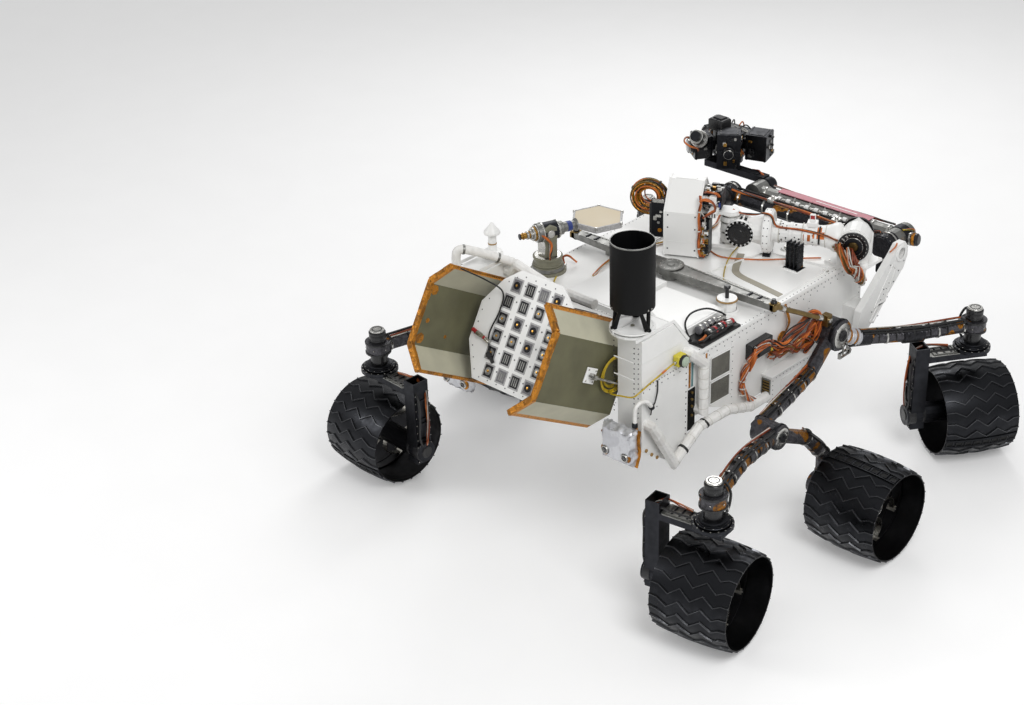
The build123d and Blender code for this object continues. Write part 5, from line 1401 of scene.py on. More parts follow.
class ROVER_OT_power_unit(bpy.types.Operator):
    """Detail the power unit: heater pads, taped exchanger edges, fins, brackets and cables"""

    bl_idname = "rover.power_unit"
    bl_label = "Power unit"

    def execute(self, context):
        at = unit_frame_at()
        chance = random.Random(5)
        detail, bolts, dots = Piece(), [], []
        # 24 heater pads on the end plate in six rows of four
        for row in range(6):
            for column in range(4):
                x = 150 - 100 * column
                y = 262 - 86 * row
                if row in (0, 5):
                    x = x * 0.86
                pad = unit_frame_at(299.5) @ Matrix.Translation((x, y, 0)) @ Matrix.Rotation(
                    radians(180), 4, "Y")
                style = chance.choice(("pad", "pad", "pad_grey"))
                # under each pad a grey ring in the halo finish: a painted shadow round the pad
                detail.plate("halo", rectangle(-32, -36, 32, 36), -0.5, 0.8, pad, 0.3)
                detail.plate(style, rectangle(-24, -28, 24, 28), -0.5, 2.2, pad, 0.5)
                if chance.random() < 0.6:
                    detail.turn(
                        "pad" if style == "pad_grey" else "grey",
                        [(19, 2), (19, 4), (15, 5), (13, 3), (0, 3)], pad, 24)
                    detail.stud("brass", 6, 3, 6, 7, pad, 14)
                else:
                    for dx in (-14, -2, 10):
                        detail.box("grey", (dx, -20, 1.5), (dx + 5, 20, 3.4), pad, 0.6)
                if column < 3:
                    dots.append((pad @ Vector((50, 12, 1)), aimed(pad, Z), 4))
        edge = PLATE_LINE + [(-x, y) for x, y in reversed(PLATE_LINE)]
        loop = [at @ Vector((x, y, 307)) for x, y in edge]
        detail.sweep("cover", loop + loop[:1], 0, section=rectangle(-5, -9, 5, 9), across=aimed(at, Z))
        for a, b in zip(edge, edge[1:] + edge[:1]):
            dots += seam(
                at @ Vector((a[0] * DOTS_IN, a[1] * DOTS_IN, 299)),
                at @ Vector((b[0] * DOTS_IN, b[1] * DOTS_IN, 299)), aimed(at, -Z), 62, 3.4)
        # taped edges of both exchangers, in short overlapping lengths
        for side in (1, -1):
            line = [(side * x, y) for x, y in EXCHANGER_LINE]
            for a, b in zip(line, line[1:]):
                a, b = Vector(a), Vector(b)
                count = max(2, round((b - a).length / 46))
                for n in range(count):
                    p, q = a + (b - a) * (n / count), a + (b - a) * ((n + 1.12) / count)
                    thick = 13.2 + chance.uniform(0, 1.2)
                    deep = chance.uniform(17, 27)
                    lie = facing(
                        at @ Vector((p.x, p.y, -1.5)), aimed(at, Z), aimed(at, (b.x - a.x, b.y - a.y, 0)))
                    detail.box("amber", (0, -thick, -1), ((q - p).length, thick, deep), lie, 1.2)
            for end in (line[0], line[-1]):
                spot = facing(at @ Vector((*end, 0)), aimed(at, Z), aimed(at, Y))
                detail.box("amber", (-8, -8, 0), (8, 8, 596), spot, 2)
            # loose patches of amber film inside
            for z, y, size in ((40, 120, 26), (60, -30, 13), (46, -120, 28), (220, -90, 10)):
                patch = facing(at @ Vector((side * 385.6, y, z)), aimed(at, (-side, 0, 0)), aimed(at, Z))
                detail.plate("amber", circle(size, 7, 20 * size), -0.5, 0.7, patch, 0.3)
            # bracket with four bolts where the rod to the rear box starts
            seat = facing((-1139, side * 413, 1154), (0, side, 0), aimed(at, Z))
            detail.box("cover", (-38, -38, -1), (38, 38, 7), seat, 2)
            detail.box("silver", (-14, -14, 6), (14, 14, 26), seat, 3)
            detail.box("grey", (-20, -5, 8), (24, 5, 34), seat, 2)
            bolts += [(seat @ Vector((x, y, 7.4)), aimed(seat, Z), 5.4) for x in (-27, 27) for y in (-27, 27)]
            # bundled wires below the exchanger, blue and orange, held by pale ties
            low = [
                (-1010, side * 380, 790), (-960, side * 420, 760), (-905, side * 452, 742),
                (-860, side * 440, 770), (-800, side * 400, 820), (-720, side * 380, 860)]
            detail.bundle(
                ["orange", "yellow", "orange", "rust"], [Vector(p) + Vector((0, 0, 6)) for p in low], 12, 20,
                3.6, seed=31)
            detail.bundle(["blue"], [
                Vector(p) + Vector((24, -side * 4, 24)) for p in low[1:]], 6, 10, 3.4, seed=32)
            for n in range(4):
                spot = Vector(low[1]) + (Vector(low[2]) - Vector(low[1])) * n * 0.34
                detail.hoop("tie", 26, 29, 3, facing(
                    spot + Vector((0, 0, 6)), Vector(low[2]) - Vector(low[1]), Z), 18)
        # dark cable that hangs over the plate, and the plug it ends in
        line = placed(at, (
            (262, 262, 24), (236, 240, 200), (190, 210, 286), (176, 120, 292), (190, 0, 290),
            (150, -90, 292)))
        detail.wire("black_wire", line, 4, 7)
        plug = facing(at @ Vector((150, -96, 292)), aimed(at, (-0.7, -0.5, 0)), aimed(at, Z))
        detail.turn("rubber", [(0, -14), (13, -14), (14, -6), (14, 14), (9, 18), (9, 44), (0, 44)], plug, 20)
        cross = facing(at @ Vector((296, -10, 291)), aimed(at, (-1, -0.22, 0)), aimed(at, Z))
        for low, high, radius, finish in (
                (0, 34, 10, "red"), (34, 60, 13, "silver"), (60, 80, 10, "drum"), (80, 96, 8, "red"),
                (96, 128, 12, "silver")):
            detail.stud(finish, radius, low, high, high, cross, 18)
        detail.finish("power_unit_detail", "chassis")
        fasteners("plate_dots", "chassis", "rivet", dots)
        fasteners("power_unit_bolts", "chassis", "screw", bolts)
        # cooling fins along the generator's case, ringed by bolts
        fin = Piece()
        fin.box("dark", (133, -2, 322), (176, 2, 650))
        made = grown("generator_fins", fin.bare(), "round", "dark", Count=24, Step=2 * pi / 24)
        to_unit = at.copy()
        to_unit.translation = at.translation * MM
        made.transform(to_unit)
        settle(made, "generator_fins", "chassis")
        case = Piece()
        for z in (318, 400, 570, 652):
            case.band("dark", 133, 140, z, z + 10, at, 48)
        case.stud("silver", 60, 672, 690, 690, at, 36)
        case.finish("generator_bands", "chassis")
        fasteners("generator_bolts", "chassis", "screw", circle_of_heads(raised(at, 688), 112, 16, 5))
        return {"FINISHED"}


class ROVER_OT_rear_boxes(bpy.types.Operator):
    """Detail the rear boxes: rivets, ribs, conduit, switch, spare cable and connector tray"""

    bl_idname = "rover.rear_boxes"
    bl_label = "Rear boxes"

    def execute(self, context):
        pitch, head = rivet_sizes(context.scene.rover_look)
        detail, rivets = Piece(), []
        for side in (1, -1):
            out = Vector((0, side, 0))
            y = side * (REAR_OUT + 0.4)
            inner, outer = side * (REAR_IN + 12), side * (REAR_OUT - 12)
            for flank in (inner, outer):
                rivets += seam(
                    (REAR_TAIL - 0.4, flank, 930), (REAR_TAIL - 0.4, flank, 1325), (-1, 0, 0), pitch * 0.85,
                    head)
            rivets += seam((REAR_TAIL + 14, y, 930), (REAR_TAIL + 14, y, 1320), out, pitch * 0.85, head)
            rivets += seam((-664, y, 612), (-664, y, 1180), out, pitch * 1.1, head)
            for z, share in ((1085, 0.7), (1060, 1.4)):
                rivets += seam((-1000, y, z), (-690, y, z), out, pitch * share, head * 0.9)
            rivets += seam((-880, y, 700), (-880, y, 1050), out, pitch * 2.2, head * 0.9)
            rivets += seam((-770, y, 606), (-680, y, 606), out, pitch, head * 0.9)
            for z in (1230, 1140):
                detail.box(
                    "white", (REAR_TAIL - 3, min(inner, outer), z), (REAR_TAIL + 1, max(inner, outer), z + 6),
                    None, 1)
            for z in (1212, 1090):
                detail.box(
                    "white", (REAR_TAIL + 40, min(y - 1, y + side * 3), z),
                    (-700, max(y - 1, y + side * 3), z + 5), None, 1)
            # rim round the chamfered top
            rim = [(REAR_TAIL, REAR_TOP), (-760, REAR_TOP), (BODY_REAR, REAR_TOP - 140)]
            for flank in (REAR_IN + 3, REAR_OUT - 3):
                detail.sweep(
                    "white", [(x, side * flank, z + 4) for x, z in rim], 0, section=rectangle(-3, -6, 3, 10),
                    across=Y)
            for t in (0.15, 0.5, 0.85):
                x, z = -760 + 110 * t, REAR_TOP - 140 * t
                detail.sweep("white", [
                    (x, side * (REAR_IN + 5), z + 1), (x, side * (REAR_OUT - 5), z + 1)], 3.5, 8)
            for x in (-1000, -960, -800):
                rivets += [((x, side * w, REAR_TOP + 0.4), Z, head) for w in (REAR_IN + 16, REAR_OUT - 16)]
            # sheet bracket from the box's tail down to the pipe, and a pale tail plate
            detail.box(
                "amber", (REAR_TAIL - 2, side * (REAR_OUT - 4), 700),
                (REAR_TAIL + 8, side * (REAR_OUT + 3), 906), None, 2)
            tail = facing((-900, side * (REAR_OUT + 2), 700), out, X)
            for x, z in ((-60, 40), (-20, 0), (20, -34)):
                detail.stud("gasket", 9, 0, 5, 6, tail @ Matrix.Translation((-side * x, z, 0)), 14)
        # thin conduit on the right box, and the pale hooked pipe at its tail
        detail.wire("rubber", [
            (-880, -604, 1086), (-884, -606, 1030), (-905, -610, 985), (-930, -612, 960),
            (-940, -612, 930)], 3.5)
        detail.sweep("pipe_wrap", smoothed([
            (-1046, -606, 930), (-1046, -606, 990), (-1040, -612, 1022), (-1010, -618, 1034),
            (-975, -622, 1018), (-948, -622, 985)], 5), 10, 12)
        detail.plug("dark", 14, 10, (-6, 12, 18), facing((-1046, -606, 916), Z, X), 18)
        detail.plug("dark", 14, 10, (-6, 8, 12), facing((-946, -622, 980), (0.5, 0, -0.85), X), 18)
        # connector tray: grey and black plugs with red bands, and the cable that arcs over them
        for n, (x0, x1, y, z, radius, finish) in enumerate((
                (-470, -390, -566, 1146, 18, "rubber"), (-386, -330, -566, 1146, 19, "black"),
                (-470, -400, -512, 1148, 22, "pad_grey"), (-398, -330, -512, 1148, 20, "pad_grey"),
                (-326, -262, -512, 1140, 14, "silver"), (-322, -262, -566, 1140, 14, "silver"))):
            lie = facing((x0, y, z), X, Z)
            length = x1 - x0
            detail.drum(finish, radius, 0, length, 4, lie, 24)
            for ring in (0.25, 0.75):
                band = length * ring
                shade = "red" if n in (0, 1, 5) and ring > 0.5 else "silver"
                detail.band(shade, radius, radius + 2.5, band - 7, band + 7, lie, 24)
        detail.wire("orange", [(-520, -560, 1128), (-500, -565, 1134), (-474, -566, 1144)], 6)
        detail.wire("black_wire", [
            (-530, -520, 1122), (-505, -470, 1150), (-480, -446, 1182), (-420, -438, 1202),
            (-340, -462, 1200), (-290, -500, 1176), (-262, -520, 1152)], 5, 8)
        detail.wire("black_wire", [
            (-536, -540, 1122), (-520, -586, 1140), (-470, -590, 1150), (-420, -586, 1138),
            (-330, -590, 1142), (-262, -580, 1134)], 5, 6)
        detail.box("rubber", (-538, -594, 1117), (-242, -482, 1121), None, 1.5)
        # stop switch: yellow case, black ring and pale domed button
        face = facing((-741, -640, 1145), (0, -1, 0), X)
        detail.box("switch_yellow", (-29, -29, -39), (29, 29, 2), face, 6)
        detail.turn("rubber", [(29, 0), (30, 3), (30, 12), (26, 15), (26, 2)], face, 40)
        detail.turn("switch_cap", [(25, 8), (25, 18), (23, 22), (17, 24.5), (8, 25.8), (0, 26)], face, 40)
        for x, y in ((-22, -22), (22, -22), (-22, 22), (22, 22)):
            detail.stud("black", 3.4, 1, 3, 3.4, face @ Matrix.Translation((x, y, 0)), 12)
        detail.plug("silver", 8, 6, (0, 10, 14), facing((-768, -620, 1140), -X, Z), 18)
        detail.finish("rear_box_detail", "chassis", "stop_switch")
        fasteners("rear_box_rivets", "chassis", "rivet", rivets)
        # spare cable: loose turns of different size on their peg, and the lead to the switch
        cable, chance = Piece(), random.Random(12)
        for turn in range(5):
            radius, shift = 70 + 6.5 * turn, chance.uniform(-12, 12)
            ring = [
                Vector((
                    -980 + shift + radius * cos(a), -419 - 3.2 * turn,
                    1107 - abs(shift) + radius * 0.94 * sin(a)))
                for a in (2 * pi * k / 40 + chance.uniform(-0.01, 0.01) for k in range(41))]
            cable.sweep("yellow", ring, 3.8, 8)
        lead = [
            (-1020, -430, 1030), (-1046, -462, 1034), (-1048, -520, 1046), (-1047, -590, 1064),
            (-1020, -611, 1084), (-940, -613, 1104), (-870, -616, 1120), (-800, -620, 1138),
            (-772, -620, 1140)]
        cable.wire("yellow", lead, 4, 6, 10)
        cable.turn(
            "orange", [(4.2, -16), (5.4, -14), (5.4, 14), (4.2, 16)],
            facing((-850, -616.5, 1124), (0.95, -0.05, 0.22), Z), 16)
        cable.finish("spare_cable", "chassis", "switch_cable")
        return {"FINISHED"}


class ROVER_OT_aerials(bpy.types.Operator):
    """Detail the upright aerials, the round fittings and the insulated pipes"""

    bl_idname = "rover.aerials"
    bl_label = "Aerials and pipes"

    def execute(self, context):
        # tall aerial: black tube with a grey lip on three pairs of legs over a bolted white base
        detail, bolts = Piece(), []
        at = Matrix.Translation((*TALL_AERIAL, 0))
        detail.turn("flat_black", [(101, 1455), (104.6, 1458), (104.6, 1776), (103, 1782)], at, 72)
        detail.turn("grey", [
            (104.6, 1779), (105.6, 1780), (105.6, 1784), (104, 1785), (101, 1785), (101, 1780)], at, 72)
        detail.turn("flat_black", [(99.5, 1778), (99.5, 1476), (60, 1474), (58, 1478), (0, 1478)], at, 72)
        detail.turn("flat_black", [(0, 1440), (56, 1442), (96, 1450), (103, 1458)], at, 72)
        detail.turn("white", [(0, 1350.5), (88, 1350.5), (92, 1353), (104, 1353), (108, 1350)], at, 64)
        detail.ring("white", circle(104, 24), 5, 1349, 1355, at)
        bolts += circle_of_heads(raised(at, 1353.5), 98, 20, 3)
        detail.stud("drum", 10, 1351, 1354, 1355, at, 20)
        for turn in (30, 150, 270):
            a = radians(turn)
            foot = at @ Vector((92 * cos(a), 92 * sin(a), 1352))
            detail.turn(
                "flat_black", [(0, 0), (15, 0), (15, 7), (11, 12), (0, 13)], Matrix.Translation(foot), 20)
            bolts.append((foot + Vector((0, 0, 13)), Z, 5))
            out = Vector((cos(a), sin(a), 0))
            knob = at @ (out * 98 + Vector((0, 0, 1466)))
            detail.box("flat_black", (-22, -12, -6), (22, 12, 5), facing(knob, out, Z.cross(out)), 3)
            bolts += [(knob + Z.cross(out) * s * 12 + out * 6, out, 5) for s in (-1, 1)]
            for spread in (-25, 25):
                b = radians(turn + spread)
                top = at @ Vector((76 * cos(b), 76 * sin(b), 1458))
                detail.sweep("flat_black", [foot + Vector((0, 0, 4)), top], 9.5, 12)
        # low-gain aerial: stepped white post with a cone
        post = Matrix.Translation((-780, 545, REAR_TOP))
        detail.turn("cover", [
            (0, 0), (52, 0), (52, 12), (46, 16), (46, 22), (24, 24), (21, 30), (21, 112), (26, 116),
            (41, 118), (42, 124), (40, 131), (22, 152), (6, 176), (0, 179)], post, 48)
        detail.band("gasket", 21, 22.5, 60, 68, post, 36)
        # wrapped pipe that stands on the left rear box and runs down to the pipe across the unit
        long_pipe = smoothed([
            (-1008, 572, 1342), (-1008, 572, 1400), (-1000, 566, 1436), (-968, 542, 1438), (-900, 490, 1408),
            (-830, 436, 1370), (-784, 402, 1344)], 5)
        detail.sweep("pipe_wrap", long_pipe, 23, 20)
        detail.turn(
            "cover", [(23, 0), (36, 0), (36, 6), (28, 10), (23, 12)],
            Matrix.Translation((-1008, 572, REAR_TOP)), 32)
        for spot, after in ((long_pipe[14], long_pipe[15]), (long_pipe[24], long_pipe[25])):
            detail.band("grey", 23, 25.5, -6, 6, facing(spot, after - spot, Z), 28)
        bolts += circle_of_heads(raised(post, 12.5), 48, 8, 2.8)
        detail.finish("upright_aerials", "chassis", "low_gain_antenna")
        fasteners("aerial_bolts", "chassis", "screw", bolts)
        for side, label in ((1, "left"), (-1, "right")):
            y = side * 634
            upright = [(-575, y, 1040), (-575, y, 820)]
            lower = [(-780, y, 612), (-600, y, 722), (-380, y, 715), (-190, y, 650)]
            for name, run, spacing in (("upright_wrap_", upright, 52), ("lower_wrap_", lower, 64)):
                clamps(name + label, "chassis", "tie", run, 26.8, spacing, 2.5)
            clamps(
                "pipe_clamps_" + label, "chassis", "rubber", [(-720, y, 650), (-560, y, 721)], 28.5, 120, 12)
        return {"FINISHED"}


# Blankets, in metres: the left one's middle, half its width and height, and how far back it may swell
BAG_X, BAG_Y, BAG_Z = -1.063, 0.532, 0.805
BAG_WIDE, BAG_TALL, BAG_TAIL = 0.102, 0.101, -1.1
EDGE_ROUND, PUFF_REACH, WRINKLE, BULGE = 0.014, 0.005, 0.016, 0.018
GRAIN, CLOTH_FRAMES, PRESSURE = 0.006, 20, 4.0


class ROVER_OT_blankets(bpy.types.Operator):
    """Pad the two blankets round the rear cameras by a short cloth run, and set their lenses"""

    bl_idname = "rover.blankets"
    bl_label = "Blankets"

    def execute(self, context):
        for side, label in ((1, "left"), (-1, "right")):
            low, high = (-1092, side * 430, 704), (-1034, side * 634, 906)
            shape = bmesh.new()
            bmesh.ops.create_cube(shape, size=1.0)
            for vert in shape.verts:
                vert.co = Vector([(l + h) / 2 + c * abs(h - l) for l, h, c in zip(low, high, vert.co)]) * MM
            bmesh.ops.bevel(shape, geom=shape.edges[:], offset=EDGE_ROUND, segments=2, affect="EDGES")
            mesh = bpy.data.meshes.new("blanket")
            shape.to_mesh(mesh)
            shape.free()
            blanket = bpy.data.objects.new("rear_blanket_" + label, mesh)
            context.scene.collection.objects.link(blanket)
            # swollen by the cloth run, then wrinkled, and bulged to the rear between its edges
            puff(context, blanket, PUFF_REACH)
            chance = random.Random(3 if side > 0 else 4)
            folds = [(
                Vector((chance.uniform(-1, 1), chance.uniform(-1, 1), chance.uniform(-1, 1))).normalized(),
                chance.uniform(0, 6), chance.uniform(45, 120)) for n in range(7)]
            for vert in blanket.data.vertices:
                push = sum(
                    abs(sin(vert.co.dot(way) * rate + phase)) for way, phase, rate in folds) / len(folds)
                u, v = (abs(vert.co.y) - BAG_Y) / BAG_WIDE, (vert.co.z - BAG_Z) / BAG_TALL
                vert.co -= vert.normal * (push - 0.5) * WRINKLE
                if vert.co.x < BAG_X:
                    vert.co.x -= BULGE * max(0, 1 - u * u) * max(0, 1 - v * v)
                vert.co.x = max(vert.co.x, BAG_TAIL)
            blanket.data.materials.clear()
            blanket.data.materials.append(FINISH["blanket"])
            blanket.data.polygons.foreach_set("use_smooth", [True] * len(blanket.data.polygons))
            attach(blanket, "chassis")
            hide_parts("insulation_bags")
            # two lenses that look out of each blanket, and the tape down its side
            trim = Piece()
            for y in (REAR_IN + 15, REAR_OUT - 10):
                lens = facing((-1098, side * y, 760), -X, Y)
                trim.turn("amber", [(30, -8), (30, -2), (24, 2), (20, 2)], lens, 28)
                trim.turn("silver", [(20, -10), (21, 4), (19, 8), (15, 8), (15, 2)], lens, 32)
                trim.turn("glass", [(15, 3), (10, 7), (0, 9)], lens, 28)
            tape = smoothed([
                (-1046, side * 634, 900), (-1056, side * 636, 850), (-1050, side * 637, 780),
                (-1070, side * 634, 712)], 6)
            trim.sweep("amber", tape, 0, section=rectangle(-2, -9, 2, 9))
            trim.finish("rear_lenses_" + label, "chassis")
        return {"FINISHED"}


def puff(context, pad, reach):
    """Swells a pad by a short cloth run under pressure, with each point's travel capped."""
    modifier = pad.modifiers.new("remesh", "REMESH")
    modifier.mode, modifier.voxel_size = "VOXEL", GRAIN
    graph = context.evaluated_depsgraph_get()
    mesh = bpy.data.meshes.new_from_object(pad.evaluated_get(graph))
    pad.modifiers.clear()
    pad.data = mesh
    start = [vert.co.copy() for vert in mesh.vertices]
    cloth = pad.modifiers.new("cloth", "CLOTH")
    cloth.settings.use_pressure = True
    cloth.settings.uniform_pressure_force = PRESSURE
    cloth.settings.effector_weights.gravity = 0.0
    for frame_number in range(1, CLOTH_FRAMES + 1):
        context.scene.frame_set(frame_number)
    graph = context.evaluated_depsgraph_get()
    swollen = bpy.data.meshes.new_from_object(pad.evaluated_get(graph))
    for vert, rest in zip(swollen.vertices, start):
        move = vert.co - rest
        if move.length > reach:
            vert.co = rest + move * (reach / move.length)
    pad.modifiers.clear()
    pad.data = swollen
    context.scene.frame_set(1)
    finer = pad.modifiers.new("finer", "SUBSURF")
    finer.levels = finer.render_levels = 1
    graph = context.evaluated_depsgraph_get()
    mesh = bpy.data.meshes.new_from_object(pad.evaluated_get(graph))
    pad.modifiers.clear()
    pad.data = mesh


# The stowed mast and its head

MAST_PIVOT = Vector((700, -610, 1238))
MAST_ALONG, MAST_BEHIND = Vector((-0.4493, 0.8934, 0)), Vector((-0.8934, -0.4493, 0))
MAST_AT = Matrix.Translation(MAST_PIVOT) @ Matrix((MAST_ALONG, MAST_BEHIND, Z)).transposed().to_4x4()
HEAD_LINE = [(160, -116), (160, 127), (20, 257), (-30, 257), (-120, 162), (-120, -116)]
HEAD_NEAR, HEAD_FAR = 789, 968
MOTOR_AT, DRUM_AT = 590, 650


class ROVER_OT_mast(bpy.types.Operator):
    """Detail the mast: knuckle rings, tube holes, collar, slotted motor ring and wiring"""

    bl_idname = "rover.mast"
    bl_label = "Mast"

    def execute(self, context):
        chance = random.Random(8)
        tube, bolts, holes = Piece(), [], []
        down = MAST_AT @ facing((0, 0, 0), X, Z)
        # knuckle: a white cowl that necks down to the tube, with the tube's bands and its holes, each a flat
        # dark disc painted as the shade inside it
        tube.turn("cover", [
            (54, 66), (70, 70), (78, 84), (78, 104), (66, 126), (58, 150), (54.6, 176), (54, 190)], down, 48)
        tube.turn("cover", [(54, 192), (57, 194), (57, 204), (54, 206)], down, 48)
        for z in (250, 330, 400):
            tube.band("cover", 54.2, 57.2, z - 9, z + 9, down, 48)
        for n in range(46):
            angle, height = chance.uniform(-2.6, 0.9), chance.choice((
                120, 142, 214, 232, 284, 306, 352, 374, 386))
            radius = 54.4 + (12 if height < 130 else 4 if height < 150 else 0)
            holes.append(head_round(down, radius, angle, height, chance.choice((3, 4, 5))))
        # orange protective strips along the tube, and a black strap
        for angle, z0, z1 in ((-1.15, 118, 214), (-0.62, 150, 196), (-1.5, 226, 262)):
            points = []
            for step in range(7):
                a = angle + 0.11 * (step - 3)
                for z in (z0, z1):
                    radius = 58.6 if z0 < 150 and z == z0 else 55.4
                    points.append((radius * cos(a), radius * sin(a), z))
            faces = [(2 * n, 2 * n + 1, 2 * n + 3, 2 * n + 2) for n in range(6)]
            tube.patch("orange", points, faces, down)
        tube.turn("rubber", [(54, 176), (58.4, 177), (58.4, 185), (54, 186)], down, 48, -120, 110)
        # white collar with a flat band and two rows of bolts
        tube.turn("cover", [(114, 432), (117, 434), (117, 466), (114, 468)], down, 64)
        tube.turn("cover", [(112, 430), (106, 424), (60, 424), (55, 420)], down, 64)
        bolts += [
            head_round(down, 117.3, a, z, 3.4) for a in (2 * pi * n / 18 for n in range(18))
            for z in (440, 460)]
        # slotted white ring round the black motor, on the side that faces back
        motor = MAST_AT @ facing((MOTOR_AT, 0, 0), Y, X)
        tube.turn("cover", [(60, -20), (76, -18), (76, -4), (62, -2)], motor, 48)
        tube.turn("cover", [(62, 56), (76, 58), (76, 72), (74, 76), (62, 76)], motor, 48)
        for n in range(18):
            a = 2 * pi * n / 18
            rib = motor @ Matrix.Rotation(a, 4, "Z")
            tube.box("cover", (64, -4.5, -6), (75, 4.5, 60), rib, 1.5)
            slot = rib @ Matrix.Rotation(pi / 18, 4, "Z")
            tube.box("flat_black", (61, -7, 75.2), (73, 7, 76.8), slot, 0.5)
        tube.turn("flat_black", [(61, -6), (66, -4), (66, 58), (61, 60)], motor, 48)
        tube.turn("black", [
            (58.5, 60), (59, 79), (56, 82), (40, 82.4), (38, 80.8), (24, 80.8), (22, 82.4),
            (0, 83)], motor, 48)
        tube.band("silver", 59, 61.5, 62, 70, motor, 48)
        bolts += circle_of_heads(raised(motor, 76.5), 69, 18, 3)
        bolts += circle_of_heads(raised(motor, 80.8), 31, 8, 2.6)
        # tilt drum bands
        drum = MAST_AT @ Matrix.Translation((DRUM_AT, 0, 0))
        for z in (-78, -20, 36, 74):
            tube.band("silver", 52, 55, z, z + 9, drum, 40)
        tube.bundle(["orange", "rust", "black_wire"], placed(MAST_AT, (
            (80, 86, 20), (160, 62, 34), (280, 44, 44), (400, 42, 50), (428, 60, 112), (470, 50, 118),
            (516, 30, 100), (566, 14, 89), (604, 4, 88), (640, 0, 100))), 4, 5, 3, seed=41)
        for along_tube in (150, 270, 390):
            tube.band("tie", 55, 60, -3, 3, MAST_AT @ facing((along_tube, 0, 0), X, Z), 32)
        tube.box("cover", (196, -26, 52), (250, 26, 78), MAST_AT, 3)
        tube.box("cover", (208, -8, 76), (238, 8, 118), MAST_AT, 3)
        tube.box("red", (212, 8, 92), (234, 10, 112), MAST_AT, 0.8)
        tube.finish("mast_detail", "mast")
        fasteners("mast_bolts", "mast", "rivet", bolts, 6)
        # the holes: flat dark discs in the rivets' finish, painted as the shade inside them
        fasteners("mast_holes", "mast", "rivet", holes, 8, 0.18)
        # the ears on the deck that carry the knuckle: black bearing rings and four silver ribs
        ears, ear_bolts = Piece(), []
        for side in (1, -1):
            face = MAST_AT @ facing((0, side * 90.3, 0), Y * side, X)
            ears.turn("black", [(78, 0), (80, 2), (80, 12), (74, 15), (66, 15), (64, 10), (50, 8)], face, 64)
            ears.turn("dark", [(50, 8), (46, 13), (28, 13), (26, 6)], face, 64)
            ears.turn("bronze", [(26, 6), (22, 9), (0, 10)], face, 40)
            ears.turn("silver", [(50, 8), (51.5, 9.5), (50, 11), (48, 10)], face, 48)
            for n in range(4):
                rim = face @ Matrix.Rotation(radians(-60 + 22 * n), 4, "Z")
                ears.box("silver", (56, -4, 14), (73, 4, 17), rim, 1)
            ear_bolts += circle_of_heads(raised(face, 15), 70, 20, 2.8)
        for x, y in ((608, -700), (608, -520), (792, -700), (792, -520)):
            ear_bolts.append(((x, y, 1124), Z, 6))
        # stranded coil below the knuckle, spread like a fan
        ears.bundle(["rust", "orange", "bronze", "rust", "white_wire"], [
            (588, -640, 1180), (560, -664, 1226), (548, -700, 1196), (560, -722, 1140), (590, -716, 1100),
            (620, -706, 1060)], 26, 30, 3.6, seed=51)
        ears.bundle(["rust", "orange", "bronze"], [
            (600, -560, 1210), (566, -600, 1240), (536, -650, 1214), (540, -690, 1150),
            (580, -700, 1110)], 18, 22, 3.4, seed=52)
        ears.finish("mast_ears_detail", "chassis")
        fasteners("mast_ear_bolts", "chassis", "pale_rivet", ear_bolts)
        return {"FINISHED"}


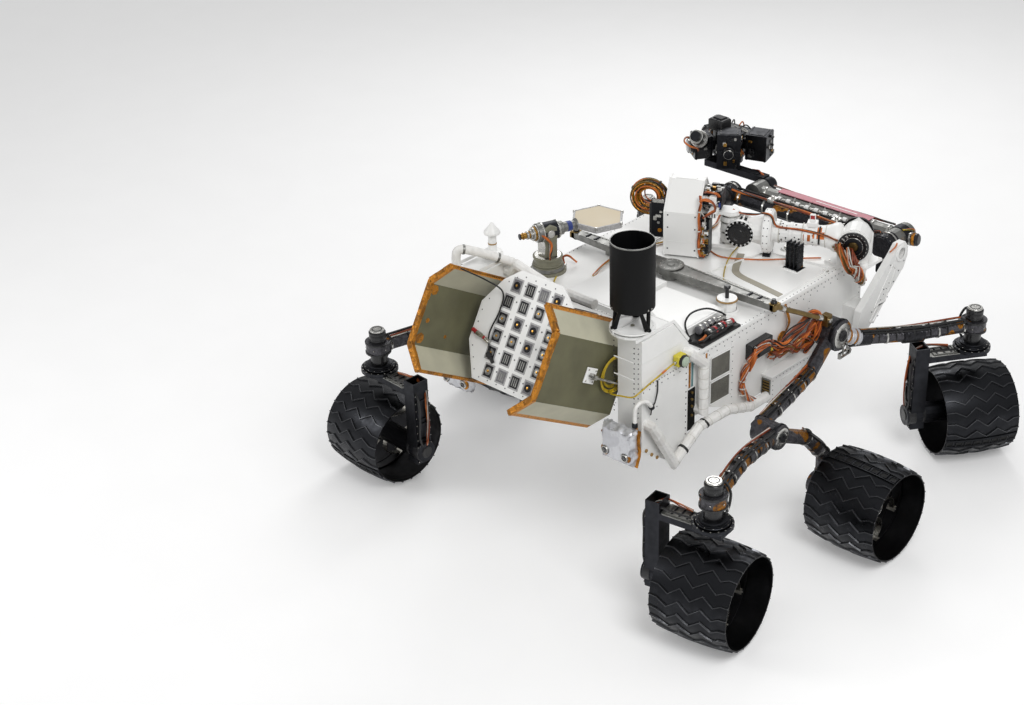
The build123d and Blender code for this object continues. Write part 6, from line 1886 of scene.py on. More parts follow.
class ROVER_OT_mast_head(bpy.types.Operator):
    """Detail the mast's head: box seams and bolts, cameras, electronics and harness loops"""

    bl_idname = "rover.mast_head"
    bl_label = "Mast head"

    def execute(self, context):
        head, bolts = Piece(), []
        # rims round both end faces of the box, and its dark bolts
        for along_mast in (HEAD_NEAR - 0.5, HEAD_FAR + 0.5):
            loop = [MAST_AT @ Vector((along_mast, b, u)) for b, u in HEAD_LINE]
            head.sweep("cover", loop + loop[:1], 0, section=rectangle(-4, -4, 4, 4), across=aimed(MAST_AT, X))
        for b, u in ((161, -80), (161, 40), (161, 110)):
            for along_mast in (806, 950):
                bolts.append((MAST_AT @ Vector((along_mast, b, u)), MAST_BEHIND, 4.4))
        for u in (-90, 0, 90, 140):
            bolts.append((MAST_AT @ Vector((HEAD_NEAR - 4, 130, u)), -MAST_ALONG, 5))
            bolts.append((MAST_AT @ Vector((HEAD_FAR + 4, 110, u * 0.9)), MAST_ALONG, 5))
        head.box("cover", (HEAD_NEAR + 14, 158, -40), (HEAD_FAR - 14, 161.5, -36), MAST_AT, 0.8)
        head.box("cover", (HEAD_NEAR + 6, 60, 207), (HEAD_FAR - 6, 66, 212), MAST_AT, 1)
        head.box("cover", (HEAD_NEAR + 40, -6, 254), (HEAD_FAR - 30, 20, 262), MAST_AT, 2)
        # camera barrels on the face away from the mast
        for up, size in ((-68, 70), (22, 60), (112, 84)):
            lens = MAST_AT @ facing(((HEAD_NEAR + HEAD_FAR) / 2, -170, up), -Y, X)
            r = size * 0.42
            head.turn("dark", [(r, -6), (r + 2, -2), (r + 2, 8), (r - 3, 9), (r - 4, 1), (0, 0)], lens, 40)
            head.turn("glass", [(r - 4, 2), (r * 0.6, 5), (0, 6)], lens, 36)
            head.band("silver", r + 1, r + 3, -8, -3, lens, 40)
        # electronics between the box and the mast: white, bright and blue blocks with their plugs
        chance = random.Random(14)
        finishes = ["cover", "silver", "grey", "dark", "brass", "cover", "black", "silver"]
        for n in range(34):
            along_mast, up = chance.uniform(742, 782), chance.uniform(-98, 84)
            w, h, d = chance.uniform(8, 24), chance.uniform(8, 26), chance.uniform(4, 16)
            head.box(
                chance.choice(finishes), (max(along_mast - w, 736), 146, up - h / 2),
                (min(along_mast + w, 787), 150 + d, up + h / 2), MAST_AT, 1.5)
        for n in range(30):
            along_mast, back = chance.uniform(700, 780), chance.uniform(-50, 50)
            w, d, h = chance.uniform(8, 20), chance.uniform(8, 22), chance.uniform(4, 22)
            head.box(
                chance.choice(finishes), (along_mast - w, back - d / 2, 204),
                (min(along_mast + w, 787), back + d / 2, 207 + h), MAST_AT, 1.5)
        for n in range(22):
            along_mast, up = chance.uniform(700, 775), chance.uniform(125, 200)
            w, h, d = chance.uniform(6, 18), chance.uniform(8, 22), chance.uniform(4, 18)
            head.box(
                chance.choice(finishes), (along_mast - w, 56, up - h / 2),
                (min(along_mast + w, 787), 60 + d, up + h / 2), MAST_AT, 1.5)
        head.box("cover", (712, 62, 156), (752, 84, 196), MAST_AT, 3)
        head.box("blue", (694, 40, 128), (704, 70, 160), MAST_AT, 3)
        head.box("cover", (700, 58, 108), (745, 148, 138), MAST_AT, 4)
        for along_mast in (706, 720, 734):
            head.box("flat_black", (along_mast - 3, 146, 113), (along_mast + 3, 149.5, 133), MAST_AT, 0.6)
        for up in (-84, -40, 10, 56):
            plug = MAST_AT @ facing((764, 154, up), Y, X)
            head.turn("silver", [(0, 0), (11, 0), (12, 4), (12, 12), (9, 16), (0, 16)], plug, 20)
            head.turn("brass", [(9, 15), (9, 19), (0, 20)], plug, 18)
        # orange harness: the long run down the box's edge and its two loops
        for run, count, seed in (
                ([
                    (790, 120, 214), (778, 158, 190), (786, 170, 130), (780, 172, 60), (784, 172, -20),
                    (778, 168, -90), (756, 156, -112)], 5, 61),
                ([
                    (784, 160, 200), (758, 158, 214), (718, 156, 200), (702, 158, 168), (722, 160, 144),
                    (764, 166, 112)], 5, 62),
                ([(786, 166, 66), (768, 164, 30), (762, 162, -14), (772, 164, -54)], 4, 63),
                ([(776, 70, 210), (752, 96, 230), (716, 90, 224), (700, 70, 196)], 3, 64)):
            head.bundle(
                ["orange", "rust", "orange"], placed(MAST_AT, run), count, 5.5, 3.6, seed=seed, steps=6)
        head.wire("white_wire", placed(MAST_AT, (
            (775, 168, 150), (752, 168, 108), (762, 170, 60), (766, 170, 6), (774, 166, -40))), 3)
        for up in (150, 40, -60):
            head.hoop("tie", 8, 10, 3, MAST_AT @ facing((783, 171, up), Z, X), 16)
        head.finish("mast_head_detail", "mast_head")
        fasteners("mast_head_bolts", "mast_head", "rivet", bolts)
        # coiled harness on the far side of the head, with its dark plate
        coil = Piece()
        coil.box("dark", (HEAD_FAR, 20, 2), (HEAD_FAR + 42, 90, 162), MAST_AT, 5)
        coil.box("black", (HEAD_FAR + 4, 86, 30), (HEAD_FAR + 38, 94, 130), MAST_AT, 3)
        coil.stud("brass", 12, 0, 5, 8, MAST_AT @ facing((HEAD_FAR + 20, 94, 58), Y, X), 20)
        coil.box("dark", (HEAD_FAR + 6, 96, -46), (HEAD_FAR + 82, 112, 166), MAST_AT, 8)
        coil.box("black", (HEAD_FAR + 80, 94, -30), (HEAD_FAR + 92, 106, 140), MAST_AT, 4)
        coil.box("silver", (HEAD_FAR + 12, 106, 150), (HEAD_FAR + 74, 114, 170), MAST_AT, 3)
        for low, up, width, tall in ((26, 70, 30, 16), (50, 52, 18, 24), (34, 34, 14, 12), (20, 96, 16, 12)):
            coil.box(
                "silver", (HEAD_FAR + low, 110, up), (HEAD_FAR + low + width, 120, up + tall), MAST_AT, 2)
        coil.stud("amber", 11, 0, 3, 4, MAST_AT @ facing((HEAD_FAR + 34, 112, -4), Y, X), 24)
        for turn in range(26):
            radius, depth = chance.uniform(44, 97), chance.uniform(-32, 40)
            lean, shift = chance.uniform(-0.3, 0.3), chance.uniform(-12, 8)
            ring = []
            for k in range(33):
                a = 2 * pi * k / 32
                ring.append(MAST_AT @ Vector((
                    HEAD_FAR + 110 + radius * cos(a) + shift, 20 + depth + 22 * lean * cos(a + turn),
                    147 + radius * sin(a))))
            coil.sweep((
                "orange", "amber", "rust", "amber", "orange", "yellow", "bronze",
                "black_wire")[turn % 8], ring, 3.8, 7)
        for a in (0.4, 2.2, 4.1, 5.3):
            spot = MAST_AT @ Vector((HEAD_FAR + 110 + 76 * cos(a), 22, 147 + 76 * sin(a)))
            coil.band("rubber", 26, 29, -5, 5, facing(
                spot, aimed(MAST_AT, (-sin(a), 0, cos(a))), MAST_BEHIND), 18)
        coil.finish("head_harness_coil", "mast_head", "head_harness")
        # finned bracket on the deck: dark ribbed blades with a white foot
        rest = Piece()
        for n in range(4):
            y = -420 + 24 * (n - 1.5)
            for k in range(5):
                rest.box("dark_wrap", (414, y - 4.2, 1124 + 27 * k), (462, y + 4.2, 1130 + 27 * k), None, 1)
        rest.box("cover", (396, -470, DECK_TOP), (480, -370, DECK_TOP + 6), None, 2)
        rest.finish("mast_rest_detail", "chassis")
        fasteners("mast_rest_bolts", "chassis", "screw", [
            ((x, y, 1114.2), Z, 5) for x in (404, 472) for y in (-462, -378)])
        return {"FINISHED"}


# The stowed arm, its rest and the turret of tools

class ROVER_OT_arm(bpy.types.Operator):
    """Detail the arm: joint motors, wrapped tubes, clamps, wiring and the pink cover plate"""

    bl_idname = "rover.arm"
    bl_label = "Arm"

    def execute(self, context):
        # elbow rest: pocketed sides, ring round its hole, screws and a loose orange wire
        rest, bolts = Piece(), []
        outer = facing((800, -722, 0), (0, -1, 0), X)
        rest.turn(
            "cover", [(30, -1), (46, -1), (46, 5), (42, 7), (34, 7), (30, 4)],
            outer @ Matrix.Translation((166, 1094, 0)), 40)
        rest.ring("white", [(-60, 860), (40, 860), (128, 1030), (96, 1060)], 9, -1, 4, outer)
        rest.ring("white", [(-96, 790), (-60, 772), (30, 862), (-20, 868)], 8, -1, 4, outer)
        bolts += [(outer @ Vector((x, z, 2)), (0, -1, 0), 4) for x, z in (
            (-80, 846), (20, 940), (70, 1060), (150, 1000), (60, 880), (-20, 800), (110, 950), (196, 1040))]
        bolts += seam((720, -722.5, 800), (880, -722.5, 970), (0, -1, 0), 34, 3)
        rest.wire("orange", [
            (890, -700, 1120), (920, -712, 1142), (948, -704, 1150), (962, -690, 1132), (940, -684, 1100)], 4)
        rest.box("dark", (856, -690, 1000), (900, -640, 1052), None, 4)
        rest.sweep("pipe_wrap", [(640, -700, 1030), (640, -700, 1090), (642, -706, 1136)], 18, 18)
        rest.turn(
            "cover", [(18, -8), (22, -6), (22, 8), (14, 16), (0, 18)], facing((642, -706, 1136), Z, X), 28)
        rest.turn("rubber", rectangle(18, -6, 20, 6), facing((640, -700, 1044), Z, X), 28)
        rest.finish("elbow_rest_detail", "chassis")
        fasteners("elbow_rest_bolts", "chassis", "rivet", bolts)
        # shoulder: bolted base drum and the turntable's bands
        base, bolts = Piece(), []
        shoulder = Matrix.Translation((*SHOULDER, 0))
        for z in (756, 800, 846, 878):
            base.band("dark", 68, 73, z, z + 9, shoulder, 48)
        bolts += circle_of_heads(raised(shoulder, 749) @ Matrix.Rotation(pi, 4, "X"), 52, 12, 4)
        base.finish("shoulder_base_detail", "chassis")
        fasteners("shoulder_base_screws", "chassis", "screw", bolts)
        turntable = Piece()
        turntable.band("silver", 68, 72, 896, 906, shoulder, 48)
        turntable.turn("dark", [(68, 950), (70, 952), (70, 964), (64, 970), (0, 971)], shoulder, 48)
        turntable.turn("black", [
            (0, -64), (40, -64), (44, -58), (60, -52), (62, -46), (62, -6), (58, -2)],
            facing((*SHOULDER, ARM_Z), X, Y), 48)
        turntable.bundle(["orange", "black_wire", "rust"], [
            (880, 470, 900), (868, 484, 970), (880, 470, 1050), (912, 440, 1150),
            (924, 420, 1164)], 5, 7, 3.4, seed=71)
        turntable.finish("shoulder_turntable_detail", "arm_turntable")
        fasteners("shoulder_screws", "arm_turntable", "screw", circle_of_heads(raised(facing(
            (SHOULDER[0] - 60, SHOULDER[1], ARM_Z), -X, Y), -7), 50, 12, 4))
        # upper arm: clamps, connectors and wires on its tube; motor cans at both ends
        clamps(
            "upper_arm_clamps", "upper_arm", "silver", [(UPPER_X, 330, ARM_Z), (UPPER_X, -520, ARM_Z)], 46.5,
            142, 10)
        upper, bolts = Piece(), []
        for y in (SHOULDER[1], ELBOW_Y):
            can = facing((UPPER_X, y, ARM_Z), X, Y)
            upper.turn("dark", [(62, -40), (64, -38), (64, -14), (62, -12)], can, 48)
            upper.band("silver", 62, 64.5, 20, 30, can, 48)
            bolts += [head_round(can, 64.6, a, -26, 3.4) for a in (2 * pi * n / 16 for n in range(16))]
        upper.bundle(["orange", "rust", "black_wire"], [
            (960, 380, 1152), (966, 250, 1148), (962, 60, 1150), (966, -140, 1148), (960, -330, 1150),
            (966, -500, 1150), (975, -580, 1170)], 6, 7, 3.4, seed=72)
        upper.wire("black_wire", [
            (1010, 380, 1142), (1012, 120, 1140), (1008, -160, 1141), (1012, -420, 1140),
            (1000, -560, 1160)], 7)
        for y in (120, -300):
            upper.box("silver", (958, y - 22, 1138), (1012, y + 22, 1162), None, 3)
            upper.plug("silver", 11, 8, (0, 10, 14), facing((UPPER_X, y, 1160), Z, X), 20)
        upper.finish("upper_arm_detail", "upper_arm")
        fasteners("upper_arm_screws", "upper_arm", "screw", bolts)
        # forearm: pink cover plate, ribbed carriers, elbow motor with its knob
        clamps(
            "forearm_clamps", "forearm", "silver", [(FORE_X, 260, ARM_Z), (FORE_X, -540, ARM_Z)], 40.5, 96, 8)
        fore, bolts = Piece(), []
        fore.plate("pink", rectangle(1112, 180, 1168, -420), 1138, 1142, None, 1)
        fore.box("cover", (1134, -330, 1142), (1140, -60, 1143.4), None, 0.6)
        for n in range(9):
            fore.hoop("cover", 13, 17, 12, facing((1092, 150 - 62 * n, 1108), Y, Z), 18)
        fore.sweep("silver", [(1092, 190, 1108), (1092, -400, 1108)], 10, 14)
        fore.sweep("silver", [(1170, 300, 1112), (1170, -520, 1112)], 6, 10)
        bolts += [((x, y, 1142.4), Z, 3.4) for x in (1118, 1162) for y in range(-400, 180, 58)]
        elbow = facing((FORE_X, ELBOW_Y, ARM_Z), X, Y)
        fore.turn("black", [(56, 60), (54, 66), (40, 70), (36, 84), (30, 88), (0, 89)], elbow, 40)
        fore.turn("dark", [(58, -30), (61, -28), (61, 26), (58, 28)], elbow, 44)
        knob = facing((FORE_X, ELBOW_Y - 58, ARM_Z), (0.2, -1, 0.1), X)
        fore.turn("black", [(0, -20), (30, -18), (34, 0), (34, 44), (26, 52), (0, 54)], knob, 32)
        fore.band("silver", 34, 36.5, 2, 12, knob, 32)
        fore.band("amber", 34.4, 35.6, 18, 33, knob, 32)
        fore.bundle(["yellow", "orange", "black_wire"], [
            (1100, -640, 1158), (1140, -676, 1152), (1170, -668, 1130),
            (1176, -630, 1100)], 4, 5, 3.2, seed=73)
        fore.bundle(["black_wire", "rust", "white_wire"], [
            (1150, -560, 1146), (1172, -400, 1134), (1176, -200, 1130), (1172, 40, 1132),
            (1160, 240, 1140)], 5, 6, 3.4, seed=74)
        fore.finish("forearm_detail", "forearm")
        fasteners("forearm_screws", "forearm", "screw", bolts)
        return {"FINISHED"}


class ROVER_OT_turret(bpy.types.Operator):
    """Detail the wrist and the turret: hub bands, tool cases, lenses, springs and wiring"""

    bl_idname = "rover.turret"
    bl_label = "Turret"

    def execute(self, context):
        # wrist: its motor's case, screws, frames and wiring
        wrist, bolts = Piece(), []
        can = facing((1210, 330, ARM_Z), X, Y)
        wrist.turn("dark", [(50, -20), (53, -18), (53, 22), (50, 24)], can, 40)
        wrist.turn("black", [(0, 28), (36, 28), (40, 34), (40, 50), (32, 58), (0, 60)], can, 36)
        bolts += circle_of_heads(Matrix.Translation((*TURRET, 1160.4)), 76, 10, 3.6, 9)
        for x0, y0, x1, y1 in ((1186, 380, 1230, 600), (1240, 640, 1320, 740)):
            wrist.ring("dark", rectangle(x0, y0, x1, y1), 7, 1159, 1165)
        wrist.bundle(["orange", "black_wire", "rust"], [
            (1208, 350, 1156), (1228, 392, 1164), (1250, 440, 1150), (1250, 520, 1140), (1249, 596, 1142),
            (1264, 636, 1146)], 6, 7, 3.4, seed=81)
        wrist.finish("wrist_detail", "wrist")
        fasteners("wrist_screws", "wrist", "screw", bolts)
        # turret: bands round the hub and its cap
        turret, bolts = Piece(), []
        centre = Vector((*TURRET, 1160.3))
        hub = Matrix.Translation(centre)
        for z, radius in ((14, 97), (60, 95), (104, 97)):
            turret.band("dark", 90, radius, z, z + 10, hub, 48)
        turret.turn("black", [
            (0, 150), (62, 150), (66, 153), (66, 162), (60, 166), (40, 168), (0, 169)], hub, 48)
        turret.band("silver", 66, 70, 154, 161, hub, 48)
        bolts += circle_of_heads(raised(hub, 150.5), 80, 14, 3.4)
        tools = [
            (6, 150, 130, 8, 210, 26, 44), (8, 150, 130, 8, 160, 0, 0), (4, 130, 110, 8, 140, 40, 30),
            (2, 110, 90, 8, 120, 30, 50), (0, 100, 84, 8, 100, 30, 30)]
        chance = random.Random(17)
        shades = ["dark", "grey", "black", "silver", "dark", "brass", "grey"]
        for flat, length, width, bottom, top, nose, reach in tools:
            a = radians(36 * flat)
            out = Vector((cos(a), sin(a), 0))
            face = facing(centre + out * 92 + Z * (bottom + top) / 2, out, (-sin(a), cos(a), 0))
            half, tall = width / 2, (top - bottom) / 2
            # rims, a cover plate and small fittings on each case, and a lens or bit at its nose
            for z in (30, length - 12):
                turret.ring("dark", rectangle(-half - 2, -tall - 2, half + 2, tall + 2), 5, z, z + 7, face)
            lid = face @ facing((0, tall, 0), Y, X)
            turret.plate("dark", rectangle(-half + 12, -length + 18, half - 12, -40), -1, 3, lid, 1)
            bolts += [
                (lid @ Vector((x, y, 3.3)), Z, 2.8) for x in (-half + 18, half - 18)
                for y in (-length + 26, -length / 2 - 12, -48)]
            for n in range(12):
                w, h, d = chance.uniform(8, 26), chance.uniform(8, 26), chance.uniform(3, 13)
                x, y = chance.uniform(-half + 14, half - 14), chance.uniform(-tall + 12, tall - 12)
                turret.box(
                    chance.choice(shades), (x - w / 2, y - h / 2, length - 2),
                    (x + w / 2, y + h / 2, length + d), face, 1.5)
            for side in (1, -1):
                for n in range(6):
                    w, h = chance.uniform(10, 30), chance.uniform(10, 30)
                    z, y = chance.uniform(46, length - 22), chance.uniform(-tall + 16, tall - 16)
                    low, high = sorted((side * (half - 2), side * (half + chance.uniform(3, 10))))
                    turret.box(
                        chance.choice(shades), (low, y - h / 2, z - w / 2), (high, y + h / 2, z + w / 2),
                        face, 1.5)
            if nose:
                turret.turn("black", [
                    (nose, length - 2), (nose + 3, length), (nose + 3, length + 8),
                    (nose, length + 10)], face, 36)
                turret.band("silver", nose, nose + 1.5, length + reach - 9, length + reach - 2, face, 36)
                turret.turn("glass" if flat in (0, 4) else "dark", [
                    (nose - 5, length + reach), (nose * 0.5, length + reach + 2),
                    (0, length + reach + 3)], face, 32)
        # the tall black case on top of the drill, stepped and chamfered
        case = facing(centre + Vector((-92, 6, 214)), Z, X)
        turret.plate("black", [
            (-46, -52), (34, -56), (46, -34), (46, 40), (30, 54), (-40, 50)], -30, 34, case, 7)
        turret.plate("pad", [(-30, -34), (24, -38), (30, 22), (-24, 30)], 30, 42, case, 5)
        # stack of bright and dark rings on the side that faces back, with its orange loop
        stack = facing(centre + Vector((-176, 74, 122)), (-0.62, -0.1, 0.45), Y)
        for low, high, radius, finish in (
                (-30, 6, 44, "dark"), (6, 16, 50, "silver"), (16, 30, 46, "cover"), (30, 38, 49, "silver"),
                (38, 62, 40, "black"), (62, 70, 42, "silver"), (70, 86, 30, "dark")):
            turret.drum(finish, radius, low, high, 2, stack, 36)
        turret.bundle(["orange", "rust", "white_wire"], placed(stack, (
            (50, 10, 0), (58, 20, 60), (40, 50, 100), (0, 66, 96), (-20, 60, 40), (0, 60, -20), (30, 70, -60)
            )), 4, 5, 3.4, seed=82, steps=7)
        turret.bundle(["orange", "amber", "orange"], [centre + Vector(p) for p in (
            (-130, -20, 190), (-110, -66, 170), (-60, -90, 120), (-30, -96, 60),
            (0, -100, 20))], 5, 7, 4, seed=83)
        for p, q in (
                ((-40, -60, 200), (20, -120, 150)), ((40, 60, 160), (110, 20, 130)),
                ((-10, -110, 120), (70, -150, 140))):
            turret.sweep("silver", [centre + Vector(p), centre + Vector(q)], 5, 10)
        for n in range(10):
            a = 2 * pi * n / 10 + 0.2
            turret.wire(("black_wire", "orange", "rust", "white_wire")[n % 4], [
                centre + Vector((60 * cos(a), 60 * sin(a), 166)),
                centre + Vector((90 * cos(a + 0.2), 90 * sin(a + 0.2), 176)),
                centre + Vector((118 * cos(a + 0.35), 118 * sin(a + 0.35), 148)),
                centre + Vector((126 * cos(a + 0.4), 126 * sin(a + 0.4), 120))], 4)
        turret.finish("turret_detail", "turret")
        fasteners("turret_screws", "turret", "screw", bolts)
        return {"FINISHED"}


class ROVER_OT_flat_aerial(bpy.types.Operator):
    """Detail the flat aerial: cream face in its rim, gimbal fork, connectors and base drum"""

    bl_idname = "rover.flat_aerial"
    bl_label = "Flat aerial"

    def execute(self, context):
        lean = radians(-21.5)
        reach = Vector((cos(lean), sin(lean), 0))
        base_x, base_y = DISH_BASE
        axis = Vector((*DISH_BASE, DISH_AXIS))
        centre = axis + reach * 290
        dish, bolts = Piece(), []
        at = Matrix.Translation(centre) @ Matrix.Rotation(lean, 4, "Z")
        corner = 127.5 / cos(radians(30))
        outline = circle(corner, 6, 0)
        # six-sided face: backing, rim, cream cover, screws, and ribs behind it
        dish.plate("halo", outline, -13.4, 12.6, at, 1.5)
        dish.ring("halo", outline, 9, 12, 16.4, at)
        dish.plate("radome", circle(corner - 9, 6, 0), 10, 15.4, at, 1.2)
        for n in range(6):
            for t in (0.06, 0.35, 0.65, 0.94):
                a, b = Vector((*circle(corner - 4.5, 6)[n], 16.6)), Vector((
                    *circle(corner - 4.5, 6)[(n + 1) % 6], 16.6))
                bolts.append((at @ (a + (b - a) * t), Z, 2.6))
            lug = at @ Matrix.Rotation(radians(60 * n), 4, "Z") @ Matrix.Translation((corner - 2, 0, 0))
            dish.box("silver", (-8, -7, 2), (5, 7, 20), lug, 2)
        for n in range(3):
            rib = at @ Matrix.Rotation(radians(60 * n), 4, "Z")
            dish.box("grey", (-100, -4, -24), (100, 4, -12), rib, 1.5)
        # neck between the drum and the face
        arm = facing(axis, reach, Z)
        dish.turn("grey", [(24, 64), (36, 66), (36, 84), (27, 90), (24, 150), (30, 156), (34, 166)], arm, 36)
        dish.band("blue", 26.2, 27.4, 110, 135, arm, 36)
        dish.finish("flat_aerial_face", "hga_dish", "hga_dish")
        fasteners("flat_aerial_screws", "hga_dish", "screw", bolts)
        # gimbal: banded drum, fork and turntable
        gimbal, bolts = Piece(), []
        drum = facing(axis, -reach, Z)
        for low, high, radius, finish in (
                (-58, -50, 50, "silver"), (-50, 30, 48, "dark"), (30, 40, 52, "silver"), (40, 62, 50, "grey"),
                (62, 70, 46, "silver"), (70, 78, 38, "brass"), (78, 88, 36, "silver"),
                (88, 100, 26, "silver"), (100, 108, 20, "brass"), (108, 120, 22, "silver"),
                (120, 134, 16, "brass"), (134, 140, 19, "brass"), (140, 152, 14, "brass"),
                (152, 158, 16, "dark")):
            gimbal.drum(finish, radius, low, high, 1.5, drum, 36)
        bolts += circle_of_heads(raised(drum, 62.5), 46, 12, 2.6)
        side_way = Z.cross(reach)
        for way in (1, -1):
            fork = facing(Vector((*DISH_BASE, 1200)) + side_way * way * 34, side_way * way, reach)
            gimbal.plate("drum", [
                (-34, 0), (34, 0), (30, 70), (40, 120), (34, 160), (0, 178), (-34, 160), (-40, 120),
                (-28, 60)], -2, 12, fork, 2.5)
            gimbal.turn(
                "silver", [(0, 12), (20, 12), (22, 15), (18, 19), (0, 20)],
                fork @ Matrix.Translation((0, 130, 0)), 28)
        foot = Matrix.Translation((*DISH_BASE, 0))
        gimbal.turn("drum", [
            (72, 1149), (78, 1151), (78, 1158), (73, 1160), (73, 1184), (78, 1186), (78, 1194), (70, 1198),
            (0, 1199)], foot, 56)
        bolts += circle_of_heads(raised(foot, 1198.5), 60, 14, 3)
        gimbal.bundle(["orange", "black_wire", "rust"], [
            (base_x - 40, base_y - 56, 1200), (base_x - 52, base_y - 70, 1240),
            (base_x - 40, base_y - 64, 1290), (base_x - 60, base_y - 30, 1330),
            (base_x - 76, base_y + 8, 1350)], 4, 5, 3.2, seed=91)
        gimbal.finish("flat_aerial_gimbal", "hga_turntable")
        fasteners("flat_aerial_gimbal_screws", "hga_turntable", "screw", bolts)
        # base ring on the deck with its bolts, wiring and plug
        base, bolts = Piece(), []
        base.turn("drum", [
            (84, DECK_TOP), (96, DECK_TOP), (96, DECK_TOP + 6), (86, DECK_TOP + 10),
            (84, DECK_TOP + 12)], foot, 56)
        base.turn("grey", [(81, 1122), (84, 1123), (84, 1140), (81, 1142)], foot, 56)
        bolts += circle_of_heads(raised(foot, DECK_TOP + 6.5), 91, 16, 3.4)
        base.bundle(["orange", "rust"], [
            (-300, 500, 1118), (-290, 520, 1150), (-270, 496, 1160), (-250, 460, 1126)], 3, 4, 3.6, seed=92)
        base.plug("silver", 10, 7, (0, 14, 18), Matrix.Translation((-300, 500, DECK_TOP)), 20)
        base.finish("flat_aerial_base", "chassis")
        fasteners("flat_aerial_base_screws", "chassis", "screw", bolts)
        return {"FINISHED"}


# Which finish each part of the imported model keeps
PART_FINISH = {
    "body_box": "white", "side_boxes": "white", "rear_boxes": "white", "deck": "cover",
    "deck_covers": "cover", "rockers": "wrap", "bogies": "wrap", "wheel_strut_lf": "dark",
    "wheel_strut_rf": "dark", "wheel_strut_lr": "dark", "wheel_strut_rr": "dark", "differential_bar": "grey",
    "differential_links": "bronze", "heat_exchangers": "exchanger", "end_plate": "cover",
    "generator": "black", "unit_frame": "grey", "exchanger_brackets": "silver", "uhf_antenna": "flat_black",
    "low_gain_antenna": "cover", "coolant_pipes": "pipe_wrap", "stop_switch": "switch_yellow",
    "switch_cable": "yellow", "connector_tray": "rubber", "hazard_cameras": "black",
    "insulation_bags": "blanket", "mast_base": "cover", "mast_tube": "cover", "mast_head": "cover",
    "mast_cameras": "black", "head_electronics": "dark", "head_harness": "orange", "mast_rest": "dark",
    "elbow_rest": "white", "arm_base": "dark", "arm_turntable": "dark_wrap", "upper_arm": "dark_wrap",
    "forearm": "grey", "wrist": "dark", "turret_hub": "dark", "drill": "dark", "sample_box": "dark",
    "spectrometer": "black", "brush_tool": "dark_wrap", "hand_lens_camera": "black", "hga_base": "drum",
    "hga_turntable": "silver", "hga_dish": "silver"}


class ROVER_OT_finishes(bpy.types.Operator):
    """Make the finishes and the node trees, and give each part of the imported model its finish"""

    bl_idname = "rover.finishes"
    bl_label = "Finishes"

    def execute(self, context):
        FINISH.update(make_finishes(context.scene.rover_look))
        TREES.update({
            "fasteners": fastener_tree(), "round": round_tree(), "rows": row_tree(), "clamps": clamp_tree()})
        for name, finish in PART_FINISH.items():
            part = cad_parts[name]
            for slot in part.material_slots:
                slot.material = FINISH[finish]
            if not part.material_slots:
                part.data.materials.append(FINISH[finish])
        return {"FINISHED"}


def floor_finish(name, colour):
    """Smooth pale studio floor: it takes the object's shadow and lies flat and even round it."""
    material, tree, shader, where = start_finish(name, 0.9, 0.0)
    seen = add(tree, "ShaderNodeLightPath")
    speck = add(tree, "ShaderNodeTexNoise", {"Vector": where, "Scale": 3.0, "Detail": 3.0}).outputs["Fac"]
    tree.links.new(patched(tree, speck, 0.3, 0.7, darker(colour, 0.02), colour), shader.inputs["Base Color"])
    plain = worked(tree, "MAXIMUM", seen.outputs["Is Camera Ray"], seen.outputs["Is Glossy Ray"])
    any_view = worked(tree, "MAXIMUM", plain, seen.outputs["Is Transmission Ray"])
    lift = worked(tree, "MULTIPLY", any_view, 0.22)
    shader.inputs["Emission Color"].default_value = colour
    tree.links.new(lift, shader.inputs["Emission Strength"])
    return material


# The camera as worked out from the photo: its place in metres, the way it looks and its roll in degrees
CAMERA_AT, CAMERA_AHEAD, CAMERA_ROLL = (-6.638, -5.322, 5.334), (0.6251, 0.6143, -0.4815), -1.994


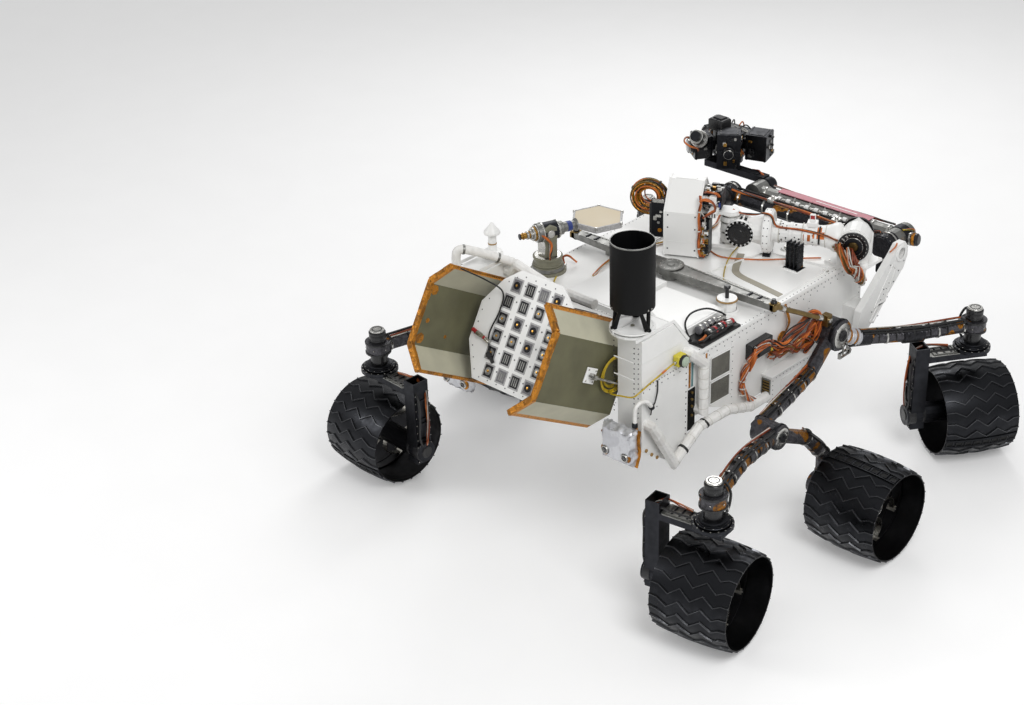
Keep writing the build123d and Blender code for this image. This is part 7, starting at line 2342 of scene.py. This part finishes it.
class ROVER_OT_stage(bpy.types.Operator):
    """Set the floor, the lamps, the even light and the camera"""

    bl_idname = "rover.stage"
    bl_label = "Stage"

    def execute(self, context):
        scene, stage = context.scene, context.scene.rover_stage
        mesh = bpy.data.meshes.new("floor")
        shape = bmesh.new()
        bmesh.ops.create_grid(shape, x_segments=8, y_segments=8, size=30.0)
        shape.to_mesh(mesh)
        shape.free()
        mesh.transform(Matrix.Translation((0, 0, -0.002)))
        mesh.materials.append(floor_finish("floor_painted_smooth", tuple(stage.backdrop)))
        floor = bpy.data.objects.new("floor", mesh)
        scene.collection.objects.link(floor)
        world = bpy.data.worlds.new("even_light")
        world.use_nodes = True
        scene.world = world
        tree = world.node_tree
        tree.nodes["Background"].inputs["Color"].default_value = (1, 1, 1, 1)
        tree.nodes["Background"].inputs["Strength"].default_value = stage.fill
        for name, place, power, size in (
                ("key_lamp", (-2.5, -4.5, 6.0), stage.key_power, 3.0),
                ("back_lamp", (4.5, 3.0, 5.0), stage.key_power * 0.55, 3.5),
                ("rim_lamp", (-5.0, 4.0, 3.5), stage.key_power * 0.3, 2.0)):
            lamp = bpy.data.lights.new(name, "AREA")
            lamp.energy, lamp.size = power, size
            holder = bpy.data.objects.new(name, lamp)
            holder.location = place
            holder.rotation_euler = (Vector((0, 0, 0.7)) - Vector(place)).to_track_quat("-Z", "Y").to_euler()
            scene.collection.objects.link(holder)
        lens = bpy.data.cameras.new("photo_camera")
        lens.lens, lens.sensor_width, lens.sensor_fit = stage.lens, 36.0, "HORIZONTAL"
        lens.clip_start, lens.clip_end = 0.1, 100.0
        camera = bpy.data.objects.new("photo_camera", lens)
        ahead = Vector(CAMERA_AHEAD).normalized()
        turn = ahead.to_track_quat("-Z", "Y").to_matrix() @ Matrix.Rotation(radians(CAMERA_ROLL), 3, "Z")
        camera.matrix_world = Matrix.Translation(CAMERA_AT) @ turn.to_4x4()
        scene.collection.objects.link(camera)
        scene.camera = camera
        scene.view_settings.view_transform = "Standard"
        return {"FINISHED"}


STEPS = [
    ROVER_OT_stage, ROVER_OT_finishes, ROVER_OT_wheels, ROVER_OT_struts, ROVER_OT_suspension, ROVER_OT_body,
    ROVER_OT_deck, ROVER_OT_power_unit, ROVER_OT_rear_boxes, ROVER_OT_aerials, ROVER_OT_blankets,
    ROVER_OT_mast, ROVER_OT_mast_head, ROVER_OT_arm, ROVER_OT_turret, ROVER_OT_flat_aerial]


class ROVER_PT_looks(bpy.types.Panel):
    """The rover's pieces in the order they are made, and the sizes and colours they take"""

    bl_label = "Rover Looks"
    bl_idname = "ROVER_PT_looks"
    bl_space_type = "VIEW_3D"
    bl_region_type = "UI"
    bl_category = "Rover"

    def draw(self, context):
        column = self.layout.column()
        for group in (context.scene.rover_stage, context.scene.rover_look):
            for name in group.__annotations__:
                column.prop(group, name)
        for step in STEPS:
            column.operator(step.bl_idname)


CLASSES = [RoverLook, RoverStage, *STEPS, ROVER_PT_looks]


def register():
    for made in CLASSES:
        bpy.utils.register_class(made)
    bpy.types.Scene.rover_look = PointerProperty(type=RoverLook)
    bpy.types.Scene.rover_stage = PointerProperty(type=RoverStage)


def unregister():
    del bpy.types.Scene.rover_stage
    del bpy.types.Scene.rover_look
    for made in reversed(CLASSES):
        bpy.utils.unregister_class(made)


def main():
    """Makes everything in order."""
    register()
    for step in STEPS:
        group, name = step.bl_idname.split(".")
        getattr(getattr(bpy.ops, group), name)()


if __name__ == "__main__":
    main()
